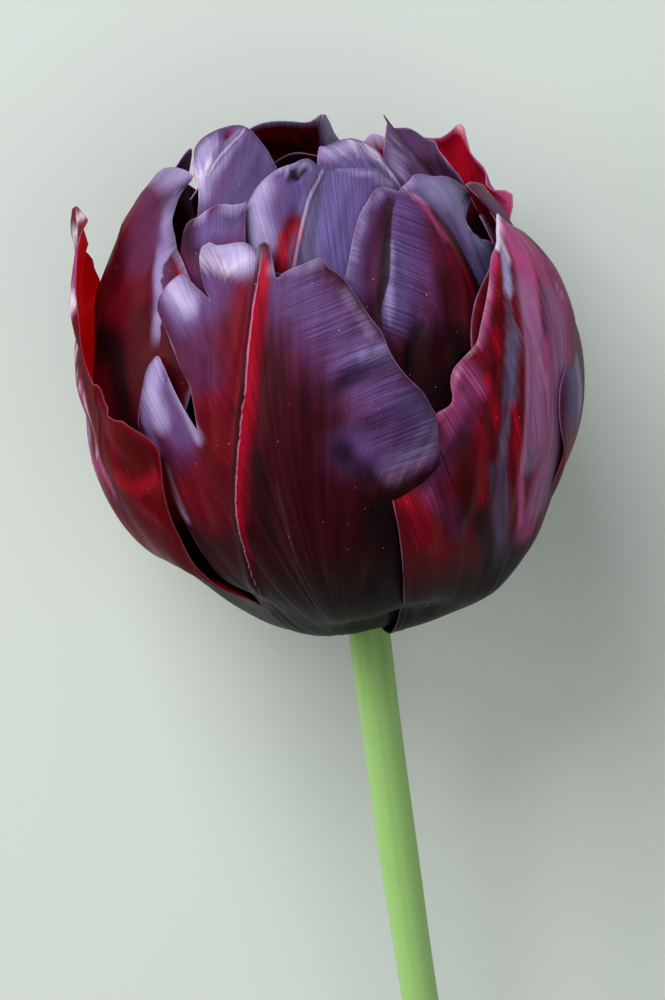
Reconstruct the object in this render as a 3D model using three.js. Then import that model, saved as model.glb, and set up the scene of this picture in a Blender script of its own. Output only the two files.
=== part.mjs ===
// A double late tulip bloom on its bare cut stem, lying on its side. Millimetres, +Z up.
// The bloom points to +Y, the stem's cut end to -Y, and the side the picture shows faces up.
import * as THREE from 'three';

// ---- driving dimensions -----------------------------------------------------------------
const HEAD_RADIUS = 39;        // the rounded head is 78 mm across
const PETAL_THICKNESS = 0.55;
const AXIS_RISE_DEG = 7.0;     // the head's axis climbs this much towards the tips as it lies
const FLAT_DEPTH = 1.9;        // how far the lowest petal is pressed flat where it rests
const STEM_RADIUS_TOP = 3.2;
const STEM_RADIUS_END = 2.9;
const STEM_LENGTH = 220;
const STEM_SIDE_DEG = [-2.7, -1.2, 1.6, 3.4];   // sideways lean of the stem at 0, 60, 140 and 220 mm
const STEM_SAG_DEG = 1.42;     // how much more the stem droops at its end
const PISTIL_LENGTH = 21;
const ANTHER_LENGTH = 11;
const CENTRE_OFFSET = [0.46, -108.11];   // puts the middle of the bounding box over the origin

const RAD = Math.PI / 180;
const HALF = PETAL_THICKNESS / 2;

// ---- petals -----------------------------------------------------------------------------
// Every petal lies on a rounded shell that starts at the top of the stem. az is the side of the
// bloom it is on (0 faces up, 90 to +X), lift is how high on the receptacle it is attached,
// start and base are the angle from the pole and the half width in azimuth of its attachment,
// tall is how much higher than wide its shell is. Each column is a fibre from the base to the
// margin: [u, sideways angle, angle from the pole, how much it fans out]. shell holds the
// shell's size in head radii: a line for each v in ALONG, with a value for each u in ACROSS.
// layer holds, for each column, how far out of that shell (mm, from the head's centre) each of
// its rows lies, so that the petals lie on one another like the leaves of a bud.
const PETALS = [
  { name: 'outer_petal_front', az: -12, lift: 0.1, start: 6.18, base: 24, tall: 1, rows: [0,0.1,0.25,0.42,0.6,0.77,0.9,1],
    columns: [[-1,-26.2,54.7,0.8], [-0.8,-39.3,104.1,1.3], [-0.78,-38.1,109.3,1.32], [-0.71,-30.5,121.9,1.39], [-0.595,-19.8,101.4,2.18], [-0.565,-19.9,111.1,2.63], [-0.49,-27.8,134.9,2.87], [-0.41,-21.2,138.9,2.53], [-0.26,-14.7,142.9,2.16], [-0.11,-4.7,139.5,1.88], [-0.06,-1.7,133.5,1.82], [0,0.1,137.3,1.8], [0.07,3,127.7,1.82], [0.18,12.1,130.5,1.93], [0.27,16.1,125.7,2.03], [0.49,24.9,105.4,2.05], [0.64,31.4,93.7,1.79], [0.88,35,69,1.03], [1,28,46,0.8]],
    shell: [[0.93,0.93,0.93,0.93,0.93,0.93,0.93,0.93,0.93], [0.894,0.913,0.931,0.952,0.964,0.956,0.945,0.932,0.911], [0.898,0.924,0.948,0.97,0.981,0.975,0.966,0.951,0.926], [0.902,0.926,0.95,0.972,0.988,0.988,0.983,0.966,0.935], [0.905,0.925,0.946,0.971,0.99,0.996,0.997,0.977,0.94], [0.907,0.922,0.938,0.963,0.988,1.011,1.02,0.988,0.938], [0.91,0.918,0.927,0.95,0.985,1.027,1.043,0.997,0.935]],
    layer: [[0,0,0,0,0,0.48,0.45,1.49], [0,0,0.01,0.04,0.14,0.55,1.04,2.04], [0,0,0.01,0.03,0.1,0.28,0.5,0.53], [0,0,0.01,0.04,0.11,0.27,0.55,0.85], [0,0,0.01,0.05,0.14,0.38,0.85,1.42], [0,0,0.01,0.05,0.15,0.43,1.08,1.96], [0,0,0.01,0.05,0.15,0.44,1.09,2.03], [0,0,0.01,0.05,0.15,0.4,0.89,1.46], [-0.01,0,0.01,0.05,0.15,0.39,0.83,1.38], [-0.01,-0.01,0,0.04,0.12,0.33,0.7,1.17], [-0.01,-0.01,0,0.03,0.11,0.3,0.64,1.08], [-0.01,-0.01,-0.01,0.02,0.09,0.26,0.56,0.95], [-0.01,-0.02,-0.01,0.01,0.07,0.2,0.44,0.72], [-0.02,-0.03,-0.03,-0.02,0.02,0.1,0.18,0.23], [-0.03,-0.04,-0.04,-0.05,-0.03,0.04,0.06,0], [-0.04,-0.07,-0.12,-0.17,-0.18,-0.11,0.44,1.93], [1.26,0.16,-0.23,-0.45,-0.52,-0.45,0.11,1.51], [1.29,0.07,-0.33,-0.52,-0.52,-0.5,-0.48,-0.48], [0.68,-0.39,-0.31,-0.19,-0.11,-0.04,-0.18,-0.78]] },
  { name: 'outer_petal_right', az: 50, lift: -0.3, start: 5.95, base: 24, tall: 1, rows: [0,0.1,0.25,0.42,0.6,0.77,0.9,1],
    columns: [[-1,-28.9,42.6,0.8], [-0.9,-37.1,63.6,0.85], [-0.82,-39.7,76.1,0.9], [-0.72,-27,83.3,0.97], [-0.66,-28.4,93,1.01], [-0.61,-23.2,95.1,1.04], [-0.52,-19.3,102.9,1.1], [-0.44,-12.2,106.2,1.15], [-0.25,1,120.8,1.25], [0,13.8,128.8,1.3], [0.3,28,119.1,1.22], [0.38,27,114,1.18], [0.62,36,97,1.03], [0.8,37,80,0.92], [1,28,44,0.8]],
    shell: [[0.98,0.98,0.98,0.98,0.98,0.98,0.98,0.98,0.98], [1.002,0.998,0.993,0.992,0.991,0.979,0.962,0.945,0.928], [1.004,1.008,1.008,1.011,1.016,1.002,0.979,0.958,0.939], [1.007,1.01,1.008,1.013,1.019,1.004,0.981,0.961,0.94], [1.01,1.01,1.001,1.007,1.016,1.002,0.981,0.961,0.94], [1.012,1.009,0.988,0.994,1.003,0.994,0.978,0.96,0.942], [1.015,1.008,0.971,0.976,0.985,0.981,0.973,0.96,0.945]],
    layer: [[0.38,0.62,0.54,0.47,0.56,0.82,0.38,0.66], [1.61,1.57,0.43,0.36,0.36,0.54,0.7,1.1], [0.43,0.81,0.29,0.25,0.25,0.44,0.7,0.78], [0.06,0.15,0.19,0.17,0.19,0.41,0.54,0.5], [0.05,0.12,0.15,0.13,0.14,0.3,0.28,-0.18], [0.04,0.17,0.24,0.18,0.14,0.22,0.08,-0.74], [0.02,0.23,0.61,0.49,0.25,0.22,0.01,-0.95], [0.01,0.12,0.25,0.17,0.1,0.21,0.26,0.12], [-0.02,-0.01,-0.08,-0.16,-0.12,0.1,0.64,1.42], [-0.06,-0.15,-0.41,-0.6,-0.48,-0.17,0.34,1.09], [-0.09,-0.28,-0.71,-1.01,-0.74,-0.47,-0.36,-0.08], [-0.08,-0.41,-0.97,-1.15,-0.8,-0.52,-0.57,-0.52], [-0.14,-0.4,-0.82,-0.64,-0.42,-0.35,-0.44,-0.54], [-0.17,-0.29,-0.36,-0.28,-0.22,-0.23,-0.16,-0.08], [-0.2,-0.2,-0.23,-0.14,-0.13,-0.27,-0.08,0]] },
  { name: 'outer_petal_left', az: -90, lift: -0.6, start: 6.27, base: 24, tall: 1, rows: [0,0.1,0.25,0.42,0.6,0.77,0.9,1],
    columns: [[-1,-28,46,0.8], [-0.8,-41,88,0.9], [-0.65,-40,98,0.98], [-0.43,-31.5,106.9,1.09], [-0.21,-22.1,116.3,1.2], [-0.06,-13,127,1.27], [0,11.9,133.3,1.3], [0.16,19.2,123,1.4], [0.36,22.6,107.5,1.5], [0.48,27.9,105.5,1.48], [0.59,31.5,101,1.41], [0.67,36.9,101.7,1.34], [0.81,45,99.4,1.19], [0.86,47.2,97.2,1.11], [0.92,47.6,89.6,0.98], [0.96,43.1,66.5,0.89], [1,36.5,46.3,0.8]],
    shell: [[0.93,0.93,0.93,0.93,0.93,0.93,0.93,0.93,0.93], [0.983,0.97,0.957,0.943,0.935,0.939,0.944,0.947,0.95], [0.988,0.976,0.964,0.95,0.941,0.945,0.948,0.949,0.95], [0.995,0.984,0.973,0.961,0.953,0.954,0.954,0.953,0.952], [1,0.992,0.985,0.978,0.972,0.967,0.963,0.961,0.959], [1,1.002,1.004,1.02,1.035,1.005,0.978,0.971,0.965], [1,1.012,1.026,1.073,1.12,1.056,0.996,0.981,0.97]],
    layer: [[0.02,0.14,0.5,1.09,0.96,0.73,0.8,0.9], [0.02,0.16,0.43,0.74,0.74,0.65,0.69,0.96], [0.01,0.13,0.27,0.34,0.32,0.29,0.23,0.07], [0.01,0.11,0.22,0.28,0.3,0.26,0.15,0.03], [0.01,0.07,0.17,0.34,0.45,0.33,0.16,0.01], [0.01,0.05,0.12,0.27,0.43,0.36,0.17,0], [0.01,0.04,0.1,0.18,0.33,0.31,0.16,0], [0,0.03,0.07,0.13,0.22,0.21,0.11,0], [0,0.02,0.04,0.07,0.1,0.09,0.05,0], [0,0.01,0.03,0.05,0.06,0.06,0.03,0], [0,0.01,0.02,0.03,0.04,0.04,0.02,0], [0,0.01,0.01,0.02,0.03,0.02,0.03,0.02], [0,0,0.01,0.01,0.01,0.01,0.04,0.04], [0,0,0,0.01,0.01,0.01,0.01,0], [0,0,0,0,0,0.01,0.01,0], [0,0,0,0,0,0.01,0.09,0.14], [0,0,0,0,0,0,0.32,0.58]] },
  { name: 'outer_petal_right_back', az: 98, lift: -0.6, start: 6.01, base: 24, tall: 1, rows: [0,0.1,0.25,0.42,0.6,0.77,0.9,1],
    columns: [[-1,-26,42,0.8], [-0.82,-40.7,74.6,0.93], [-0.7,-41.2,86.4,1], [-0.5,-33.3,92.5,1.11], [-0.4,-34,99,1.17], [-0.18,-15.4,112.6,1.27], [0,0,122,1.3], [0.14,10,119,1.28], [0.3,21,112,1.22], [0.5,32,103,1.11], [0.7,38,92,0.98], [0.86,39,78,0.88], [1,30,48,0.8]],
    shell: [[0.97,0.97,0.97,0.97,0.97,0.97,0.97,0.97,0.97], [1.013,1.007,1.002,0.998,0.991,0.974,0.953,0.937,0.92], [1.028,1.027,1.026,1.024,1.016,0.997,0.973,0.953,0.933], [1.03,1.029,1.027,1.023,1.014,0.996,0.973,0.953,0.933], [1.03,1.024,1.018,1.006,0.992,0.978,0.963,0.947,0.93], [1.026,1.019,1.012,0.992,0.969,0.96,0.952,0.941,0.93], [1.02,1.014,1.007,0.978,0.945,0.942,0.939,0.935,0.93]],
    layer: [[0.23,0.6,0.86,1.82,1.42,1.47,1.03,1.06], [0.21,0.5,0.69,1.13,1.22,1.47,1.19,1.3], [0.19,0.39,0.43,0.47,0.53,0.67,0.82,0.93], [0.16,0.27,0.29,0.3,0.35,0.56,0.9,1.17], [0.14,0.24,0.34,0.35,0.35,0.61,1.18,1.86], [0.1,0.15,0.26,0.29,0.33,0.63,1.29,2.13], [0.07,0.09,0.12,0.16,0.27,0.55,1.04,1.55], [0.05,0.05,0.07,0.14,0.23,0.47,0.85,1.27], [0.03,0.03,0.07,0.25,0.22,0.35,0.6,0.85], [0.01,0,0.04,0.25,0.14,0.14,0.17,0.21], [-0.02,-0.05,-0.04,-0.01,-0.06,-0.21,-0.17,0.02], [-0.04,-0.1,-0.11,-0.12,-0.2,-0.44,-0.34,-0.08], [-0.06,-0.16,-0.18,-0.17,-0.14,-0.27,-0.4,-0.23]] },
  { name: 'outer_petal_back', az: 172, lift: -0.9, start: 5.92, base: 24, tall: 1, rows: [0,0.11,0.26,0.42,0.58,0.73,0.87,1],
    columns: [[-1,-30,46,0.8], [-0.8,-39.4,83.3,0.92], [-0.55,-34.4,105.7,1.08], [-0.28,-18.6,120.9,1.23], [0,0,132,1.3], [0.28,18.6,121,1.23], [0.55,34.4,105.7,1.08], [0.8,39.4,83.3,0.92], [1,30,46,0.8]],
    shell: [[0.98,0.98,0.98,0.98,0.98,0.98,0.98,0.98,0.98], [1,0.994,0.988,0.987,0.986,0.987,0.988,0.994,1], [1.012,1.005,0.998,0.995,0.993,0.995,0.998,1.005,1.012], [1.018,1.01,1.003,0.999,0.997,0.999,1.003,1.01,1.018], [1.02,1.012,1.006,1.002,1,1.002,1.006,1.012,1.02], [1.02,1.016,1.012,1.011,1.012,1.011,1.012,1.016,1.02], [1.02,1.02,1.02,1.024,1.03,1.024,1.02,1.02,1.02]],
    layer: [[0.2,0.52,0.56,0.52,0.5,1.04,1.62,1.76], [0.14,0.26,0.29,0.32,0.47,0.81,1.23,1.67], [0.07,0.12,0.15,0.17,0.23,0.3,0.32,0], [0.04,0.07,0.14,0.23,0.32,0.35,0.25,0], [0.02,0.09,0.22,0.43,0.76,0.8,0.49,0.01], [0.01,0.11,0.33,0.74,1.86,1.88,0.93,0.17], [0,0.12,0.31,0.61,1.25,1.34,0.76,0.12], [0,0.11,0.24,0.32,0.44,0.46,0.3,0.06], [0,0.15,0.25,0.12,0.02,0,0,0.02]] },
  { name: 'outer_petal_left_back', az: -136, lift: 0, start: 6.2, base: 24, tall: 1, rows: [0,0.11,0.26,0.42,0.58,0.73,0.87,1],
    columns: [[-1,-30,46,0.8], [-0.8,-39.4,83.1,0.92], [-0.55,-34.4,107.2,1.08], [-0.28,-18.7,125.1,1.23], [0,0,138,1.3], [0.28,19.7,126.1,1.23], [0.55,34.1,108.4,1.08], [0.8,38.4,84.3,0.92], [1,29,46,0.8]],
    shell: [[0.95,0.95,0.95,0.95,0.95,0.95,0.95,0.95,0.95], [0.93,0.941,0.952,0.959,0.963,0.96,0.953,0.942,0.93], [0.942,0.956,0.969,0.976,0.98,0.977,0.97,0.957,0.943], [0.947,0.963,0.977,0.987,0.991,0.986,0.976,0.961,0.945], [0.95,0.966,0.982,0.993,0.999,0.991,0.977,0.961,0.945], [0.953,0.972,0.989,1.002,1.01,0.997,0.977,0.961,0.945], [0.955,0.977,0.997,1.012,1.02,1.002,0.976,0.96,0.945]],
    layer: [[0,0,0,0,-0.04,-0.31,-0.27,-0.57], [-0.01,-0.05,-0.12,-0.27,-0.59,-1.11,-1.61,-2.65], [-0.02,-0.08,-0.17,-0.38,-0.75,-1.23,-1.74,-2.19], [-0.03,-0.1,-0.18,-0.54,-0.84,-0.7,-0.63,-0.17], [-0.05,-0.31,-0.72,-1.69,-2.22,-0.81,-0.19,0.26], [-0.07,-0.84,-2.36,-2.68,-2.37,-0.83,0.05,0.97], [-0.09,-0.56,-0.67,-0.22,-0.91,-0.61,-0.18,0.6], [-0.09,-0.22,-0.21,-0.42,-0.69,-0.66,-0.58,-0.28], [-0.1,-0.1,-0.3,-0.58,-0.68,-0.86,-0.66,-0.38]] },
  { name: 'mid_petal_left', az: -82, lift: 1.25, start: 6.94, base: 20, tall: 1.04, rows: [0,0.1,0.25,0.42,0.6,0.77,0.9,1],
    columns: [[-1,-28,46,0.8], [-0.88,-40,88,0.89], [-0.76,-39,104,0.96], [-0.54,-28.4,122.5,1.1], [-0.42,-22,131,1.18], [-0.28,0.9,141.1,1.29], [-0.03,3.2,150,1.56], [0.18,14.2,155.1,2.6], [0.37,13.2,149.3,2.44], [0.48,16.2,145.8,2.21], [0.73,35.3,139.1,1.33], [0.8,43,132.9,1.18], [0.88,40,88,1.03], [1,28,46,0.8]],
    shell: [[0.82,0.82,0.82,0.82,0.82,0.82,0.82,0.82,0.82], [0.828,0.841,0.853,0.856,0.857,0.854,0.849,0.838,0.825], [0.863,0.88,0.895,0.902,0.905,0.898,0.886,0.872,0.856], [0.876,0.903,0.925,0.936,0.941,0.931,0.912,0.884,0.858], [0.88,0.915,0.945,0.958,0.963,0.95,0.924,0.889,0.851], [0.873,0.917,0.957,0.97,0.976,0.955,0.92,0.88,0.837], [0.86,0.917,0.966,0.98,0.985,0.958,0.912,0.866,0.82]],
    layer: [[0,0.13,0.15,-0.12,-0.89,-0.67,-0.25,0.43], [0,0.08,0.06,-0.09,-0.32,-0.17,0.15,0.5], [0,0.03,-0.01,-0.21,-0.29,-0.18,-0.09,-0.06], [0,-0.01,-0.09,-0.45,-0.59,-0.38,-0.34,-0.28], [0,0.01,-0.05,-0.22,-0.38,-0.35,-0.32,-0.28], [0,0.02,-0.04,-0.19,-0.34,-0.33,-0.28,-0.28], [0,0.01,-0.03,-0.11,-0.16,-0.14,-0.02,0.14], [0,-0.01,-0.03,-0.06,-0.07,-0.04,0.08,0.21], [0,0,-0.01,-0.03,-0.02,0.05,0.22,0.44], [0,0.02,0.01,-0.01,-0.01,0.06,0.33,1.06], [0,0.14,0.14,0.01,-0.05,-0.16,0.04,1.2], [0,0.26,0.26,0.01,-0.23,-0.9,-0.43,0.89], [0,0.05,0.04,-0.04,-0.36,-1.72,-1.14,0.34], [0,0,0,0,0,-0.57,-0.5,-0.17]] },
  { name: 'mid_petal_front', az: 32, lift: 1.3, start: 6.93, base: 20, tall: 1.13, rows: [0,0.1,0.25,0.42,0.6,0.77,0.9,1],
    columns: [[-1,-28,46,0.8], [-0.88,-40,88,0.87], [-0.8,-36,104,0.92], [-0.72,-28,116,0.97], [-0.44,-7.4,135.8,1.15], [-0.28,-1.1,139.1,1.23], [0,6.2,135.9,1.3], [0.27,12.4,126.2,1.24], [0.49,15.3,116,1.12], [0.62,16.1,107.7,1.03], [0.7,26,103,0.98], [0.88,35,82,0.87], [0.94,34,66,0.83], [1,28,46,0.8]],
    shell: [[0.82,0.82,0.82,0.82,0.82,0.82,0.82,0.82,0.82], [0.816,0.83,0.842,0.846,0.847,0.846,0.842,0.83,0.815], [0.835,0.854,0.871,0.878,0.881,0.878,0.871,0.854,0.834], [0.846,0.867,0.886,0.896,0.901,0.896,0.886,0.868,0.847], [0.85,0.872,0.892,0.904,0.91,0.904,0.892,0.875,0.854], [0.85,0.871,0.889,0.899,0.904,0.899,0.889,0.875,0.86], [0.85,0.868,0.883,0.891,0.895,0.891,0.883,0.875,0.865]],
    layer: [[0.42,0.57,0.71,0.29,0.13,0.33,0.35,0.36], [-0.05,0.1,0.34,0.19,0.13,0.22,0.28,0.4], [-0.72,-0.01,0.37,0.26,0.07,0.05,0.06,0], [0.16,0.23,0.52,0.28,0.04,0.03,0.05,0.01], [0.34,0.26,0.16,-0.01,-0.07,0.02,0.17,0.27], [0.46,0.36,-0.06,-0.16,-0.23,-0.08,0.23,0.56], [0.2,0.02,-0.13,-0.47,-0.93,-0.51,0.21,1.01], [-0.05,-0.16,-0.49,-0.76,-1.06,-0.64,-0.06,0.5], [-0.05,-0.28,-0.95,-1.02,-0.74,-0.44,-0.15,0.01], [-0.12,-0.32,-0.68,-0.78,-0.58,-0.31,-0.12,0], [-0.14,-0.2,-0.42,-0.4,-0.33,-0.22,-0.1,0], [-0.18,-0.18,-0.28,-0.28,-0.25,-0.21,-0.13,-0.06], [-0.2,-0.16,-0.34,-0.33,-0.28,-0.25,-0.17,-0.09], [-0.22,-0.09,-0.25,-0.32,-0.27,-0.31,-0.26,-0.11]] },
  { name: 'mid_petal_right', az: 50, lift: 2.05, start: 7.19, base: 20, tall: 1.28, rows: [0,0.1,0.25,0.42,0.6,0.77,0.9,1],
    columns: [[-1,-28,46,0.8], [-0.88,-40,88,0.87], [-0.7,-33,114,0.98], [-0.4,-6.7,132.3,1.17], [-0.18,1.6,132.5,1.27], [0.46,6.6,116.4,1.14], [0.66,17,119,1.01], [0.73,27,112,0.96], [0.8,36,101,0.92], [0.88,40,88,0.87], [1,28,46,0.8]],
    shell: [[0.76,0.76,0.76,0.76,0.76,0.76,0.76,0.76,0.76], [0.756,0.768,0.779,0.782,0.784,0.782,0.779,0.77,0.76], [0.776,0.79,0.803,0.81,0.814,0.81,0.803,0.794,0.785], [0.782,0.799,0.814,0.822,0.826,0.821,0.813,0.803,0.792], [0.785,0.802,0.818,0.826,0.83,0.826,0.818,0.807,0.795], [0.787,0.801,0.814,0.824,0.83,0.827,0.821,0.81,0.797], [0.79,0.799,0.808,0.821,0.83,0.828,0.824,0.813,0.8]],
    layer: [[-0.41,-0.43,0.38,0.08,-0.1,-0.12,1.01,0.8], [0.22,0.11,0.01,0.3,0.35,0.53,0.87,0.98], [-0.02,0.07,0.39,0.84,0.37,0.23,0.44,0.75], [-0.07,-0.13,0.18,0.61,0.22,0.01,0.16,0.5], [-0.07,-0.09,-0.01,0.04,-0.05,-0.17,-0.31,-0.57], [-0.12,-0.18,-0.1,-0.05,-0.06,-0.09,-0.09,-0.07], [-0.08,-0.18,-0.08,-0.02,-0.03,-0.03,-0.02,0.03], [-0.06,-0.15,0.04,0.09,-0.01,-0.02,-0.01,0.01], [-0.05,-0.16,-0.07,-0.02,-0.02,-0.01,-0.01,0], [-0.03,-0.11,-0.06,-0.03,-0.01,-0.01,0,0], [0,0,0,0,0,0,0,0]] },
  { name: 'mid_petal_far_right', az: 76, lift: 1.25, start: 6.94, base: 20, tall: 1.14, rows: [0,0.1,0.25,0.42,0.6,0.77,0.9,1],
    columns: [[-1,-28,46,0.8], [-0.94,-36,68,0.83], [-0.8,-39,100,0.92], [-0.7,-32,110,0.98], [-0.58,-6.8,117.7,1.06], [-0.2,-6,129,1.26], [0,3.6,125.9,1.3], [0.1,14.8,123.2,1.29], [0.4,13.3,111.9,1.17], [0.5,17,116,1.11], [0.78,38,98,0.93], [0.88,40,88,0.87], [1,28,46,0.8]],
    shell: [[0.82,0.82,0.82,0.82,0.82,0.82,0.82,0.82,0.82], [0.833,0.846,0.856,0.857,0.858,0.857,0.856,0.845,0.832], [0.873,0.888,0.9,0.904,0.905,0.904,0.9,0.887,0.872], [0.882,0.9,0.914,0.921,0.923,0.921,0.913,0.9,0.885], [0.885,0.902,0.918,0.926,0.93,0.926,0.918,0.904,0.889], [0.887,0.9,0.912,0.922,0.928,0.926,0.921,0.909,0.895], [0.89,0.896,0.903,0.916,0.925,0.925,0.924,0.914,0.9]],
    layer: [[0.46,1,0.62,1.18,0.94,1.23,1.62,1.93], [0.47,0.95,1,1.25,1.36,1.99,2.35,2.64], [0.48,0.83,0.91,0.88,0.99,1.39,1.84,1.75], [0.42,0.73,0.79,0.68,0.53,0.58,0.65,0.48], [0.41,0.6,0.71,0.52,0.25,0.05,-0.06,-0.07], [0.28,0.26,0.21,0.04,-0.28,-0.89,-1.27,-1.38], [0.21,0.16,0.09,-0.07,-0.41,-1.08,-1.56,-1.68], [0.18,0.15,0.1,-0.06,-0.4,-1.05,-1.74,-2.17], [0.16,0.18,0.21,0.11,-0.26,-0.91,-1.81,-2.74], [0.16,0.26,0.46,0.48,-0.02,-0.69,-1.52,-2.48], [0.21,0.43,0.77,0.89,0.51,0.21,0.23,0.05], [0.24,0.46,0.7,0.75,0.64,0.8,1.55,1.39], [0.28,0.54,0.79,0.87,0.72,0.87,1.38,1.48]] },
  { name: 'mid_petal_back_right', az: 132, lift: 1.35, start: 6.92, base: 20, tall: 1.1, rows: [0,0.11,0.26,0.42,0.58,0.73,0.87,1],
    columns: [[-1,-28,46,0.8], [-0.8,-39.2,97.3,0.92], [-0.55,-28.5,113.5,1.08], [-0.28,-13.9,125.2,1.23], [0,-1,134,1.3], [0.28,16.5,124.4,1.23], [0.55,30.6,112.5,1.08], [0.8,39.2,96.6,0.92], [1,28,46,0.8]],
    shell: [[0.82,0.82,0.82,0.82,0.82,0.82,0.82,0.82,0.82], [0.825,0.837,0.848,0.851,0.853,0.851,0.848,0.837,0.825], [0.855,0.869,0.882,0.889,0.893,0.889,0.882,0.869,0.855], [0.862,0.877,0.89,0.898,0.902,0.898,0.89,0.877,0.862], [0.865,0.879,0.893,0.901,0.904,0.901,0.893,0.879,0.865], [0.868,0.886,0.903,0.916,0.923,0.916,0.903,0.886,0.868], [0.87,0.893,0.916,0.938,0.95,0.938,0.916,0.893,0.87]],
    layer: [[-0.28,-0.48,-0.52,-0.51,-0.73,-1.22,-1.13,-0.75], [-0.2,-0.44,-0.68,-1.18,-1.72,-1.29,-1.01,-0.69], [-0.12,-0.29,-0.57,-1.3,-2.18,-1.53,-1.52,-2.43], [-0.05,-0.14,-0.27,-0.53,-0.86,-0.9,-1.23,-2.37], [0.01,-0.03,-0.07,-0.15,-0.24,-0.23,-0.09,0.63], [0.07,0.09,0.12,0.1,0.02,0.03,0.14,0.38], [0.14,0.26,0.51,0.54,0.21,0.2,0.28,0.03], [0.24,0.46,0.7,0.68,0.37,0.57,1.16,1.38], [0.32,0.66,0.8,0.53,0.28,0.6,1.38,1.24]] },
  { name: 'mid_petal_back', az: -172, lift: 1.3, start: 7.48, base: 20, tall: 1.12, rows: [0,0.11,0.26,0.42,0.58,0.73,0.87,1],
    columns: [[-1,-28,46,0.8], [-0.8,-39.6,98.9,0.92], [-0.55,-32.6,121.8,1.08], [-0.28,-18.4,142.5,1.23], [0,0,153,1.3], [0.28,18.4,144.9,1.23], [0.55,32.6,121.9,1.08], [0.8,39.6,98.9,0.92], [1,28,46,0.8]],
    shell: [[0.76,0.76,0.76,0.76,0.76,0.76,0.76,0.76,0.76], [0.764,0.778,0.791,0.794,0.795,0.794,0.791,0.778,0.764], [0.793,0.813,0.829,0.836,0.839,0.836,0.829,0.813,0.793], [0.806,0.827,0.846,0.856,0.86,0.856,0.846,0.827,0.806], [0.81,0.832,0.852,0.864,0.87,0.864,0.852,0.832,0.81], [0.806,0.829,0.85,0.865,0.873,0.865,0.85,0.829,0.806], [0.8,0.824,0.846,0.865,0.875,0.865,0.846,0.824,0.8]],
    layer: [[-0.33,-0.47,-0.47,-0.37,-0.41,-0.78,-0.47,0.42], [-0.25,-0.4,-0.51,-0.68,-0.68,-0.24,0.44,0.91], [-0.16,-0.28,-0.45,-0.78,-0.75,0.14,1.48,2.94], [-0.09,-0.17,-0.44,-1.1,-0.39,0.61,1.93,3.38], [-0.04,-0.09,-0.31,-0.89,-0.15,0.69,1.7,2.78], [-0.02,0.03,0.08,0.06,0.24,0.54,0.75,0.35], [-0.01,0.14,0.47,0.54,0.43,0.63,0.96,1.02], [0,0.18,0.47,0.54,0.54,1.01,1.89,2.67], [0.01,0.19,0.34,0.41,0.38,0.97,1.5,1.57]] },
  { name: 'mid_petal_back_left', az: -118, lift: 2, start: 7.21, base: 20, tall: 1.12, rows: [0,0.11,0.26,0.42,0.58,0.73,0.87,1],
    columns: [[-1,-28,46,0.8], [-0.8,-39.6,98.4,0.92], [-0.55,-30.5,118.7,1.08], [-0.28,-14.5,135.3,1.23], [0,0,147,1.3], [0.28,16.2,135.3,1.23], [0.55,31.5,116.7,1.08], [0.8,39.6,97,0.92], [1,28,46,0.8]],
    shell: [[0.76,0.76,0.76,0.76,0.76,0.76,0.76,0.76,0.76], [0.76,0.773,0.784,0.789,0.791,0.789,0.784,0.773,0.761], [0.784,0.8,0.814,0.825,0.83,0.825,0.814,0.801,0.786], [0.796,0.815,0.833,0.845,0.851,0.845,0.833,0.813,0.79], [0.8,0.822,0.842,0.854,0.86,0.854,0.842,0.818,0.79], [0.796,0.818,0.837,0.848,0.853,0.846,0.833,0.811,0.786], [0.79,0.81,0.828,0.836,0.84,0.832,0.817,0.799,0.78]],
    layer: [[-0.01,-0.12,-0.21,-0.2,-0.35,-0.83,-0.76,-0.3], [-0.01,-0.18,-0.42,-0.74,-0.86,-0.76,-0.49,-0.16], [-0.01,-0.21,-0.63,-1.29,-1.64,-1.13,-0.51,-0.21], [-0.01,-0.27,-1.01,-1.74,-1.44,-0.8,-0.29,-0.26], [-0.01,-0.44,-1.84,-1.88,-0.93,-0.09,0.7,1.95], [-0.03,-0.38,-1.12,-0.78,-0.2,0.27,0.85,1.84], [-0.01,-0.17,-0.26,-0.17,0.02,0.2,0.36,0.42], [-0.01,-0.05,-0.09,-0.11,-0.02,0.06,0.08,0], [0,0,-0.1,-0.26,-0.12,0,0,0]] },
  { name: 'inner_petal_centre', az: 2, lift: 2.85, start: 8.56, base: 20, tall: 1.36, rows: [0,0.1,0.25,0.42,0.6,0.77,0.9,1],
    columns: [[-1,-28,46,0.8], [-0.94,-36,68,0.83], [-0.88,-40,88,0.87], [-0.75,-18.9,129,0.95], [-0.6,-15.8,139.7,1.05], [-0.38,-8.6,144.6,1.18], [-0.06,4.9,150.1,1.3], [0,7.5,148.1,1.3], [0.32,23,145.2,1.21], [0.5,28.5,140.1,1.11], [0.7,26.6,123.9,0.98], [0.8,38,106,0.92], [0.88,40,88,0.87], [1,28,46,0.8]],
    shell: [[0.6,0.6,0.6,0.6,0.6,0.6,0.6,0.6,0.6], [0.619,0.634,0.646,0.649,0.651,0.649,0.646,0.634,0.619], [0.668,0.687,0.703,0.711,0.714,0.711,0.703,0.687,0.668], [0.691,0.714,0.734,0.743,0.747,0.743,0.734,0.714,0.691], [0.7,0.726,0.748,0.756,0.76,0.756,0.748,0.726,0.7], [0.7,0.719,0.735,0.742,0.745,0.741,0.733,0.716,0.696], [0.7,0.707,0.714,0.718,0.72,0.716,0.709,0.7,0.69]],
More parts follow.
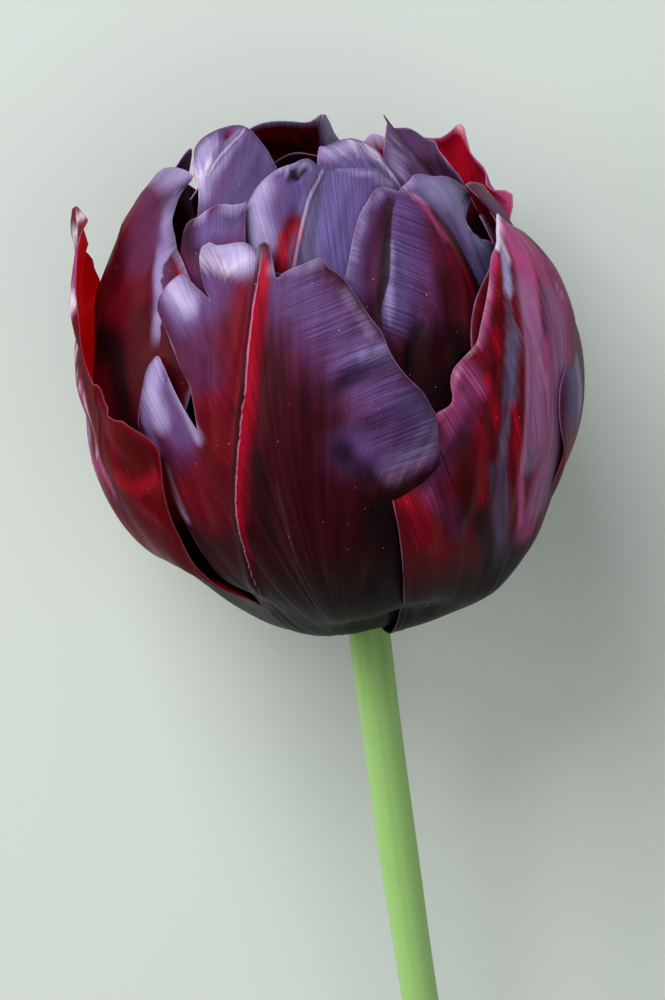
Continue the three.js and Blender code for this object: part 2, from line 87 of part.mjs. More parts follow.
    layer: [[0,0.05,-0.14,-0.47,-0.99,-0.68,-0.19,-0.22], [0.01,0,-0.13,-0.25,-0.38,-0.19,0.05,0.14], [0.02,-0.01,-0.06,0,0.01,0.17,0.4,0.65], [0.02,-0.51,0.26,0.31,0.21,0.46,0.89,1.38], [0.44,0.68,1.01,0.37,0.28,0.68,1.45,2.38], [0.85,0.69,0.33,0.02,0.22,0.78,1.84,3.21], [0.11,-0.26,-0.09,-0.35,0.11,0.74,1.3,1.64], [0.43,-0.11,-0.13,-0.54,-0.13,0.6,1.11,1.45], [0.46,0.4,-0.02,-0.95,-0.22,0.61,1.8,3.75], [-0.48,-0.08,-0.21,-0.95,-0.05,0.76,1.92,3.85], [-0.79,-0.56,-0.49,-0.74,0.08,0.88,1.91,3.26], [0.16,-0.46,-0.23,-0.06,0.29,0.91,1.8,2.82], [-0.42,-0.44,0.33,0.15,0.31,0.94,1.77,2.44], [-0.15,-0.01,0.51,0.07,0.07,0.12,0.45,0.82]] },
  { name: 'inner_petal_crest', az: 30, lift: 3.55, start: 9.17, base: 20, tall: 1.6, rows: [0,0.1,0.25,0.42,0.6,0.77,0.9,1],
    columns: [[-1,-28,46,0.8], [-0.94,-36,68,0.83], [-0.88,-40,88,0.87], [-0.75,-36,106,0.95], [-0.53,-9.7,142.9,1.09], [-0.4,-3.4,151.1,1.17], [-0.25,3.3,154.5,1.25], [0,9,150,1.3], [0.44,11.6,128.8,1.15], [0.58,11.3,120.7,1.06], [0.7,30,116,0.98], [0.8,38,103,0.92], [0.88,40,88,0.87], [1,28,46,0.8]],
    shell: [[0.52,0.52,0.52,0.52,0.52,0.52,0.52,0.52,0.52], [0.541,0.553,0.563,0.566,0.567,0.565,0.562,0.551,0.539], [0.591,0.604,0.616,0.622,0.625,0.622,0.614,0.602,0.589], [0.606,0.623,0.639,0.65,0.656,0.653,0.644,0.629,0.611], [0.61,0.629,0.647,0.662,0.67,0.666,0.658,0.64,0.62], [0.606,0.621,0.635,0.645,0.651,0.649,0.644,0.631,0.616], [0.6,0.607,0.614,0.618,0.62,0.62,0.62,0.616,0.61]],
    layer: [[0.09,-0.31,0.18,-0.2,0.02,0.62,0.3,1.35], [-1.72,-0.85,0.18,0.16,0.31,0.6,0.94,1.76], [-0.9,-0.26,0.14,0.45,0.52,0.7,1.08,1.33], [-1.09,-0.23,0.51,1.08,0.98,1.1,1.81,2.73], [-1.41,-0.42,1.06,1.49,1.27,1.2,1.54,2.04], [-0.7,0.03,1.39,1.6,1.26,0.93,0.52,-0.25], [-0.81,-0.01,1.46,1.61,1.24,0.83,0.09,-1.1], [-0.6,0.16,1.34,1.46,1.38,1.27,1.26,1.27], [-0.06,0.27,1.11,1.33,1.91,2.46,3.53,4.75], [-0.02,0.24,0.89,0.58,1.44,2.54,3.87,5.26], [0.01,0.33,0.79,0.58,1.38,2.61,3.91,5.25], [0.03,0.34,0.82,1.16,1.74,2.77,4.05,5.19], [0.05,0.31,0.76,1.18,1.75,2.91,4.28,5.12], [0.06,0.23,0.61,0.99,1.38,2.25,2.86,3.21]] },
  { name: 'inner_petal_upper_left', az: -22, lift: 3.6, start: 9.11, base: 20, tall: 1.66, rows: [0,0.1,0.25,0.42,0.6,0.77,0.9,1],
    columns: [[-1,-28,46,0.8], [-0.88,-40,88,0.87], [-0.78,-36,106,0.93], [-0.34,-24.3,152.2,1.2], [-0.26,-21.2,155.4,1.24], [0,-6.2,155.7,1.3], [0.22,5,147.1,1.26], [0.4,10.6,140.3,1.17], [0.62,14.6,124,1.03], [0.74,32,112,0.96], [0.88,40,88,0.87], [1,28,46,0.8]],
    shell: [[0.52,0.52,0.52,0.52,0.52,0.52,0.52,0.52,0.52], [0.531,0.543,0.553,0.556,0.558,0.556,0.553,0.543,0.531], [0.57,0.584,0.596,0.603,0.606,0.603,0.596,0.584,0.57], [0.589,0.606,0.621,0.634,0.641,0.635,0.624,0.608,0.591], [0.599,0.618,0.636,0.651,0.66,0.652,0.637,0.619,0.6], [0.61,0.63,0.648,0.656,0.66,0.652,0.637,0.619,0.6], [0.62,0.642,0.659,0.66,0.66,0.652,0.637,0.619,0.6]],
    layer: [[0.04,0.44,0.64,0.58,0.9,0.44,0.57,0.2], [0.03,0.39,0.47,0.48,0.59,0.25,0.22,0.05], [0.02,0.48,0.5,0.16,-0.02,-0.24,-0.29,-0.3], [-0.01,0.31,0.27,-0.23,-0.77,-1.52,-2.12,-2.49], [-0.01,0.19,0.12,-0.31,-0.87,-1.69,-2.42,-2.94], [-0.05,0.12,-0.01,-0.43,-1.05,-2,-3.12,-4.22], [-0.09,-0.08,-0.21,-0.49,-0.99,-1.78,-2.72,-3.61], [-0.15,-0.24,-0.43,-0.62,-0.96,-1.56,-2.25,-2.61], [-0.39,-0.82,-1.14,-1.08,-1.04,-1.38,-2.2,-2.66], [-2.1,-2.73,-1.98,-1.18,-0.97,-1.2,-1.97,-2.32], [-2.52,-1.97,-1.04,-0.75,-0.71,-0.92,-1.3,-1.35], [-3.46,-2.69,-0.7,-0.92,-0.65,-0.81,-1.34,-0.99]] },
  { name: 'inner_petal_left_fold', az: -32, lift: 2.1, start: 8.02, base: 20, tall: 1.3, rows: [0,0.1,0.25,0.42,0.6,0.77,0.9,1],
    columns: [[-1,-28,46,0.8], [-0.88,-40,88,0.87], [-0.76,-34,108,0.94], [-0.6,-15.2,126,1.05], [-0.5,-15.2,133,1.11], [-0.4,-12.4,136.1,1.17], [-0.18,-4.9,136.6,1.27], [-0.04,-2.1,138.4,1.3], [0.18,5.1,137.1,1.27], [0.3,8.3,138.5,1.22], [0.54,12,123.8,1.09], [0.66,30,120,1.01], [0.78,37,105,0.93], [0.88,40,88,0.87], [1,28,46,0.8]],
    shell: [[0.68,0.68,0.68,0.68,0.68,0.68,0.68,0.68,0.68], [0.699,0.712,0.723,0.726,0.728,0.726,0.723,0.712,0.699], [0.749,0.763,0.776,0.783,0.787,0.783,0.776,0.763,0.749], [0.769,0.785,0.799,0.807,0.811,0.807,0.799,0.786,0.771], [0.779,0.794,0.808,0.816,0.82,0.816,0.808,0.795,0.78], [0.79,0.8,0.809,0.812,0.812,0.81,0.805,0.793,0.78], [0.8,0.805,0.81,0.806,0.8,0.8,0.8,0.791,0.78]],
    layer: [[0,0.08,0.29,-0.16,0.16,0.23,0.31,0.39], [0,0.07,0.14,0.03,-0.09,-0.36,-0.6,-0.75], [0,0,-0.05,-0.28,-0.53,-1.02,-1.57,-2.11], [0,-0.03,-0.16,-0.51,-0.91,-1.73,-2.68,-3.52], [0,-0.02,-0.14,-0.44,-1,-1.89,-2.84,-3.56], [0,0.08,0.02,-0.36,-1.07,-2.05,-2.95,-3.1], [0,0.39,0.39,-0.29,-1.1,-2.12,-2.5,-2.07], [0,0.32,0.25,-0.38,-1.12,-1.98,-2.11,-1.73], [0,0.15,0.04,-0.36,-0.9,-1.39,-1.36,-0.86], [0.01,0.09,-0.01,-0.31,-0.71,-1.02,-0.98,-0.53], [0.01,0.1,0.04,-0.18,-0.45,-0.53,-0.49,-0.32], [0.02,0.16,0.07,-0.24,-0.57,-0.33,-0.06,0.34], [0.02,1.08,0.59,-0.34,-0.83,-0.2,0.34,0.97], [0.96,1.23,0.51,-0.34,-0.58,0.11,0.66,1.13], [1.1,0.64,0.22,-0.42,-0.08,0.3,0.67,0.47]] },
  { name: 'inner_petal_upper_right', az: 66, lift: 4.2, start: 7.59, base: 20, tall: 1.48, rows: [0,0.1,0.25,0.42,0.6,0.77,0.9,1],
    columns: [[-1,-28,46,0.8], [-0.88,-40,88,0.87], [-0.76,-37,106,0.94], [-0.54,-14.3,128.7,1.09], [-0.38,-9.8,136.9,1.18], [0.52,6.7,121.3,1.1], [0.72,10.8,110.4,0.97], [0.8,36,106,0.92], [0.88,40,88,0.87], [1,28,46,0.8]],
    shell: [[0.58,0.58,0.58,0.58,0.58,0.58,0.58,0.58,0.58], [0.604,0.617,0.629,0.632,0.633,0.632,0.629,0.617,0.603], [0.658,0.676,0.691,0.698,0.701,0.698,0.691,0.675,0.656], [0.681,0.706,0.729,0.741,0.746,0.741,0.728,0.707,0.684], [0.69,0.72,0.746,0.762,0.77,0.762,0.746,0.723,0.699], [0.686,0.713,0.736,0.747,0.751,0.753,0.748,0.731,0.71], [0.68,0.702,0.719,0.72,0.72,0.738,0.749,0.737,0.72]],
    layer: [[-0.14,-0.42,-0.85,-1.59,-2.14,-2.42,-2.58,-2.48], [-0.09,-0.4,-1.04,-2.04,-2.82,-2.39,-2.35,-2.33], [0.01,-0.13,-0.92,-1.97,-2.77,-2.36,-2.33,-2.24], [-0.02,-0.28,-1.08,-1.95,-2.65,-2.81,-2.91,-3], [-0.03,-0.58,-1.56,-2.69,-3.33,-3.31,-3.42,-3.62], [0.04,-0.41,-1.24,-2.22,-2.46,-1.97,-1.49,-0.52], [0.03,-0.2,-0.61,-1,-1.2,-1.05,-0.67,-0.03], [0.03,-0.11,-0.37,-0.62,-0.77,-0.72,-0.45,0], [0.02,-0.02,-0.2,-0.36,-0.45,-0.42,-0.26,0], [0.01,0.13,0.04,0,0,0,0,0]] },
  { name: 'inner_petal_back_right', az: 146, lift: 2.75, start: 8.94, base: 20, tall: 1.36, rows: [0,0.11,0.26,0.42,0.58,0.73,0.87,1],
    columns: [[-1,-28,46,0.8], [-0.8,-39.2,94.7,0.92], [-0.55,-29.5,106.4,1.08], [-0.28,-13.4,115.2,1.23], [0,0,121,1.3], [0.28,15.2,115.7,1.23], [0.55,30.5,106.4,1.08], [0.8,39.2,94.7,0.92], [1,28,46,0.8]],
    shell: [[0.58,0.58,0.58,0.58,0.58,0.58,0.58,0.58,0.58], [0.601,0.615,0.627,0.63,0.632,0.63,0.627,0.615,0.601], [0.653,0.672,0.688,0.695,0.698,0.695,0.688,0.672,0.653], [0.693,0.714,0.734,0.745,0.75,0.745,0.734,0.714,0.693], [0.718,0.742,0.764,0.779,0.786,0.779,0.764,0.742,0.718], [0.731,0.76,0.787,0.806,0.816,0.806,0.787,0.76,0.731], [0.74,0.774,0.805,0.828,0.84,0.828,0.805,0.774,0.74]],
    layer: [[0,0,0.09,0.03,0,0,0,0], [0,0.03,0.05,0.02,-0.03,-0.06,-0.07,0], [0,0.1,0.13,0.07,-0.1,-0.22,-0.33,-0.38], [0,0.2,0.32,0.14,-0.28,-0.54,-0.76,-0.76], [0,0.14,0.08,-0.38,-0.83,-1.06,-1.84,-3.51], [0,0.09,0.01,-0.38,-0.77,-1.03,-1.84,-3.39], [0.01,0.08,0.02,-0.14,-0.34,-0.55,-0.85,-1.18], [0.01,0.15,0.12,0.01,-0.08,-0.04,0.1,0.19], [0.02,0.25,0.25,0.06,0,0.15,0.51,0.28]] },
  { name: 'inner_petal_back', az: 175, lift: 3.45, start: 8.93, base: 20, tall: 1.42, rows: [0,0.11,0.26,0.42,0.58,0.73,0.87,1],
    columns: [[-1,-28,46,0.8], [-0.8,-39.6,97.3,0.92], [-0.55,-31.5,113.5,1.08], [-0.28,-16.2,124.7,1.23], [0,0,131,1.3], [0.28,16.2,124.1,1.23], [0.55,31.5,112.5,1.08], [0.8,39.6,96.6,0.92], [1,28,46,0.8]],
    shell: [[0.54,0.54,0.54,0.54,0.54,0.54,0.54,0.54,0.54], [0.558,0.572,0.584,0.587,0.588,0.587,0.584,0.572,0.558], [0.606,0.624,0.641,0.647,0.65,0.647,0.641,0.624,0.606], [0.639,0.661,0.681,0.692,0.697,0.692,0.681,0.661,0.639], [0.659,0.683,0.705,0.72,0.727,0.72,0.705,0.683,0.659], [0.666,0.692,0.717,0.736,0.746,0.736,0.717,0.692,0.666], [0.67,0.699,0.726,0.748,0.76,0.748,0.726,0.699,0.67]],
    layer: [[0,0.06,0,-0.3,-0.24,-0.6,-0.63,-0.11], [-0.01,-0.03,-0.15,-0.18,-0.19,-0.29,-0.3,-0.04], [-0.01,-0.08,-0.09,-0.13,-0.18,-0.3,-0.39,-0.28], [-0.02,-0.1,-0.12,-0.21,-0.33,-0.54,-0.99,-1.68], [-0.02,-0.1,-0.19,-0.45,-0.58,-0.75,-1.45,-3], [-0.01,-0.07,-0.17,-0.45,-0.54,-0.62,-1.07,-2.02], [-0.01,-0.04,-0.08,-0.19,-0.22,-0.28,-0.36,-0.26], [-0.01,-0.01,-0.02,-0.05,-0.06,-0.07,-0.08,0], [0,0,0,0,0,0,0,0]] },
  { name: 'inner_petal_back_left', az: -98, lift: 2.85, start: 8.86, base: 20, tall: 1.38, rows: [0,0.11,0.26,0.42,0.58,0.73,0.87,1],
    columns: [[-1,-28,46,0.8], [-0.8,-39.6,97.4,0.92], [-0.55,-30.5,112.5,1.08], [-0.28,-15.6,124.1,1.23], [0,0,131,1.3], [0.28,16.2,124.1,1.23], [0.55,31.5,112.5,1.08], [0.8,39.6,96.6,0.92], [1,28,46,0.8]],
    shell: [[0.58,0.58,0.58,0.58,0.58,0.58,0.58,0.58,0.58], [0.595,0.61,0.622,0.625,0.626,0.625,0.622,0.61,0.596], [0.639,0.658,0.674,0.681,0.684,0.681,0.674,0.659,0.641], [0.66,0.682,0.702,0.712,0.717,0.712,0.702,0.68,0.655], [0.669,0.694,0.716,0.728,0.734,0.728,0.716,0.69,0.659], [0.675,0.7,0.723,0.736,0.743,0.737,0.722,0.695,0.665], [0.68,0.704,0.727,0.742,0.75,0.742,0.726,0.7,0.67]],
    layer: [[0,0,-0.01,0,0,0,0,0], [0,-0.01,-0.1,-0.03,-0.04,-0.05,-0.06,0], [0,-0.01,-0.03,-0.05,-0.11,-0.2,-0.26,-0.1], [0,-0.01,-0.03,-0.09,-0.21,-0.43,-0.87,-1.66], [0,-0.01,-0.04,-0.1,-0.24,-0.5,-1.03,-2.04], [0,-0.01,-0.03,-0.09,-0.2,-0.35,-0.55,-0.74], [0,-0.02,-0.05,-0.14,-0.27,-0.26,-0.18,0], [0,-0.05,-0.14,-0.39,-0.54,-0.28,-0.08,0.05], [0,-0.08,-0.18,-0.69,-0.97,-0.19,0,0.05]] },
  { name: 'heart_petal_1', az: 150, lift: 4.3, start: 10.63, base: 22, tall: 1.5, rows: [0,0.14,0.34,0.56,0.78,1],
    columns: [[-1,-30,50,0.8], [-0.8,-41.8,90.5,0.92], [-0.55,-36.2,114.6,1.08], [-0.28,-18.7,134.8,1.23], [0,0,142,1.3], [0.28,18.7,133.9,1.23], [0.55,36.2,113.6,1.08], [0.8,41.8,90.3,0.92], [1,30,50,0.8]],
    shell: [[0.41,0.41,0.41,0.41,0.41,0.41,0.41,0.41,0.41], [0.439,0.443,0.447,0.45,0.451,0.45,0.447,0.443,0.439], [0.475,0.484,0.492,0.498,0.5,0.498,0.492,0.484,0.475], [0.479,0.489,0.498,0.509,0.516,0.509,0.498,0.489,0.479], [0.475,0.487,0.498,0.511,0.52,0.511,0.498,0.487,0.475], [0.465,0.476,0.488,0.501,0.509,0.501,0.488,0.476,0.465], [0.45,0.462,0.473,0.484,0.49,0.484,0.473,0.462,0.45]],
    layer: [[0.01,0.4,0.57,0.67,1.12,1.73], [0,0.2,0.33,0.5,0.93,1.74], [0,-0.03,0.06,0.12,0.21,0.07], [0,-0.13,-0.03,0.01,0.04,0], [0,-0.02,-0.01,0,0.01,0], [0,0.03,0.02,0.01,0,0], [0,0.02,0.01,0,0,0], [0,0.01,0,0,0.04,0.11], [0,0,0,0,0.02,0.07]] },
  { name: 'heart_petal_2', az: -60, lift: 4.35, start: 10.54, base: 22, tall: 1.5, rows: [0,0.14,0.34,0.56,0.78,1],
    columns: [[-1,-30,50,0.8], [-0.8,-41.8,89.7,0.92], [-0.55,-36.2,110.4,1.08], [-0.28,-18.7,130.8,1.23], [0,0,138,1.3], [0.28,18.7,129.9,1.23], [0.55,36.2,109.3,1.08], [0.8,41.8,89.5,0.92], [1,30,50,0.8]],
    shell: [[0.41,0.41,0.41,0.41,0.41,0.41,0.41,0.41,0.41], [0.439,0.443,0.447,0.45,0.451,0.45,0.447,0.443,0.439], [0.475,0.484,0.492,0.498,0.5,0.498,0.492,0.484,0.475], [0.479,0.489,0.498,0.509,0.516,0.509,0.498,0.489,0.479], [0.475,0.487,0.498,0.511,0.52,0.511,0.498,0.487,0.475], [0.465,0.476,0.488,0.501,0.509,0.501,0.488,0.476,0.465], [0.45,0.462,0.473,0.484,0.49,0.484,0.473,0.462,0.45]],
    layer: [[0.03,0.21,0.55,0.52,0.97,1.32], [0.01,0.11,0.24,0.38,0.8,1.35], [0,0.01,0.03,0.06,0.14,0], [-0.01,-0.08,-0.15,-0.14,-0.03,0], [-0.02,-0.29,-0.65,-0.48,-0.12,0], [-0.04,-0.37,-0.78,-0.45,-0.1,0], [-0.03,-0.27,-0.38,-0.21,-0.05,0], [-0.02,-0.24,-0.59,-0.36,-0.09,0], [-0.01,-0.1,-0.64,-0.53,-0.11,0]] },
  { name: 'heart_petal_3', az: 85, lift: 5, start: 10.41, base: 22, tall: 1.55, rows: [0,0.14,0.34,0.56,0.78,1],
    columns: [[-1,-30,50,0.8], [-0.8,-41.8,90.1,0.92], [-0.55,-36.2,112.5,1.08], [-0.28,-18.7,132.8,1.23], [0,0,140,1.3], [0.28,18.7,131.9,1.23], [0.55,36.2,111.4,1.08], [0.8,41.8,89.9,0.92], [1,30,50,0.8]],
    shell: [[0.369,0.369,0.369,0.369,0.369,0.369,0.369,0.369,0.369], [0.396,0.399,0.403,0.405,0.406,0.405,0.403,0.399,0.396], [0.427,0.435,0.443,0.448,0.45,0.448,0.443,0.435,0.427], [0.431,0.44,0.449,0.458,0.464,0.458,0.449,0.44,0.431], [0.428,0.438,0.448,0.46,0.468,0.46,0.448,0.438,0.428], [0.418,0.429,0.44,0.451,0.458,0.451,0.44,0.429,0.418], [0.405,0.415,0.426,0.435,0.441,0.435,0.426,0.415,0.405]],
    layer: [[-0.01,-0.15,-0.68,-0.45,0,0], [-0.05,-0.14,-0.27,-0.19,-0.03,0], [-0.05,-0.08,-0.07,-0.05,-0.01,0], [-0.04,-0.04,-0.03,-0.03,-0.02,0], [-0.03,-0.04,-0.05,-0.07,-0.06,0], [-0.02,-0.06,-0.17,-0.28,-0.22,0], [-0.01,-0.17,-0.53,-0.97,-0.68,0], [-0.01,-0.27,-0.69,-1,-0.62,0], [0,-0.33,-0.61,-0.42,-0.13,0]] },
  { name: 'heart_petal_4', az: -130, lift: 4.9, start: 10.86, base: 22, tall: 1.55, rows: [0,0.14,0.34,0.56,0.78,1],
    columns: [[-1,-30,50,0.8], [-0.8,-41.8,90.1,0.92], [-0.55,-36.2,112.5,1.08], [-0.28,-18.7,132.8,1.23], [0,0,140,1.3], [0.28,18.7,131.9,1.23], [0.55,36.2,111.4,1.08], [0.8,41.8,89.9,0.92], [1,30,50,0.8]],
    shell: [[0.361,0.361,0.361,0.361,0.361,0.361,0.361,0.361,0.361], [0.387,0.39,0.394,0.396,0.397,0.396,0.394,0.39,0.387], [0.418,0.426,0.433,0.438,0.44,0.438,0.433,0.426,0.418], [0.422,0.43,0.439,0.448,0.454,0.448,0.439,0.43,0.422], [0.418,0.428,0.438,0.45,0.458,0.45,0.438,0.428,0.418], [0.409,0.419,0.43,0.441,0.448,0.441,0.43,0.419,0.409], [0.396,0.406,0.416,0.426,0.431,0.426,0.416,0.406,0.396]],
    layer: [[0.05,0.54,0.19,0.32,0.61,1.07], [0.04,0.28,0.18,0.29,0.58,1.26], [0.04,0.11,0.07,0.08,0.12,0], [0.08,0.08,0.04,0.01,0.01,0], [0.07,0.07,0.03,-0.01,-0.02,0], [0.02,0.03,-0.03,-0.17,-0.16,0], [0,-0.04,-0.2,-0.7,-0.7,0], [-0.01,-0.11,-0.32,-0.88,-0.86,-0.01], [-0.01,-0.2,-0.41,-0.61,-0.37,-0.05]] },
  { name: 'heart_petal_5', az: -165, lift: 5.6, start: 10.96, base: 22, tall: 1.6, rows: [0,0.14,0.34,0.56,0.78,1],
    columns: [[-1,-30,50,0.8], [-0.8,-41.8,87.8,0.92], [-0.55,-36.2,101.8,1.08], [-0.28,-18.7,122.8,1.23], [0,0,130,1.3], [0.28,18.7,121.9,1.23], [0.55,36.2,100.7,1.08], [0.8,41.8,87.6,0.92], [1,30,50,0.8]],
    shell: [[0.303,0.303,0.303,0.303,0.303,0.303,0.303,0.303,0.303], [0.325,0.328,0.331,0.333,0.333,0.333,0.331,0.328,0.325], [0.351,0.358,0.364,0.368,0.37,0.368,0.364,0.358,0.351], [0.355,0.362,0.369,0.377,0.382,0.377,0.369,0.362,0.355], [0.352,0.36,0.368,0.378,0.385,0.378,0.368,0.36,0.352], [0.344,0.353,0.361,0.371,0.377,0.371,0.361,0.353,0.344], [0.333,0.342,0.35,0.358,0.363,0.358,0.35,0.342,0.333]],
    layer: [[0,0,-0.02,-0.07,0,0], [0,-0.01,-0.02,-0.04,-0.02,0], [-0.01,-0.04,-0.12,-0.19,-0.12,0], [-0.02,-0.17,-0.45,-0.82,-0.47,0], [-0.07,-0.25,-0.46,-0.8,-0.45,0], [-0.06,-0.22,-0.18,-0.2,-0.12,0], [-0.02,-0.12,-0.07,-0.04,-0.02,0], [-0.02,-0.08,-0.05,-0.04,-0.01,0], [-0.01,-0.11,-0.05,-0.11,0,0]] },
];

// ---- curves -----------------------------------------------------------------------------
function slopes(xs, ys) {
  const n = xs.length, d = [];
  for (let i = 0; i < n - 1; i++) d.push((ys[i + 1] - ys[i]) / (xs[i + 1] - xs[i]));
  const m = [d[0]];
  for (let i = 1; i < n - 1; i++) m.push(d[i - 1] * d[i] > 0 ? (2 * d[i - 1] * d[i]) / (d[i - 1] + d[i]) : 0);
  m.push(d[n - 2]);
  return m;
}
function curve(xs, ys, x) {
  const m = slopes(xs, ys);
  let i = 0;
  while (i < xs.length - 2 && x > xs[i + 1]) i++;
  const h = xs[i + 1] - xs[i], t = Math.min(1, Math.max(0, (x - xs[i]) / h)), a = t * t, b = a * t;
  return (2 * b - 3 * a + 1) * ys[i] + (b - 2 * a + t) * h * m[i] + (3 * a - 2 * b) * ys[i + 1] + (b - a) * h * m[i + 1];
}
const ACROSS = [-1, -0.78, -0.55, -0.28, 0, 0.28, 0.55, 0.78, 1];
const ALONG = [0, 0.12, 0.28, 0.48, 0.68, 0.85, 1];
function shellSize(petal, u, v) {
  return curve(ALONG, petal.shell.map((line) => curve(ACROSS, line, u)), v);
}

// ---- frame: the bloom's own axes (x to the side that faces up, z to the tips) to the lying one
const ca = Math.cos(AXIS_RISE_DEG * RAD), sa = Math.sin(AXIS_RISE_DEG * RAD);
function lying([x, y, z]) {
  const w = z - HEAD_RADIUS;
  return [y - CENTRE[0], -sa * x + ca * w - CENTRE[1], ca * x + sa * w + HEAD_RADIUS - FLAT_DEPTH];
}

// ---- closed mesh of one petal -------------------------------------------------------------
function middle(petal, i, j) {
  const [u, sm, tm, fan] = petal.columns[i], v = petal.rows[j];
  const phi = u * petal.base * RAD, tb = petal.start * RAD;
  const sb = Math.asin(Math.sin(tb) * Math.sin(phi)) / RAD;
  const t0 = Math.atan2(Math.sin(tb) * Math.cos(phi), Math.cos(tb)) / RAD;
  const s = (sb + (sm - sb) * Math.pow(v, fan)) * RAD;
  const tDeg = t0 + (tm - t0) * v, t = tDeg * RAD, az = petal.az * RAD;
  const r = HEAD_RADIUS * shellSize(petal, u, v);
  const dx = Math.cos(s) * Math.sin(t), dy = Math.sin(s), dz = -Math.cos(s) * Math.cos(t);
  const bulge = -1.3 * Math.sin(Math.PI * Math.min(1, Math.max(0, (tDeg - 4) / 50))) ** 2 * Math.cos(s);
  const x = r * (dx * Math.cos(az) - dy * Math.sin(az)), y = r * (dx * Math.sin(az) + dy * Math.cos(az));
  const z = petal.lift + r * petal.tall * (dz + 1) + bulge - HEAD_RADIUS;
  const out = 1 + petal.layer[i][j] / Math.hypot(x, y, z);
  const p = lying([x * out, y * out, z * out + HEAD_RADIUS]);
  if (petal.name === 'outer_petal_back') p[2] = Math.max(p[2], HALF);
  return p;
}
function petalMesh(petal) {
  const nu = petal.columns.length, nv = petal.rows.length;
  const mid = petal.columns.map((c, i) => petal.rows.map((v, j) => new THREE.Vector3(...middle(petal, i, j))));
  const normal = mid.map((row) => row.map(() => new THREE.Vector3()));
  const e1 = new THREE.Vector3(), e2 = new THREE.Vector3();
  const face = (a, b, c) => {
    const [A, B, C] = [a, b, c].map(([i, j]) => mid[i][j]);
    e1.subVectors(B, A); e2.subVectors(C, A);
    const n = new THREE.Vector3().crossVectors(e1, e2);
    for (const [i, j] of [a, b, c]) normal[i][j].add(n);
  };
  for (let i = 0; i < nu - 1; i++) for (let j = 0; j < nv - 1; j++) {
    face([i, j], [i + 1, j], [i + 1, j + 1]);
    face([i, j], [i + 1, j + 1], [i, j + 1]);
  }
  const pos = [], id = (side, i, j) => side * nu * nv + i * nv + j;
  for (const side of [1, -1]) for (let i = 0; i < nu; i++) for (let j = 0; j < nv; j++) {
    const n = normal[i][j].clone().normalize();
    const p = mid[i][j].clone().addScaledVector(n, side * HALF);
    pos.push(p.x, p.y, p.z);
  }
  const tri = [];
  const quad = (a, b, c, d) => tri.push(a, b, c, a, c, d);
  for (let i = 0; i < nu - 1; i++) for (let j = 0; j < nv - 1; j++) {
    quad(id(0, i, j), id(0, i + 1, j), id(0, i + 1, j + 1), id(0, i, j + 1));
    quad(id(1, i, j), id(1, i, j + 1), id(1, i + 1, j + 1), id(1, i + 1, j));
  }
  const loop = [];
  for (let i = 0; i < nu; i++) loop.push([i, 0]);
  for (let j = 1; j < nv; j++) loop.push([nu - 1, j]);
  for (let i = nu - 2; i >= 0; i--) loop.push([i, nv - 1]);
  for (let j = nv - 2; j > 0; j--) loop.push([0, j]);
  loop.forEach(([i, j], k) => {
    const [a, b] = loop[(k + 1) % loop.length];
    quad(id(1, i, j), id(1, a, b), id(0, a, b), id(0, i, j));
  });
  return { pos, tri };
}

// ---- closed tube along a line of rings -----------------------------------------------------
function tube(rings, sides, shape) {
  // rings: [{ at: [x, y, z], r }] in the bloom's own frame; capped with a point at each end
  const pos = [], tri = [];
  const pts = rings.map((q) => new THREE.Vector3(...q.at));
  let side = new THREE.Vector3(0, 1, 0);
  rings.forEach((q, k) => {
    const along = new THREE.Vector3().subVectors(pts[Math.min(k + 1, pts.length - 1)], pts[Math.max(k - 1, 0)]).normalize();
    side = side.clone().addScaledVector(along, -side.dot(along)).normalize();
    const up = new THREE.Vector3().crossVectors(along, side);
    for (let i = 0; i < sides; i++) {
      const a = (i / sides) * 2 * Math.PI, r = q.r * (shape ? shape(a, k) : 1);
      const p = pts[k].clone().addScaledVector(side, r * Math.cos(a)).addScaledVector(up, r * Math.sin(a));
      pos.push(...lying([p.x, p.y, p.z]));
    }
  });
  const n = rings.length;
  for (let k = 0; k < n - 1; k++) for (let i = 0; i < sides; i++) {
    const a = k * sides + i, b = k * sides + ((i + 1) % sides), c = b + sides, d = a + sides;
    tri.push(a, b, c, a, c, d);
  }
  const first = pos.length / 3;
  pos.push(...lying(rings[0].at), ...lying(rings[n - 1].at));
  for (let i = 0; i < sides; i++) {
    tri.push(first, (i + 1) % sides, i);
    tri.push(first + 1, (n - 1) * sides + i, (n - 1) * sides + ((i + 1) % sides));
  }
  return { pos, tri };
}

// ---- stem with its receptacle ---------------------------------------------------------------
function stemLine() {
  const line = [];
  let p = [0, 0, 0];
  const step = 2;
  for (let d = 0; d <= STEM_LENGTH + 1e-6; d += step) {
    line.push({ d, p: [...p] });
    const side = curve([0, 60, 140, 220], STEM_SIDE_DEG, d) * RAD;
    const sag = STEM_SAG_DEG * (d / STEM_LENGTH) * RAD;
    p = [p[0] - Math.sin(sag) * step, p[1] + Math.sin(side) * step, p[2] - Math.cos(sag) * Math.cos(side) * step];
  }
  return line;
}
function stemRadius(d) {
  return STEM_RADIUS_TOP + (STEM_RADIUS_END - STEM_RADIUS_TOP) * (d / STEM_LENGTH) - 0.12 * Math.sin(Math.PI * Math.min(1, d / 150));
}
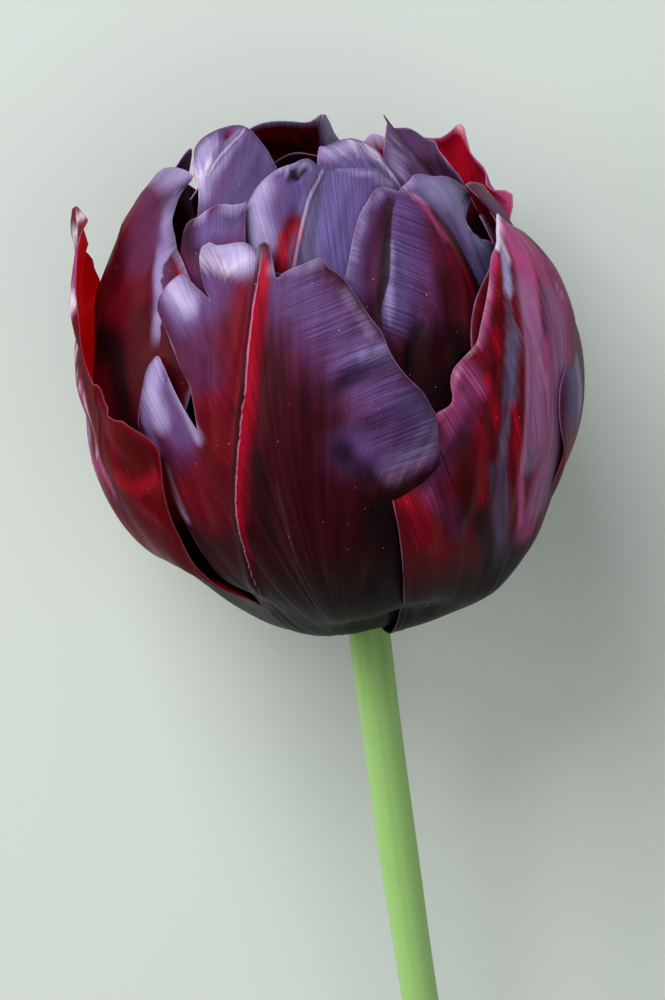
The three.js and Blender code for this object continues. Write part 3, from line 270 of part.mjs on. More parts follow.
// receptacle: [height, radius]
const RECEPTACLE = [[-3, 3.2], [-1.5, 3.4], [0, 3.5], [1.4, 3.35], [2.8, 3.0], [4.3, 2.45], [5.6, 1.75], [6.4, 1.25], [6.8, 0.8]];
function stemMesh() {
  const rings = [];
  const line = stemLine();
  for (const d of [220, 218, 200, 180, 160, 140, 120, 100, 80, 62, 46, 32, 20, 10, 6]) {
    const q = line.find((l) => Math.abs(l.d - d) < 1e-6);
    rings.push({ at: q.p, r: stemRadius(d) });
  }
  for (const [z, r] of RECEPTACLE) rings.push({ at: [0, z * Math.sin(2.7 * RAD) * (z < 0 ? 1 : 0), z], r });
  return tube(rings, 16);
}

// ---- pistil and stamens ---------------------------------------------------------------------
function pistilMesh() {
  const z0 = 6.85, s = PISTIL_LENGTH / 21;
  const profile = [[0, 1.2], [1.2, 2.1], [4, 2.8], [9, 3.1], [14, 2.8], [17, 2.3], [18.2, 2.6], [19.6, 3.5], [20.6, 3.3], [21, 1.2]];
  return tube(profile.map(([z, r]) => ({ at: [0, 0, z0 + z * s], r })), 12, (a, k) => 1 + (k >= 5 ? 0.22 : 0.06) * Math.cos(3 * a));
}
function stamenMesh(i) {
  const a = (i * 60 + 30) * RAD, s = ANTHER_LENGTH / 11;
  const profile = [[2.0, 6.5, 0.35], [3.0, 8.5, 0.5], [4.4, 11.5, 0.5], [5.5, 14.2, 0.45], [5.8, 14.9, 1.0], [6.1, 16.8, 1.3], [6.3, 19.5, 1.35], [6.3, 22.5, 1.2], [6.1, 25.2 * 1, 0.6]];
  return tube(profile.map(([r, z, w]) => ({ at: [r * Math.cos(a), r * Math.sin(a), z > 14.5 ? 14.5 + (z - 14.5) * s : z], r: w })), 8);
}

// ---- build ------------------------------------------------------------------------------------
const COLOURS = { petal: 0x3b0f22, petalInner: 0x4a1a3a, stem: 0x86b468, pistil: 0x9aa85a, stamen: 0x1c1420 };
const CENTRE = CENTRE_OFFSET;
const group = new THREE.Group();
group.name = 'black_hero_tulip';
function add(name, { pos, tri }, colour, rough) {
  let volume = 0;
  const v = (i) => new THREE.Vector3(pos[3 * i], pos[3 * i + 1], pos[3 * i + 2]);
  for (let k = 0; k < tri.length; k += 3) volume += v(tri[k]).dot(v(tri[k + 1]).cross(v(tri[k + 2]))) / 6;
  if (volume < 0) for (let k = 0; k < tri.length; k += 3) [tri[k + 1], tri[k + 2]] = [tri[k + 2], tri[k + 1]];
  const g = new THREE.BufferGeometry();
  g.setAttribute('position', new THREE.Float32BufferAttribute(pos, 3));
  g.setIndex(tri);
  g.computeVertexNormals();
  const m = new THREE.Mesh(g, new THREE.MeshStandardMaterial({ color: colour, roughness: rough, metalness: 0 }));
  m.name = name;
  group.add(m);
}
add('stem', stemMesh(), COLOURS.stem, 0.55);
for (const petal of PETALS) add(petal.name, petalMesh(petal), petal.name.startsWith('outer') ? COLOURS.petal : COLOURS.petalInner, 0.5);
add('pistil', pistilMesh(), COLOURS.pistil, 0.6);
for (let i = 0; i < 6; i++) add(`stamen_${i + 1}`, stamenMesh(i), COLOURS.stamen, 0.7);

export default group;
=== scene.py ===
"""A double late tulip, cut and lying on its side: the looks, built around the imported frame."""
import bpy
import json
import math
import numpy as np
from mathutils import Matrix, Vector


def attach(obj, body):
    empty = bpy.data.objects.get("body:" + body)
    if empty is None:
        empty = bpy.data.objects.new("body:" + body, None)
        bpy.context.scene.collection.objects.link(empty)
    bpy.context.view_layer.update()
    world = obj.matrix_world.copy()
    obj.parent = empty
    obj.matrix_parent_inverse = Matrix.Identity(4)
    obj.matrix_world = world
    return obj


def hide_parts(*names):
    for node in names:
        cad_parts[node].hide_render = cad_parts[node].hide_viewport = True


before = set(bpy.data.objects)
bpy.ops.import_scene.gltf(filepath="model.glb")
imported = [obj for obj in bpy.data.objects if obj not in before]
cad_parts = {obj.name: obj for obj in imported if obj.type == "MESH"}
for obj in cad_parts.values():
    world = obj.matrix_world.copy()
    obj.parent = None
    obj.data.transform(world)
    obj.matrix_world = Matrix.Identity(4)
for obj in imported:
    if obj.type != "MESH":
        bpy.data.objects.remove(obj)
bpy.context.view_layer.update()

# ------------------------------------------------------------------ dimensions, as in the CAD (mm)
HEAD_R = 39.0
RISE = math.radians(7.0)
FLAT = 1.9
CENTRE = (0.46, -108.11)
STEM_TOP, STEM_END, STEM_LEN = 3.2, 2.9, 220.0
STEM_SIDE = [-2.7, -1.2, 1.6, 3.4]
STEM_SAG = 1.42
RAD = math.pi / 180
SA, CA = math.sin(RISE), math.cos(RISE)


def lying(p):
    """bloom frame (x to the side that faces up, z to the tips) in mm -> row frame in metres"""
    p = np.asarray(p, float)
    w = p[..., 2] - HEAD_R
    return np.stack([p[..., 1] - CENTRE[0], -SA * p[..., 0] + CA * w - CENTRE[1], CA * p[..., 0] + SA * w + HEAD_R - FLAT], -1) / 1000


def lying_dir(d):
    return np.stack([d[..., 1], -SA * d[..., 0] + CA * d[..., 2], CA * d[..., 0] + SA * d[..., 2]], -1)


# ------------------------------------------------------------------ petals
# az, h, tb, fb, kz: side of the bloom, height and start of the attachment, how tall the shell is.
# gam: how the fibres fan out. margin: [u, sideways angle, angle from the pole]. tab: the shell's
# size, off: how far each place lies out of it (mm). paint: strokes of colour and relief along
# lines on the petal: [kind, side, amount, radius, softness, [x, y, z, ...]] in mm.
# Among the paint strokes, the near-black ones are partly painted shade, the white ones painted highlight, the lilac,
# violet, blue and pink ones partly painted sheen, and the red ones on inner faces partly painted glow.
PETALS = json.loads(r'''
[
{"name":"outer_petal_front","az":-12,"h":0.1,"tb":6.18,"fb":24,"kz":1.0,"gam":[[-1,0.8],[-0.8,1.3],[-0.7,1.4],[-0.62,1.6],[-0.58,2.5],[-0.51,2.9],[-0.4,2.5],[0,1.8],[0.4,2.1],[0.6,1.9],[0.76,1.3],[1,0.8]],"margin":[[-1,
-26.2,54.7],[-0.96,-27.6,62.9],[-0.92,-30.2,73.7],[-0.89,-32.6,84.0],[-0.86,-33.3,95.2],[-0.82,-37.1,99.4],[-0.8,-39.3,104.1],[-0.78,-38.1,109.3],[-0.76,-36.1,115.0],[-0.74,-34.0,119.6],[-0.71,-30.5,121.9],[-0.68,-28.4,
119.1],[-0.65,-25.6,113.4],[-0.62,-22.7,106.9],[-0.595,-19.8,101.4],[-0.58,-19.6,104.4],[-0.565,-19.9,111.1],[-0.55,-22.3,117.9],[-0.53,-25.6,126.0],[-0.51,-28.2,133.2],[-0.49,-27.8,134.9],[-0.465,-26.5,136.5],[-0.44,
-24.3,138.1],[-0.41,-21.2,138.9],[-0.38,-18.9,136.8],[-0.35,-16.4,133.5],[-0.325,-12.6,128.9],[-0.31,-13.6,130.9],[-0.295,-14.8,134.8],[-0.28,-15.5,140.0],[-0.26,-14.7,142.9],[-0.24,-13.1,143.1],[-0.21,-11.2,141.4],
[-0.175,-9.1,140.6],[-0.14,-7.0,140.1],[-0.11,-4.7,139.5],[-0.085,-3.0,138.0],[-0.07,-1.9,136.1],[-0.06,-1.7,133.5],[-0.045,-1.4,136.4],[-0.03,-0.9,137.3],[0,0.1,137.3],[0.025,1.3,136.3],[0.045,2.1,132.6],[0.07,3.0,
127.7],[0.1,4.8,128.6],[0.14,8.6,129.6],[0.18,12.1,130.5],[0.2,12.9,129.7],[0.23,13.8,127.8],[0.27,16.1,125.7],[0.31,18.0,122.7],[0.35,20.0,118.3],[0.39,21.7,114.7],[0.43,23.3,111.6],[0.47,24.3,107.1],[0.51,25.5,103.8],
[0.56,27.8,99.9],[0.6,29.7,97.5],[0.64,31.4,93.7],[0.68,32.6,90.8],[0.72,32.7,85.7],[0.76,33.0,82.7],[0.82,34.0,77.0],[0.88,35.0,69.0],[0.94,33.0,59.0],[1,28.0,46.0]],"tab":[[0.93,0.93,0.93,0.93,0.93,0.93,0.93,0.93,
0.93],[0.8937,0.9128,0.9312,0.9517,0.964,0.9561,0.9445,0.9318,0.9114],[0.8984,0.9243,0.9484,0.9701,0.9814,0.9753,0.9656,0.9507,0.9259],[0.9021,0.9258,0.9499,0.9723,0.9878,0.9878,0.9831,0.9659,0.9353],[0.9047,0.9252,
0.9462,0.9707,0.99,0.9964,0.9973,0.9771,0.94],[0.9075,0.9222,0.9379,0.9626,0.9881,1.0109,1.0195,0.9878,0.9381],[0.91,0.9178,0.9272,0.9504,0.985,1.0266,1.0433,0.9973,0.935]],"off":[[0.0,-0.001,-0.002,-0.005,-0.012,-0.025,
-0.046,-0.073,-0.104],[0.0,0.002,0.003,0.001,-0.011,-0.04,-0.097,-0.198,-0.371],[0.0,0.011,0.019,0.017,-0.002,-0.045,-0.115,-0.209,-0.322],[0.0,0.039,0.072,0.072,0.035,-0.038,-0.119,-0.179,-0.124],[0.0,0.116,0.224,0.232,
0.146,-0.008,-0.128,-0.256,-0.039],[0.0,0.281,0.602,0.613,0.415,0.073,0.067,-0.566,-0.042],[0.0,0.535,1.491,1.394,0.951,0.0,2.206,-0.135,-0.783]],"cross":[0.3023,0.193,-0.9305],"step":0.82,"rows":84,"warp":[[[0.87,0.0,
0.28],3.04,[38.8,8.0,33.6,37.6,10.8,33.8,36.8,13.4,35.2]],[[-0.67,0.84,2.06],5.16,[18.1,-16.1,12.2]],[[-0.28,0.16,0.85],6.68,[20.0,-7.8,5.3]],[[-0.6,0.34,1.85],4.55,[18.0,-1.3,3.4,19.7,4.1,4.0]]],"paint":[["crimson",2,
0.85,5.46,6.07,[29.9,-20.3,32.2,32.4,-16.8,44.5,30.3,-13.8,56.0,28.8,-10.2,61.8]],["dark",2,0.3,3.04,3.64,[26.8,-23.1,28.6,26.0,-20.6,21.7]],["plum",2,0.9,3.64,4.55,[25.7,-10.8,64.3,27.7,-15.3,59.1,28.5,-17.6,54.1]],
["plum",2,0.85,3.64,4.55,[19.4,-20.1,62.2,26.5,-18.6,56.7,30.5,-17.0,51.2]],["crimson",2,0.8,2.43,3.04,[31.4,-17.2,48.8,32.7,-17.1,43.2]],["red",2,0.12,1.82,2.73,[32.2,-16.6,47.5,33.2,-16.7,40.2]],["plum",2,0.85,3.64,
4.55,[24.3,-23.8,49.9,26.0,-24.1,45.5,28.2,-23.0,40.5]],["violet",2,0.7,3.04,4.25,[22.1,-11.7,67.1,26.6,-15.2,60.6]],["violet",2,0.75,2.73,3.64,[19.4,-20.1,62.2,25.5,-18.2,58.5]],["violet",2,0.75,2.58,3.64,[24.3,-23.8,
49.9,26.0,-24.2,46.4,28.6,-22.0,42.5]],["lilac",2,0.85,2.12,3.34,[20.1,-13.8,67.2,23.0,-10.9,67.0,26.5,-8.5,65.3]],["white",2,0.4,0.91,1.37,[21.2,-15.0,65.5,25.7,-11.1,64.1,26.3,-8.9,65.2]],["lilac",2,0.75,1.97,3.04,
[19.5,-20.0,62.7,24.4,-17.7,59.9]],["white",2,0.2,0.76,1.21,[19.4,-20.1,62.2,23.9,-18.4,59.7]],["lilac",2,0.68,1.67,2.73,[23.5,-24.2,52.1,23.7,-25.4,47.8,25.9,-24.9,44.1]],["lilac",2,0.6,1.06,1.52,[26.7,-22.5,49.4,29.8,
-21.3,45.2,31.2,-20.0,42.0]],["plum",2,0.55,0.91,1.52,[25.5,-23.3,48.0,27.7,-23.1,43.7,28.4,-22.7,40.5]],["blue",2,0.6,0.76,1.06,[21.7,-26.7,47.5,23.5,-26.9,43.1,25.4,-25.8,39.2]],["lilac",2,0.3,0.61,1.06,[26.3,-25.0,
36.6,26.4,-24.5,32.2,26.2,-23.7,28.5]],["plum",2,0.85,5.16,6.98,[32.9,-3.6,60.9,36.0,-0.0,55.9,38.5,3.6,49.7,40.2,7.4,42.4]],["plum",2,0.75,3.95,5.16,[39.4,1.7,38.5,39.4,7.3,37.4]],["violet",2,0.66,3.95,6.07,[31.8,-3.6,
62.5,35.0,0.4,58.2,37.8,3.8,52.5,40.1,6.9,46.5,39.6,10.5,40.2]],["violet",2,0.7,3.64,4.55,[39.5,3.5,39.0,39.1,8.8,37.6,38.5,12.9,37.9]],["blue",2,0.35,1.37,2.43,[38.3,3.9,51.1,39.2,7.7,52.1,40.3,9.3,50.7]],["blue",2,
0.25,1.67,2.73,[40.6,9.3,45.1,40.0,12.4,42.9]],["lilac",2,0.35,0.91,1.52,[30.0,-4.9,64.4,31.0,-1.0,63.9,31.0,2.0,64.8]],["lilac",2,0.16,0.76,1.21,[34.4,4.6,60.2,38.0,7.2,54.4]],["lilac",2,0.3,0.76,1.21,[38.6,5.6,51.4,
39.4,9.2,52.8]],["pink",2,0.22,1.06,1.67,[39.2,6.7,33.9,38.7,9.7,34.4,38.3,13.0,35.4]],["plum",2,0.5,1.37,1.82,[30.2,-6.6,62.9,33.6,-7.8,56.7]],["dark",2,0.66,1.52,2.43,[39.1,0.1,39.2,39.4,1.4,36.4,39.2,4.0,33.2]],
["dark",2,0.42,1.37,2.43,[38.6,0.3,47.4,38.8,3.4,48.7,39.7,6.9,49.5,40.2,9.9,50.8]],["dark",2,0.6,1.37,2.12,[36.4,-11.6,38.8,36.0,-11.8,32.6,33.5,-12.0,25.7]],["dark",2,0.8,3.34,5.46,[37.6,4.8,28.6,33.0,5.1,19.3,26.7,
3.9,11.0]],["dark",2,0.96,27,8,"z"],["wine",2,0.9,1.06,1.06,[29.0,-5.7,64.5,33.4,-8.4,56.7,35.5,-11.1,46.6,35.5,-13.6,38.9,32.7,-15.5,29.2]],["wine",2,0.6,1.21,1.52,[29.3,-9.1,61.7,32.4,-11.1,55.5,34.5,-13.2,47.5]],
["red",2,0.4,0.64,0.91,[29.2,-5.6,64.9,33.0,-8.1,57.0,35.5,-11.1,46.6,35.2,-13.4,40.3]],["red",2,0.25,0.46,0.76,[35.2,-13.4,40.3,33.8,-15.1,32.5]],["relief",2,0.55,0.83,0.1,[25.9,-6.1,67.2,31.6,-8.5,59.5,33.5,-10.2,54.1,
34.5,-12.5,48.1,34.3,-14.8,36.4,33.3,-15.8,31.6,30.8,-16.1,24.2,25.8,-15.7,15.8,16.6,-14.1,7.2]],["relief",2,-0.7,0.61,0.2,[27.5,-6.9,65.6,32.2,-10.1,56.9,34.0,-12.5,50.4,34.0,-15.2,40.2]],["relief",2,-0.7,1.06,0.2,
[30.0,-4.9,64.4,34.0,-7.2,56.7,36.3,-10.1,47.5,35.8,-12.7,35.8]],["relief",2,0.6,1.82,0.3,[35.4,-2.5,56.2,37.9,-4.8,47.0,38.2,-7.1,37.0,35.5,-7.7,25.6]],["relief",2,-1.0,1.37,0.3,[38.6,-0.6,46.8,39.0,3.3,48.2,39.4,6.6,
49.1,40.1,10.3,51.0]],["relief",2,0.8,1.21,0.3,[38.1,-0.7,49.2,38.4,3.3,50.9,38.9,8.1,52.9]],["relief",2,0.7,1.21,0.3,[39.4,0.6,42.2,40.0,6.4,44.2,40.8,10.8,45.5]],["relief",2,-0.9,1.52,0.3,[39.3,-0.6,39.8,39.1,2.2,35.9,
38.2,6.3,31.4]],["relief",2,0.8,1.06,0.3,[39.5,2.5,39.5,39.3,5.8,36.8,38.9,8.6,33.7]],["relief",2,0.6,1.21,0.3,[21.7,-15.1,65.1,29.0,-13.2,59.4,31.6,-15.0,52.0,33.0,-17.0,41.7]],["relief",2,-0.8,0.91,0.3,[24.9,-17.0,
60.1,29.8,-16.2,54.2,31.9,-17.4,46.0,32.6,-18.1,37.3]],["relief",2,0.5,1.06,0.3,[19.3,-20.8,61.6,26.3,-19.4,55.3,30.4,-19.7,47.5]],["relief",2,-0.5,1.06,0.3,[28.3,-22.4,40.4,29.3,-21.6,33.8,28.7,-20.0,25.6]],["relief",2,
0.35,1.06,0.3,[38.2,-4.6,34.5,36.2,-3.5,25.1,31.2,-4.5,15.8]],["relief",2,-0.4,1.06,0.3,[37.9,1.4,29.3,34.1,1.9,20.2,28.4,0.4,12.3]],["relief",2,-0.4,0.61,0.3,[25.6,-23.1,48.8,27.0,-23.8,44.2,28.2,-23.1,39.9]],["cross",
2,1,4.86,5.46,[34.2,0.7,59.7,38.0,4.2,52.7,40.5,8.1,46.5,39.4,9.8,38.8]],["stri",2,0.7,4.55,6.07,[32.9,-1.5,61.2,37.7,3.2,52.8,40.3,7.5,45.2,39.2,9.1,37.3]],["dark",2,0.28,3.04,3.95,[32.5,-17.3,43.2,32.9,-17.5,35.7,31.5,
-17.2,27.5]],["lilac",2,0.2,2.28,2.73,[39.3,7.3,34.7,38.8,11.2,36.5,38.3,13.4,39.3]]],"fine_u":[],"lines":[["rib",0.9,[26.81,-5.57,67.24,29.84,-7.17,62.81,33.03,-9.44,55.86,34.29,-10.53,52.62,34.98,-11.55,48.53,35.21,
-12.29,46.8,35.06,-13.53,42.18,34.44,-14.52,38.1,33.37,-15.68,32.19,32.46,-15.95,28.88,30.77,-15.83,24.27,28.77,-15.64,19.97,26.1,-15.13,15.63,17.63,-14.46,9.11,16.43,-13.76,6.76]],["fold",0.05,[37.17,-9.43,35.6,36.91,
-9.46,33.71,36.3,-9.09,29.79,34.62,-8.99,24.93,32.64,-8.98,20.22,29.9,-8.67,16.09]]]},
{"name":"outer_petal_right","az":50,"h":-0.3,"tb":5.95,"fb":24,"kz":1.0,"gam":[[-1,0.8],[0,1.3],[1,0.8]],"margin":[[-1,-28.9,42.6],[-0.95,-33.7,53.5],[-0.9,-37.1,63.6],[-0.86,-38.9,70.5],[-0.82,-39.7,76.1],[-0.79,-36.9,
78.3],[-0.76,-33.0,80.6],[-0.74,-29.7,82.2],[-0.72,-28.7,83.3],[-0.7,-29.2,85.6],[-0.68,-29.2,89.8],[-0.66,-28.4,93.0],[-0.64,-26.9,94.2],[-0.61,-23.2,95.1],[-0.59,-21.8,97.0],[-0.56,-21.1,100.2],[-0.52,-19.3,102.9],
[-0.48,-16.1,104.5],[-0.44,-12.2,106.2],[-0.4,-9.9,109.6],[-0.36,-6.7,113.2],[-0.31,-3.7,116.5],[-0.25,1.0,120.8],[-0.18,5.5,123.3],[-0.1,9.2,125.9],[0,13.8,128.8],[0.08,15.5,127.2],[0.15,17.8,125.7],[0.22,23.8,122.5],
[0.3,28.0,119.1],[0.38,27.0,114.0],[0.46,31.0,109.0],[0.54,34.0,103.0],[0.62,36.0,97.0],[0.7,37.0,90.0],[0.8,37.0,80.0],[0.9,34.0,65.0],[1,28.0,44.0]],"tab":[[0.98,0.98,0.98,0.98,0.98,0.98,0.98,0.98,0.98],[1.0017,0.9979,
0.9934,0.9918,0.991,0.9789,0.9615,0.945,0.9284],[1.004,1.0085,1.0079,1.0113,1.0164,1.0016,0.9785,0.9584,0.9386],[1.0068,1.0099,1.0082,1.0128,1.0192,1.0044,0.9811,0.9606,0.94],[1.0097,1.0095,1.0009,1.0069,1.0155,1.0025,
0.9812,0.9608,0.94],[1.0125,1.0088,0.9876,0.9935,1.0028,0.9939,0.9782,0.9604,0.9419],[1.015,1.0079,0.9713,0.9762,0.985,0.9812,0.9732,0.9598,0.945]],"off":[[0.109,0.069,0.028,-0.013,-0.056,-0.097,-0.134,-0.165,-0.196],
[0.408,0.186,0.056,-0.037,-0.116,-0.185,-0.255,-0.259,-0.205],[0.497,0.224,0.055,-0.072,-0.176,-0.23,-0.249,-0.237,-0.217],[0.298,0.187,0.041,-0.101,-0.245,-0.273,-0.242,-0.175,-0.09],[0.084,0.236,0.093,-0.019,-0.201,
-0.294,-0.27,-0.157,-0.047],[0.157,0.616,0.191,0.359,0.148,-0.207,-0.339,-0.151,-0.011],[0.348,0.81,-1.05,1.363,1.01,0.065,-0.652,-0.089,0.0]],"step":0.95,"rows":72,"ruf":0.14,"warp":[[[-0.06,1.57,0.18],6.37,[11.5,35.1,
50.6,12.9,35.9,45.4]],[[-1.94,-0.4,1.55],3.34,[38.9,7.3,32.1,38.3,10.7,33.1,37.0,13.6,34.6]],[[-0.69,0.4,2.13],4.86,[22.5,5.0,5.1,21.3,7.5,4.9]],[[0.56,0.61,-1.71],6.98,[17.7,25.2,13.1,17.3,20.2,8.1]]],
"paint":[["crimson",2,0.9,0.1,0.45,"v"],["crimson",2,0.9,6.68,7.59,[30.6,21.2,44.6,34.3,17.2,37.4,36.2,13.4,31.1,34.2,11.5,21.6]],["plum",2,0.75,4.55,4.55,[16.2,35.4,48.7,20.8,34.0,41.0,23.6,31.1,31.5,20.9,28.0,20.3,
20.6,23.9,13.1]],["plum",2,0.8,2.73,3.34,[31.5,19.5,43.6,33.8,17.1,38.7,34.8,14.1,35.0,36.2,11.7,31.4]],["plum",2,0.6,1.82,2.43,[36.5,11.5,28.5,34.7,14.4,25.5,32.4,14.9,21.9]],["pink",2,0.92,2.28,1.37,[14.2,30.2,59.8,
17.6,31.4,55.6,21.4,31.1,50.8,24.3,30.4,46.0]],["pink",2,0.6,1.67,1.52,[23.9,30.8,45.8,25.5,30.0,38.5,26.4,28.4,31.4]],["pink",2,0.56,2.28,2.12,[22.3,32.7,43.2,23.9,31.0,33.2,23.2,28.6,24.1,21.8,25.5,16.4]],["plum",2,
0.85,5.16,3.95,[10.8,36.2,51.8,14.1,36.5,46.4,17.2,36.0,41.2]],["pink",2,0.5,3.64,3.34,[13.5,35.3,51.7,17.0,35.6,46.4,18.2,35.3,41.6]],["pink",2,0.97,0.68,0.61,[24.9,29.3,46.8,27.2,28.2,39.3,28.0,26.7,32.2,27.5,25.3,
26.1,23.5,24.5,17.9]],["red",2,0.5,0.53,0.61,[29.2,25.6,35.0,29.1,25.2,29.7,27.2,24.8,24.3]],["pink",2,0.6,0.76,1.06,[20.3,26.9,58.9,24.6,25.3,55.0,27.6,23.8,50.8,29.0,22.2,47.7]],["pink",2,0.5,1.06,1.82,[30.5,19.3,46.2,
31.1,20.5,43.7,31.4,21.3,41.8]],["pink",2,0.6,0.76,1.21,[30.6,19.2,46.1,31.9,17.8,43.8,33.1,16.9,41.3,35.5,14.9,39.9]],["pink",2,0.45,1.37,1.82,[32.6,18.2,41.2,34.3,16.5,38.7,34.9,14.4,36.5]],["pink",2,0.2,0.91,1.21,
[36.8,11.6,29.2,36.3,12.5,27.0]],["pink",2,0.7,2.12,1.82,[10.9,31.9,59.1,12.8,33.3,55.9,16.1,34.2,52.7]],["lilac",2,0.3,2.28,2.12,[21.0,31.0,52.3,24.4,30.5,45.7,26.3,29.3,37.3,26.7,27.4,28.5]],["lilac",2,0.22,2.73,3.04,
[17.4,34.7,49.1,20.1,34.4,40.7,22.4,31.8,31.1,20.9,28.0,20.3]],["red",2,0.75,0.83,0.91,[21.3,27.2,57.9,23.7,26.9,55.2,25.6,26.2,52.8]],["red",2,0.7,0.91,1.06,[27.6,25.1,49.1,28.5,25.1,46.6]],["red",2,0.7,0.61,1.06,[30.6,
22.6,43.0,31.3,22.8,40.2,31.1,23.3,36.3]],["red",2,0.7,0.27,0.38,[29.3,25.5,38.6,29.2,25.6,35.2]],["red",2,0.6,0.24,0.38,[30.3,24.7,39.6,30.1,24.8,37.1]],["red",2,0.4,0.91,1.37,[33.1,20.3,36.4,32.9,20.1,30.0,32.3,18.6,
25.0]],["red",2,0.3,1.67,2.28,[37.1,8.0,30.2,36.2,10.3,25.9,31.7,11.8,18.2]],["red",2,0.35,1.06,1.82,[36.7,8.9,25.0,33.4,10.1,19.7]],["dark",2,0.6,1.37,2.12,[34.2,18.1,35.6,34.7,16.9,30.5,32.9,16.6,23.9]],["dark",2,0.88,
1.67,2.12,[31.2,18.7,22.7,26.6,19.0,16.4,21.9,18.5,10.1]],["dark",2,0.5,0.46,0.61,[29.5,24.2,44.3,29.8,24.3,42.6]],["dark",2,0.4,0.61,0.76,[25.2,26.5,52.7,25.6,26.6,50.8]],["slate",2,0.8,0.61,0.76,[20.0,28.5,56.7,24.3,
27.9,52.5,26.0,27.3,47.9]],["dark",2,0.5,0.27,0.38,[23.9,27.7,52.7,25.8,27.5,49.3,27.7,26.9,45.7]],["dark",2,0.45,0.33,0.46,[26.6,27.8,46.2,28.0,27.1,42.4,29.0,26.1,39.3]],["slate",2,0.9,1.14,0.91,[26.0,27.4,47.9,28.6,
26.4,43.0,29.7,25.4,39.0]],["dark",2,0.6,0.46,0.61,[29.2,25.6,42.8,30.0,25.2,39.7,30.7,24.1,36.5]],["slate",2,0.75,0.76,1.06,[30.2,25.0,38.5,30.7,23.5,33.6,30.2,22.1,27.5]],["slate",2,0.7,1.52,1.52,[31.3,22.2,29.4,27.7,
21.2,20.7,21.1,20.7,11.0]],["dark",2,0.35,0.3,0.46,[31.7,21.9,32.7,31.5,20.6,26.7,26.7,20.1,17.4]],["dark",2,0.3,0.3,0.46,[30.5,23.3,30.5,29.5,22.0,24.3,21.9,21.4,12.4]],["dark",2,0.5,0.46,0.61,[26.1,26.5,50.2,28.1,25.8,
46.1,30.4,24.2,39.4,31.5,21.8,31.1,30.2,20.5,23.2]],["dark",2,0.42,0.61,0.76,[17.6,33.9,51.8,19.9,33.9,45.4,20.3,34.0,39.0,20.4,33.4,33.3]],["dark",2,0.3,0.27,0.46,[15.9,30.6,58.0,20.0,30.6,54.2,22.6,30.1,49.8]],["dark",
2,0.35,0.3,0.46,[22.3,32.7,43.2,23.0,31.7,35.9,24.3,29.8,28.9,23.3,27.0,21.3]],["dark",2,0.25,0.27,0.46,[22.1,31.9,46.3,25.6,30.4,38.4,25.6,28.8,31.0]],["lilac",2,0.4,0.38,0.61,[21.4,31.3,50.8,24.0,30.4,44.8,26.2,29.0,
37.3]],["lilac",2,0.32,0.46,0.61,[23.5,31.5,40.7,24.6,29.8,30.6,22.7,27.8,22.5]],["lilac",2,0.3,0.53,0.76,[21.9,33.1,35.3,21.9,31.4,27.9,19.5,28.7,19.0]],["lilac",2,0.85,0.61,0.76,[17.5,28.4,60.0,20.5,28.3,56.8,23.3,
27.9,53.1]],["white",2,1,0.68,0.76,[12.5,28.8,62.3,16.1,28.3,60.6,18.9,27.6,59.3]],["white",2,0.6,0.46,0.76,[16.8,28.5,60.4,19.5,28.9,56.6]],["white",2,0.3,0.3,0.46,[13.4,29.0,62.1,11.1,31.8,58.5,14.9,34.4,53.8,14.0,
36.3,48.9]],["white",2,0.2,0.24,0.38,[18.2,27.7,59.7,25.2,24.9,54.5,28.7,22.3,48.4,31.6,18.1,44.5,33.0,16.8,41.6,35.5,14.4,40.0]],["dark",2,0.95,22,8,"z"],["relief",2,0.5,0.91,0.2,[18.9,28.9,58.2,23.9,28.9,50.4,27.9,
27.5,41.1,29.1,24.7,29.8,25.6,21.3,16.9]],["relief",2,-0.5,0.91,0.2,[22.3,27.3,56.3,27.9,25.4,47.6,31.9,22.8,37.1,31.5,19.9,25.3]],["relief",2,0.4,1.06,0.2,[30.9,21.8,43.0,33.8,19.0,33.8,32.4,15.5,21.8]],["relief",2,
-0.45,1.06,0.2,[32.5,19.0,41.0,34.8,15.6,33.3,33.3,12.7,21.1]],["relief",2,0.45,1.06,0.2,[35.1,15.4,37.9,36.5,11.5,28.5,32.1,9.8,18.1]],["relief",2,-0.3,0.91,0.2,[23.2,30.5,46.9,26.2,29.0,37.3,27.2,26.3,27.4]],["relief",
2,0.3,0.91,0.2,[20.8,32.6,47.4,24.2,31.0,36.4,24.2,27.8,24.6]],["relief",2,0.5,0.91,0.2,[15.9,28.7,61.3,25.2,25.6,54.3,29.0,22.4,47.7]],["stri",2,0.6,4.55,6.07,[33.0,16.8,41.6,36.5,11.5,28.5]]],"fine_u":[],"lines":[]},
{"name":"outer_petal_left","az":-90,"h":-0.6,"tb":6.27,"fb":24,"kz":1.0,"gam":[[-1,0.8],[0,1.3],[0.4,1.5],[0.8,1.2],[1,0.8]],"margin":[[-1,-28.0,46.0],[-0.9,-37.0,72.0],[-0.8,-41.0,88.0],[-0.65,-40.0,98.0],[-0.5,-35.0,
104.0],[-0.38,-29.0,109.0],[-0.26,-24.0,114.0],[-0.14,-19.0,120.0],[-0.06,-13.0,127.0],[0,11.9,133.3],[0.05,15.0,130.7],[0.1,17.3,127.1],[0.16,19.2,123.0],[0.22,20.9,118.7],[0.28,22.2,114.0],[0.32,22.2,110.9],[0.36,22.6,
107.5],[0.4,25.9,105.3],[0.44,26.8,106.1],[0.48,27.9,105.5],[0.52,29.2,103.8],[0.56,31.1,102.8],[0.59,31.5,101.0],[0.63,34.5,101.0],[0.67,36.9,101.7],[0.71,38.7,101.1],[0.76,41.8,100.4],[0.81,45.0,99.4],[0.86,47.2,97.2],
[0.9,47.7,93.7],[0.92,47.6,89.6],[0.94,45.4,78.6],[0.96,43.1,66.5],[0.98,38.7,52.7],[1,36.5,46.3]],"tab":[[0.93,0.93,0.93,0.93,0.93,0.93,0.93,0.93,0.93],[0.9834,0.9704,0.9574,0.9434,0.9348,0.9389,0.9439,0.947,0.95],
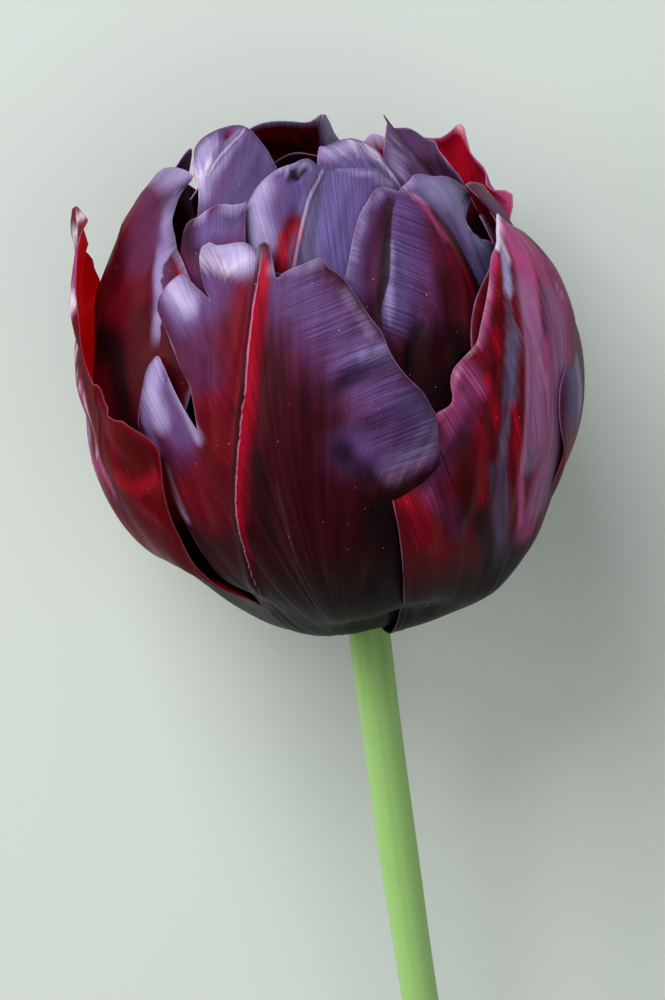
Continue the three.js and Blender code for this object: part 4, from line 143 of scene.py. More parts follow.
[0.988,0.9761,0.9641,0.9501,0.9414,0.9449,0.9479,0.9489,0.95],[0.9946,0.9836,0.9733,0.9611,0.9529,0.9539,0.9543,0.9533,0.9522],[0.9999,0.9921,0.9848,0.978,0.9722,0.967,0.9632,0.9611,0.9594],[1.0,1.0019,1.004,1.0197,
1.0348,1.0053,0.9783,0.9709,0.9649],[1.0,1.0116,1.0258,1.0731,1.12,1.0559,0.9955,0.9812,0.97]],"off":[[0.016,0.016,0.012,0.008,0.005,0.002,0.001,0.0,0.0],[0.152,0.108,0.077,0.065,0.049,0.028,0.011,0.003,0.0],[0.273,
0.158,0.137,0.132,0.109,0.06,0.024,0.007,0.0],[0.111,0.14,0.174,0.211,0.203,0.102,0.039,0.011,0.0],[0.06,0.144,0.22,0.326,0.351,0.141,0.048,0.013,0.0],[0.066,0.12,0.158,0.2,0.219,0.093,0.032,0.009,0.0],[0.067,0.089,
0.048,0.011,0.0,0.0,0.0,0.0,0.0]],"step":1.15,"rows":60,"ruf":0.05,"warp":[[[0.16,2.99,-0.5],6.98,[1.2,-35.9,63.7,-7.5,-34.4,53.8,7.5,-34.4,49.6,11.5,-37.9,45.3]],[[0.1,1.79,-0.3],5.16,[-17.1,-35.1,57.1]],[[0.05,0.9,
-0.15],7.59,[8.6,-37.2,34.8]],[[-0.47,1.81,1.45],9.11,[10.1,-23.6,12.8,16.7,-17.7,7.0]],[[-0.38,0.83,1.18],6.07,[14.7,-21.7,11.8]],[[0.36,0.56,-1.12],3.04,[8.5,-31.8,72.7]],[[0.06,1.05,-0.18],4.55,[-18.9,-33.5,54.5]],
[[-0.02,1.4,0.06],4.86,[-5.4,-38.3,40.4,3.8,-38.0,37.6,7.9,-37.0,34.3,11.8,-34.8,28.1,11.7,-32.9,23.5]],[[-0.31,0.48,0.94],5.16,[7.4,-23.9,11.3,7.8,-20.9,8.2]],[[-0.35,0.51,1.09],7.59,[3.3,-23.8,9.5,5.4,-19.7,6.2,11.1,
-16.0,5.2]],[[0.07,1.35,-0.23],2.28,[-1.5,-32.3,66.1,-15.2,-33.3,60.4]]],"paint":[["crimson",0,0.85,0.1,0.5,"v"],["crimson",1,0.95,0.1,0.4,"v"],["red",1,1,0.4,0.62,"v"],["thin",1,1,0.55,0.74,"v"],["thin",0,0.8,0.55,0.74,
"v"],["crimson",2,0.9,4.25,3.95,[20.6,-32.3,40.8,23.3,-30.3,37.2,25.6,-28.0,33.8]],["plum",0,0.7,1.21,1.52,[15.0,-34.6,46.7,16.1,-33.8,44.3,19.7,-32.8,43.1]],["dark",0,0.8,1.67,1.82,[24.3,-29.6,40.8,26.4,-27.2,39.8]],
["dark",0,0.3,1.37,1.97,[21.2,-31.7,40.9,21.7,-31.1,37.8]],["wine",0,0.6,1.82,2.43,[18.2,-33.3,41.8,19.8,-32.4,37.1,21.8,-30.8,31.5]],["red",0,0.4,1.21,1.67,[19.0,-33.2,42.3,20.0,-32.6,39.4]],["red",0,0.75,1.37,1.82,
[18.6,-33.0,34.4,22.2,-30.1,33.4,27.2,-26.7,35.9]],["red",0,0.3,1.67,2.43,[21.8,-30.4,30.2,24.1,-28.1,28.4]],["pink",0,0.85,0.91,0.91,[8.8,-31.3,71.8,12.3,-33.1,68.6,14.0,-34.7,59.8,-7.1,-37.3,44.5,5.2,-36.8,41.8,5.1,
-36.3,33.2,9.5,-34.6,29.2]],["white",0,0.85,0.91,0.91,[7.4,-31.2,71.8,-10.9,-34.3,63.9,14.7,-34.5,61.0,-3.0,-36.5,48.8]],["white",0,0.5,0.53,0.61,[-3.0,-36.5,48.8,5.2,-36.4,44.0,4.2,-36.3,34.1]],["lilac",0,0.55,1.21,
3.34,[-1.9,-37.1,44.6,1.4,-36.8,41.2,-1.5,-37.3,32.5,1.0,-36.3,27.6,3.2,-35.2,24.6]],["pink",0,0.6,2.12,3.64,[3.5,-37.0,44.4,-2.3,-37.3,34.3,1.7,-36.8,31.5]],["violet",0,0.5,0.91,2.43,[8.6,-34.7,28.6,15.0,-31.8,24.8]],
["dark",2,0.95,22,7,"z"],["relief",2,0.5,1.06,0.2,[14.5,-34.7,47.5,20.1,-32.5,44.8,24.9,-28.9,42.7,27.9,-26.4,41.0,27.3,-25.9,32.4]],["relief",2,-0.6,1.21,0.2,[16.4,-34.0,41.4,21.1,-32.1,37.5,24.1,-29.2,35.4,27.9,-26.1,
36.3]],["relief",2,0.4,1.21,0.2,[17.9,-33.4,33.6,22.8,-29.9,31.7,25.9,-26.2,27.4]]],"fine_u":[],"lines":[]},
{"name":"outer_petal_right_back","az":98,"h":-0.6,"tb":6.01,"fb":24,"kz":1.0,"gam":[[-1,0.8],[-0.7,1.0],[0,1.3],[1,0.8]],"margin":[[-1,-26.0,42.0],[-0.94,-34.0,56.0],[-0.88,-36.5,66.5],[-0.82,-40.7,74.6],[-0.76,-41.9,
80.5],[-0.7,-41.2,86.4],[-0.6,-38.0,90.1],[-0.5,-33.3,92.5],[-0.4,-34.0,99.0],[-0.28,-24.0,106.0],[-0.14,-12.0,115.0],[0,0.0,122.0],[0.14,10.0,119.0],[0.3,21.0,112.0],[0.5,32.0,103.0],[0.7,38.0,92.0],[0.86,39.0,78.0],[1,
30.0,48.0]],"tab":[[0.97,0.97,0.97,0.97,0.97,0.97,0.97,0.97,0.97],[1.0126,1.0071,1.0019,0.9975,0.991,0.974,0.9533,0.9366,0.9205],[1.0278,1.0272,1.0265,1.0239,1.0164,0.9972,0.9729,0.9528,0.9332],[1.03,1.0288,1.0269,
1.0228,1.014,0.9957,0.973,0.9532,0.9334],[1.03,1.0243,1.0175,1.0064,0.9922,0.9783,0.963,0.9467,0.93],[1.0262,1.0194,1.0119,0.992,0.969,0.9604,0.9515,0.9407,0.93],[1.02,1.0144,1.0072,0.9781,0.945,0.942,0.9393,0.9348,
0.93]],"off":[[0.231,0.2,0.165,0.119,0.072,0.032,-0.001,-0.029,-0.056],[0.628,0.451,0.286,0.159,0.08,0.026,-0.019,-0.074,-0.17],[0.683,0.44,0.277,0.169,0.094,0.038,-0.014,-0.076,-0.17],[0.373,0.328,0.268,0.216,0.161,
0.094,0.024,-0.038,-0.097],[0.13,0.31,0.372,0.401,0.358,0.239,0.1,0.015,-0.019],[0.262,0.515,0.665,0.827,0.775,0.509,0.185,0.045,0.0],[0.447,0.852,1.072,1.635,1.515,0.904,0.131,0.0,0.0]],"step":1.7,"rows":50,
"warp":[[[0.12,-2.22,-0.36],8.35,[3.8,35.5,53.0,11.9,36.6,47.4]],[[-0.04,-0.75,0.13],9.11,[12.5,37.7,31.7,9.7,34.9,23.8]],[[-0.39,-1.01,1.2],6.68,[8.8,30.3,17.5,9.4,25.2,10.9,8.8,19.6,5.9]]],"paint":[["crimson",2,0.8,
0.2,0.6,"v"],["plum",0,0.5,0.5,0.9,"v"],["plum",2,0.95,6.83,4.55,[16.5,36.5,37.8,16.0,35.7,30.0,13.4,33.6,23.6]],["violet",2,0.9,5.16,4.55,[15.6,36.4,38.8,15.2,36.1,32.2]],["lilac",2,0.4,2.43,3.04,[11.6,37.3,37.5,11.2,
37.1,31.4]],["wine",2,0.9,3.95,3.95,[17.3,34.3,25.9,16.6,30.2,19.4]],["dark",2,0.92,24,8,"z"]],"fine_u":[],"lines":[]},
{"name":"outer_petal_back","az":172,"h":-0.9,"tb":5.92,"fb":24,"kz":1.0,"gam":[[-1,0.8],[0,1.3],[1,0.8]],"margin":[[-1,-30.0,46.0],[-0.88,-38.0,72.0],[-0.72,-40.0,92.0],[-0.5,-32.0,109.0],[-0.3,-20.0,120.0],[-0.12,-7.0,
127.0],[0,0.0,132.0],[0.12,7.0,128.0],[0.3,20.0,120.0],[0.5,32.0,109.0],[0.72,40.0,92.0],[0.88,38.0,72.0],[1,30.0,46.0]],"tab":[[0.98,0.98,0.98,0.98,0.98,0.98,0.98,0.98,0.98],[0.9999,0.9936,0.9883,0.9865,0.9857,0.9865,
0.9883,0.9936,0.9999],[1.0121,1.0049,0.9984,0.9947,0.993,0.9947,0.9984,1.0049,1.0121],[1.0178,1.0098,1.003,0.9989,0.9969,0.9989,1.003,1.0098,1.0178],[1.02,1.0122,1.0055,1.0015,0.9995,1.0015,1.0055,1.0122,1.02],[1.02,
1.016,1.012,1.0111,1.0122,1.0111,1.012,1.016,1.02],[1.02,1.02,1.02,1.0241,1.03,1.0241,1.02,1.02,1.02]],"off":[[0.196,0.129,0.074,0.037,0.016,0.006,0.002,0.001,0.0],[0.52,0.245,0.117,0.078,0.093,0.123,0.127,0.12,0.155],
[0.511,0.254,0.142,0.147,0.238,0.339,0.329,0.248,0.251],[0.258,0.17,0.149,0.247,0.472,0.72,0.663,0.358,0.069],[0.016,0.077,0.14,0.319,0.683,1.276,1.158,0.478,0.0],[0.0,0.035,0.092,0.231,0.496,0.884,0.781,0.342,0.0],[0.0,
0.0,0.0,0.0,0.005,0.165,0.12,0.04,0.0]],"step":1.7,"rows":50,"warp":[],"paint":[["crimson",2,0.8,0.1,0.5,"v"],["plum",0,0.75,0.55,0.95,"v"],["violet",0,0.55,0.75,1.05,"v"],["crimson",1,0.9,0.2,0.5,"v"],["red",1,0.8,0.4,
0.7,"v"],["pink",2,0.4,1.2,0,"edge"],["dark",2,0.92,26,6,"z"]],"fine_u":[],"lines":[]},
{"name":"outer_petal_left_back","az":-136,"h":0.0,"tb":6.2,"fb":24,"kz":1.0,"gam":[[-1,0.8],[0,1.3],[1,0.8]],"margin":[[-1,-30.0,46.0],[-0.88,-38.0,72.0],[-0.72,-40.0,92.0],[-0.5,-32.0,111.0],[-0.3,-20.0,124.0],[-0.12,
-8.0,133.0],[0,0.0,138.0],[0.12,8.0,134.0],[0.3,21.0,125.0],[0.5,32.0,112.0],[0.72,39.0,94.0],[0.88,37.0,72.0],[1,29.0,46.0]],"tab":[[0.95,0.95,0.95,0.95,0.95,0.95,0.95,0.95,0.95],[0.9299,0.9414,0.952,0.9593,0.9631,
0.9595,0.9525,0.942,0.9305],[0.9421,0.9562,0.9688,0.9762,0.9798,0.9766,0.9698,0.9573,0.9432],[0.9473,0.963,0.9773,0.9866,0.9912,0.9859,0.9755,0.9608,0.945],[0.9497,0.9664,0.982,0.9932,0.999,0.9911,0.9773,0.9614,0.945],
[0.9525,0.9715,0.9893,1.0025,1.0095,0.9966,0.9769,0.961,0.945],[0.955,0.9767,0.9969,1.012,1.02,1.0016,0.9763,0.9601,0.945]],"off":[[0.0,-0.007,-0.017,-0.031,-0.049,-0.068,-0.083,-0.092,-0.095],[-0.001,-0.056,-0.09,
-0.112,-0.175,-0.307,-0.373,-0.272,-0.095],[-0.0,-0.142,-0.197,-0.197,-0.248,-0.368,-0.428,-0.374,-0.167],[-0.0,-0.374,-0.455,-0.343,-0.325,-0.457,-0.525,-0.535,-0.557],[-0.131,-0.97,-1.032,-0.555,-0.34,-0.403,-0.497,
-0.56,-0.652],[-1.053,-1.93,-1.752,-0.639,-0.162,-0.004,-0.224,-0.529,-0.67],[-1.471,-2.669,-2.188,-0.17,0.259,0.758,0.557,-0.094,-0.638]],"step":1.7,"rows":50,"warp":[[[0.14,2.54,-0.43],10.62,[-11.8,-28.8,59.9,-7.7,
-35.2,50.5,-4.5,-37.2,40.5,-4.7,-33.6,30.4]],[[-0.75,1.97,2.31],8.35,[-4.8,-22.5,11.9,-4.0,-17.3,7.4]]],"paint":[["crimson",2,0.8,0.1,0.5,"v"],["plum",0,0.75,0.55,0.95,"v"],["violet",0,0.55,0.75,1.05,"v"],["crimson",1,
0.9,0.2,0.5,"v"],["red",1,0.8,0.4,0.7,"v"],["pink",2,0.4,1.2,0,"edge"],["dark",2,0.92,26,6,"z"]],"fine_u":[],"lines":[]},
{"name":"mid_petal_left","az":-82,"h":1.25,"tb":6.94,"fb":20,"kz":1.04,"gam":[[-1,0.8],[0,1.6],[0.16,2.6],[0.4,2.4],[0.7,1.4],[1,0.8]],"margin":[[-1,-28.0,46.0],[-0.94,-36.0,68.0],[-0.88,-40.0,88.0],[-0.76,-39.0,104.0],
[-0.6,-31.0,118.0],[-0.42,-22.0,131.0],[-0.28,0.9,141.1],[-0.18,0.8,145.2],[-0.1,1.9,147.8],[-0.03,3.2,150.0],[0.03,6.2,152.0],[0.09,9.9,153.7],[0.14,12.6,154.8],[0.18,14.2,155.1],[0.22,14.0,154.5],[0.27,13.0,153.0],
[0.32,12.9,151.1],[0.37,13.2,149.3],[0.42,13.9,147.8],[0.48,16.2,145.8],[0.53,18.7,144.2],[0.58,21.4,142.9],[0.62,24.2,142.5],[0.67,28.8,141.2],[0.73,35.3,139.1],[0.8,43.0,132.9],[0.88,40.0,88.0],[0.94,36.0,68.0],[1,
28.0,46.0]],"tab":[[0.82,0.82,0.82,0.82,0.82,0.82,0.82,0.82,0.82],[0.8281,0.8413,0.8526,0.8558,0.8572,0.8544,0.849,0.8383,0.8252],[0.8627,0.8796,0.8947,0.9017,0.9049,0.8982,0.8863,0.872,0.8557],[0.8757,0.9035,0.9255,
0.9359,0.9405,0.9311,0.9116,0.8845,0.8582],[0.88,0.9154,0.945,0.9578,0.9632,0.9502,0.9244,0.8886,0.8509],[0.8725,0.9168,0.9569,0.9704,0.9758,0.9549,0.9197,0.8802,0.8371],[0.86,0.9175,0.9658,0.9798,0.985,0.9575,0.9117,
0.8663,0.82]],"off":[[0.001,0.001,0.0,0.0,0.0,0.0,0.0,0.0,0.0],[0.122,0.033,-0.022,-0.031,-0.02,-0.01,-0.005,-0.002,0.0],[0.101,-0.008,-0.092,-0.099,-0.059,-0.027,-0.012,-0.005,0.0],[0.005,-0.096,-0.251,-0.239,-0.12,
-0.048,-0.013,-0.003,0.0],[0.0,-0.146,-0.385,-0.377,-0.151,-0.035,0.033,0.04,0.0],[0.0,-0.118,-0.288,-0.278,-0.058,0.076,0.279,0.347,0.256],[0.0,-0.047,-0.269,-0.282,0.165,0.239,1.077,1.387,0.482]],"step":1.2,"rows":58,
"ruf":0.1,"warp":[[[0.15,2.84,-0.48],11.38,[-1.6,-28.5,61.9,3.9,-31.1,57.3,0.5,-35.7,49.7]],[[-1.01,2.43,3.11],7.59,[18.7,-22.2,17.5,17.2,-18.9,12.5]],[[-1.24,1.84,1.36],9.41,[8.7,-33.6,27.8,9.6,-29.0,20.0,9.5,-23.3,
13.2,9.7,-18.0,8.4]]],"paint":[["crimson",2,0.6,0.2,0.6,"v"],["crimson",2,0.75,2.58,3.64,[15.6,-24.9,60.1,18.8,-25.1,55.8,19.4,-25.6,51.8]],["dark",2,0.5,3.34,3.95,[17.5,-25.5,56.8,19.2,-27.1,48.5]],["dark",2,0.94,3.34,
3.95,[-13.3,-31.6,51.3,13.9,-30.5,52.4,16.3,-29.7,45.2,18.9,-29.0,39.7]],["dark",2,0.5,1.82,2.43,[16.8,-26.9,54.1,-18.6,-29.7,39.5,21.8,-25.7,46.1]],["dark",2,0.45,1.82,2.73,[9.9,-28.2,61.7,9.7,-26.2,65.9]],["plum",2,
0.85,3.04,3.95,[3.7,-20.5,74.3,11.0,-20.8,70.1,12.8,-24.2,65.7]],["violet",2,0.85,1.82,2.12,[3.7,-20.7,74.5,5.9,-17.7,76.3,11.4,-14.7,75.4]],["violet",2,0.6,1.52,2.73,[10.7,-15.7,73.6,12.2,-18.2,70.5,14.8,-20.0,66.8,
17.1,-20.8,62.9,19.1,-22.3,58.3]],["lilac",2,0.75,1.37,1.82,[4.2,-20.1,74.8,5.9,-17.7,76.3,10.5,-14.5,75.9]],["lilac",2,0.7,1.06,1.37,[3.7,-20.7,74.5,5.5,-18.8,75.5]],["wine",2,0.9,1.06,1.21,[16.0,-18.3,66.1,19.2,-18.6,
62.3,21.1,-20.0,58.2]],["dark",2,0.5,0.61,0.76,[11.9,-17.9,70.4,14.5,-18.0,67.7,16.9,-19.4,64.6,18.6,-20.3,61.5]],["dark",2,0.6,1.52,2.12,[21.3,-20.8,56.6,23.8,-20.9,51.9,24.3,-22.2,47.7]],["lilac",2,0.4,0.6,0.15,
"edge"],["dark",2,0.8,36,14,"z"],["relief",2,0.7,1.06,0.2,[11.2,-17.4,71.4,13.9,-20.4,67.4,17.1,-21.3,63.0,19.0,-22.7,58.5]],["relief",2,-0.4,0.91,0.2,[13.0,-18.2,69.2,16.7,-18.4,65.6,19.1,-20.0,61.1]],["relief",2,-0.45,
1.37,0.2,[10.4,-20.8,71.2,13.3,-22.2,66.4,16.0,-24.7,59.6,19.8,-25.0,53.0]],["relief",2,0.45,1.37,0.2,[1.4,-23.9,70.2,11.5,-25.8,64.8,14.9,-27.9,56.8,17.5,-28.3,49.9]]],"fine_u":[],"lines":[["band",1,[10.98,-14.87,75.98,
10.84,-15.97,73.13,12.3,-17.71,70.16,15.25,-18.45,66.89,16.61,-21.05,63.37,19.26,-21.71,59.89,20.42,-22.75,55.84,21.29,-23.25,53.13]]]},
{"name":"mid_petal_front","az":32,"h":1.3,"tb":6.93,"fb":20,"kz":1.13,"gam":[[-1,0.8],[0,1.3],[1,0.8]],"margin":[[-1,-28.0,46.0],[-0.94,-36.0,68.0],[-0.88,-40.0,88.0],[-0.8,-36.0,104.0],[-0.72,-28.0,116.0],[-0.64,-17.8,
125.0],[-0.56,-13.6,129.9],[-0.5,-10.3,133.4],[-0.44,-7.4,135.8],[-0.37,-4.1,137.6],[-0.28,-1.1,139.1],[-0.2,0.8,138.9],[-0.12,2.5,137.4],[-0.05,3.9,136.1],[0,6.2,135.9],[0.06,7.6,134.8],[0.13,9.2,132.4],[0.2,10.6,
129.2],[0.27,12.4,126.2],[0.34,13.5,122.7],[0.41,14.3,119.2],[0.48,15.2,116.5],[0.56,16.1,111.3],[0.62,16.1,107.7],[0.7,26.0,103.0],[0.8,32.0,94.0],[0.88,35.0,82.0],[0.94,34.0,66.0],[1,28.0,46.0]],"tab":[[0.82,0.82,0.82,
0.82,0.82,0.82,0.82,0.82,0.82],[0.8156,0.8302,0.8423,0.8457,0.847,0.8457,0.8423,0.8299,0.8151],[0.8351,0.8542,0.8708,0.8779,0.881,0.8779,0.8708,0.8538,0.8343],[0.8455,0.8668,0.8858,0.896,0.9008,0.896,0.8859,0.8679,
0.8467],[0.85,0.8722,0.8923,0.9042,0.9099,0.9041,0.8924,0.8745,0.8543],[0.85,0.8705,0.8889,0.8994,0.9044,0.8992,0.8891,0.8746,0.8602],[0.85,0.8675,0.8831,0.8913,0.895,0.8909,0.8835,0.8745,0.865]],"off":[[0.0,-0.006,
-0.015,-0.03,-0.054,-0.084,-0.119,-0.156,-0.213],[0.106,0.019,-0.017,-0.051,-0.095,-0.131,-0.155,-0.154,-0.068],[0.025,-0.001,-0.035,-0.088,-0.157,-0.204,-0.215,-0.185,-0.085],[0.0,-0.015,-0.051,-0.124,-0.242,-0.286,
-0.256,-0.219,-0.213],[0.0,-0.011,-0.033,-0.105,-0.369,-0.403,-0.252,-0.21,-0.247],[0.0,0.008,0.049,0.122,0.009,-0.161,-0.128,-0.132,-0.174],[0.0,0.0,0.119,0.562,1.01,0.483,0.045,-0.021,-0.111]],"cross":[0.2637,-0.516,
-0.8116],"step":0.92,"rows":72,"warp":[],"paint":[["plum",2,0.9,6.07,7.59,[22.9,14.2,66.6,26.4,14.6,61.1,29.2,12.6,56.8]],["violet",2,0.75,3.04,4.55,[21.7,11.7,69.4,25.8,9.2,64.9,28.7,7.1,60.1]],["violet",2,0.8,3.04,
4.55,[21.7,14.7,68.1,25.6,14.1,62.8,30.1,11.9,55.1]],["blue",2,0.4,1.37,2.12,[25.4,12.9,64.2,28.3,12.4,59.0,30.5,11.0,54.5]],["wine",2,0.7,1.82,3.04,[24.1,20.6,59.2,25.5,21.7,53.6,27.3,21.5,48.1]],["dark",2,0.42,2.43,
3.04,[26.1,19.8,57.1,26.8,20.8,52.6,28.2,20.5,47.8]],["wine",2,0.4,1.82,2.73,[22.7,19.1,62.9,26.8,19.4,54.9]],["red",2,0.35,0.38,0.61,[20.0,18.1,67.1,21.9,20.5,62.5,22.7,22.2,57.6,24.0,23.2,53.6]],["pink",2,0.6,0.61,
0.91,[19.1,16.8,69.4,21.0,19.0,65.9,22.0,20.4,62.3]],["dark",2,0.85,2.43,3.64,[28.4,20.1,49.3,29.7,18.8,45.1,31.3,15.6,42.5]],["dark",2,0.6,1.82,3.04,[30.6,14.9,50.2,31.8,14.5,42.8]],["dark",2,0.9,0.83,0.91,[30.1,14.6,
52.4,31.5,12.5,49.4,32.5,11.3,45.1]],["wine",2,0.45,1.37,1.82,[22.9,12.2,67.4,26.4,10.1,63.4,29.9,8.5,57.2]],["lilac",2,0.4,0.53,0.76,[25.9,12.2,63.5,28.6,11.0,59.3,30.8,10.3,54.4]],["lilac",2,0.4,0.46,0.76,[19.8,12.9,
70.6,22.2,9.9,69.1,25.6,7.5,65.5,28.2,5.6,61.4]],["lilac",2,0.5,0.46,0.76,[19.5,13.2,70.7,19.6,15.8,70.3,19.2,19.0,66.8]],["dark",2,0.85,38,16,"z"],["relief",2,-1.1,1.21,0.15,[20.6,13.5,69.5,24.3,11.4,65.9,27.5,9.6,62.0,
29.9,8.5,57.2,31.3,7.9,53.6]],["relief",2,0.5,0.91,0.2,[21.7,14.4,68.2,25.5,12.5,63.8,29.3,11.4,57.4,31.2,10.6,52.7]],["relief",2,0.5,0.91,0.2,[23.3,10.2,67.6,26.5,8.1,63.8,29.0,6.7,59.5]],["relief",2,-0.8,1.06,0.2,
[28.7,15.5,55.4,31.2,12.8,50.0,32.5,11.1,44.7]],["relief",2,0.6,1.06,0.2,[24.1,18.2,62.0,28.4,17.0,54.5,31.3,14.1,47.6]],["relief",2,-0.5,0.91,0.2,[25.2,19.8,58.4,28.2,19.1,51.8,30.8,16.4,45.5]],["relief",2,0.5,0.76,0.2,
[21.8,20.5,62.7,24.9,21.9,54.9,28.4,20.4,47.1]],["cross",2,1,3.34,3.34,[22.6,15.6,66.9,26.4,14.9,61.1,30.5,12.3,53.7]],["cross",2,1,1.21,1.52,[25.6,8.1,65.1,28.8,6.5,60.2]],["stri",2,0.9,3.34,3.95,[22.6,15.6,66.9,26.4,
14.9,61.1,31.0,11.4,52.4]]],"fine_u":[],"lines":[["groove",1,[20.55,14.4,69.57,21.83,13.65,68.22,23.83,12.72,66.03,26.34,11.92,63.07,28.56,11.01,59.34,30.2,9.34,56.14,31.18,8.91,53.72,31.67,8.31,52.02]]]},
{"name":"mid_petal_right","az":50,"h":2.05,"tb":7.19,"fb":20,"kz":1.28,"gam":[[-1,0.8],[0,1.3],[1,0.8]],"margin":[[-1,-28.0,46.0],[-0.94,-36.0,68.0],[-0.88,-40.0,88.0],[-0.8,-38.0,102.0],[-0.7,-33.0,114.0],[-0.6,-19.9,
122.1],[-0.5,-12.1,129.8],[-0.4,-6.7,132.3],[-0.32,-2.7,132.6],[-0.26,-0.3,133.1],[-0.2,1.1,132.7],[-0.13,3.2,131.6],[-0.06,6.0,130.2],[0,10.5,129.5],[0.07,14.2,128.4],[0.13,16.7,127.1],[0.19,18.6,125.5],[0.24,18.8,
124.1],[0.31,14.5,121.7],[0.36,9.8,119.8],[0.41,7.2,118.2],[0.46,6.6,116.4],[0.51,8.8,114.4],[0.56,13.1,112.7],[0.6,16.2,111.5],[0.66,17.0,119.0],[0.73,27.0,112.0],[0.8,36.0,101.0],[0.88,40.0,88.0],[0.94,36.0,68.0],[1,
28.0,46.0]],"tab":[[0.76,0.76,0.76,0.76,0.76,0.76,0.76,0.76,0.76],[0.7561,0.7684,0.7788,0.7823,0.7839,0.7822,0.7789,0.7703,0.7603],[0.776,0.79,0.8026,0.8099,0.8135,0.8097,0.8029,0.7943,0.7852],[0.7824,0.7991,0.8137,
0.8218,0.8256,0.8213,0.8133,0.8032,0.7924],[0.7847,0.8025,0.818,0.8262,0.83,0.8258,0.8179,0.8068,0.7947],[0.7875,0.8011,0.8143,0.8243,0.83,0.8273,0.8213,0.81,0.7975],[0.79,0.7988,0.808,0.821,0.83,0.8282,0.8239,0.8128,
0.8]],"off":[[0.001,0.001,-0.022,-0.056,-0.093,-0.126,-0.1,-0.05,0.0],[0.216,0.084,-0.022,-0.073,-0.105,-0.148,-0.193,-0.176,-0.005],[0.155,0.052,-0.02,-0.06,-0.083,-0.099,-0.107,-0.085,-0.0],[0.0,0.003,-0.032,-0.068,
-0.083,-0.076,-0.058,-0.036,0.0],[0.0,0.0,-0.043,-0.12,-0.152,-0.115,-0.051,-0.02,0.0],[0.0,0.064,0.006,-0.218,-0.335,-0.241,-0.056,-0.014,0.0],[0.0,0.341,0.296,-0.394,-0.757,-0.504,0.05,0.005,0.0]],"step":1.5,"rows":44,
"warp":[],"paint":[["plum",2,0.8,44,60,"z"],["violet",2,0.9,3.95,5.16,[15.4,19.6,68.7,15.4,22.8,64.5,15.7,25.4,58.9,18.0,25.6,54.0]],["slate",2,0.45,3.95,5.16,[15.4,19.6,68.7,15.4,22.8,64.5,15.7,25.4,58.9,18.0,25.6,
54.0]],["blue",2,0.85,2.73,3.64,[15.4,19.6,68.7,13.8,23.0,65.0,15.3,25.4,60.0,17.7,25.6,55.4]],["lilac",2,0.45,2.12,3.04,[15.5,19.9,68.6,13.8,23.3,64.9,15.3,25.4,60.0]],["lilac",2,0.7,0.76,1.21,[17.2,16.0,70.1,16.1,16.9,
70.4]],["lilac",2,0.3,0.61,1.06,[15.6,18.1,70.5,10.7,22.9,67.9,10.0,26.5,61.9]],["dark",2,0.85,40,18,"z"],["relief",2,0.5,0.91,0.2,[15.2,19.8,68.5,15.3,23.3,64.1,17.8,24.8,57.7]],["relief",2,-0.5,0.76,0.2,[10.5,22.6,
68.5,12.8,24.6,63.6,14.4,26.6,58.1]]],"fine_u":[],"lines":[]},
{"name":"mid_petal_far_right","az":76,"h":1.25,"tb":6.94,"fb":20,"kz":1.14,"gam":[[-1,0.8],[0,1.3],[1,0.8]],"margin":[[-1,-28.0,46.0],[-0.94,-36.0,68.0],[-0.88,-40.0,88.0],[-0.8,-39.0,100.0],[-0.7,-32.0,110.0],[-0.58,
-6.8,117.7],[-0.46,-4.7,121.6],[-0.34,-5.4,125.3],[-0.2,-6.0,129.0],[-0.1,-3.4,128.5],[0,3.6,125.9],[0.1,14.8,123.2],[0.2,14.4,119.8],[0.3,13.9,116.4],[0.4,13.3,111.9],[0.5,17.0,116.0],[0.65,32.0,106.0],[0.78,38.0,98.0],
[0.88,40.0,88.0],[0.94,36.0,68.0],[1,28.0,46.0]],"tab":[[0.82,0.82,0.82,0.82,0.82,0.82,0.82,0.82,0.82],[0.8329,0.8455,0.8558,0.8574,0.8579,0.8574,0.8557,0.8452,0.8322],[0.873,0.8878,0.9002,0.9036,0.9048,0.9036,0.9001,
0.8873,0.872],[0.8825,0.8996,0.9141,0.9206,0.9235,0.9206,0.9135,0.9,0.8848],[0.8847,0.9025,0.918,0.9262,0.9299,0.9261,0.9178,0.9043,0.8894],[0.8875,0.9002,0.9125,0.9222,0.9281,0.9257,0.9215,0.9092,0.8949],[0.89,0.8964,
0.9033,0.9156,0.925,0.925,0.9245,0.9137,0.9]],"off":[[0.462,0.471,0.444,0.314,0.209,0.157,0.162,0.21,0.281],[1.029,0.775,0.514,0.273,0.15,0.142,0.228,0.376,0.58],[1.015,0.721,0.441,0.185,0.064,0.091,0.249,0.476,0.752],
[0.763,0.568,0.271,-0.014,-0.158,-0.117,0.098,0.397,0.663],[0.737,0.535,0.074,-0.384,-0.637,-0.61,-0.304,0.215,0.675],[1.123,0.728,-0.111,-0.966,-1.423,-1.48,-1.036,-0.023,0.635],[1.46,1.073,-0.044,-1.0,-1.684,-2.788,
-2.34,0.053,0.559]],"step":1.7,"rows":38,"warp":[],"paint":[["crimson",2,0.6,0.3,0.7,"v"],["dark",1,0.6,0.2,0.6,"v"],["violet",0,0.7,1.21,1.82,[9.9,26.8,66.1,7.3,29.6,61.4,8.1,30.9,58.5]],["plum",2,0.6,1.52,2.12,[6.5,
26.9,66.1,7.7,29.6,61.2,7.7,31.8,56.4]],["dark",2,0.7,44,20,"z"]],"fine_u":[],"lines":[]},
{"name":"mid_petal_back_right","az":132,"h":1.35,"tb":6.92,"fb":20,"kz":1.1,"gam":[[-1,0.8],[0,1.3],[1,0.8]],"margin":[[-1,-28.0,46.0],[-0.94,-36.0,68.0],[-0.88,-40.0,88.0],[-0.74,-38.0,102.0],[-0.56,-29.0,113.0],[-0.36,
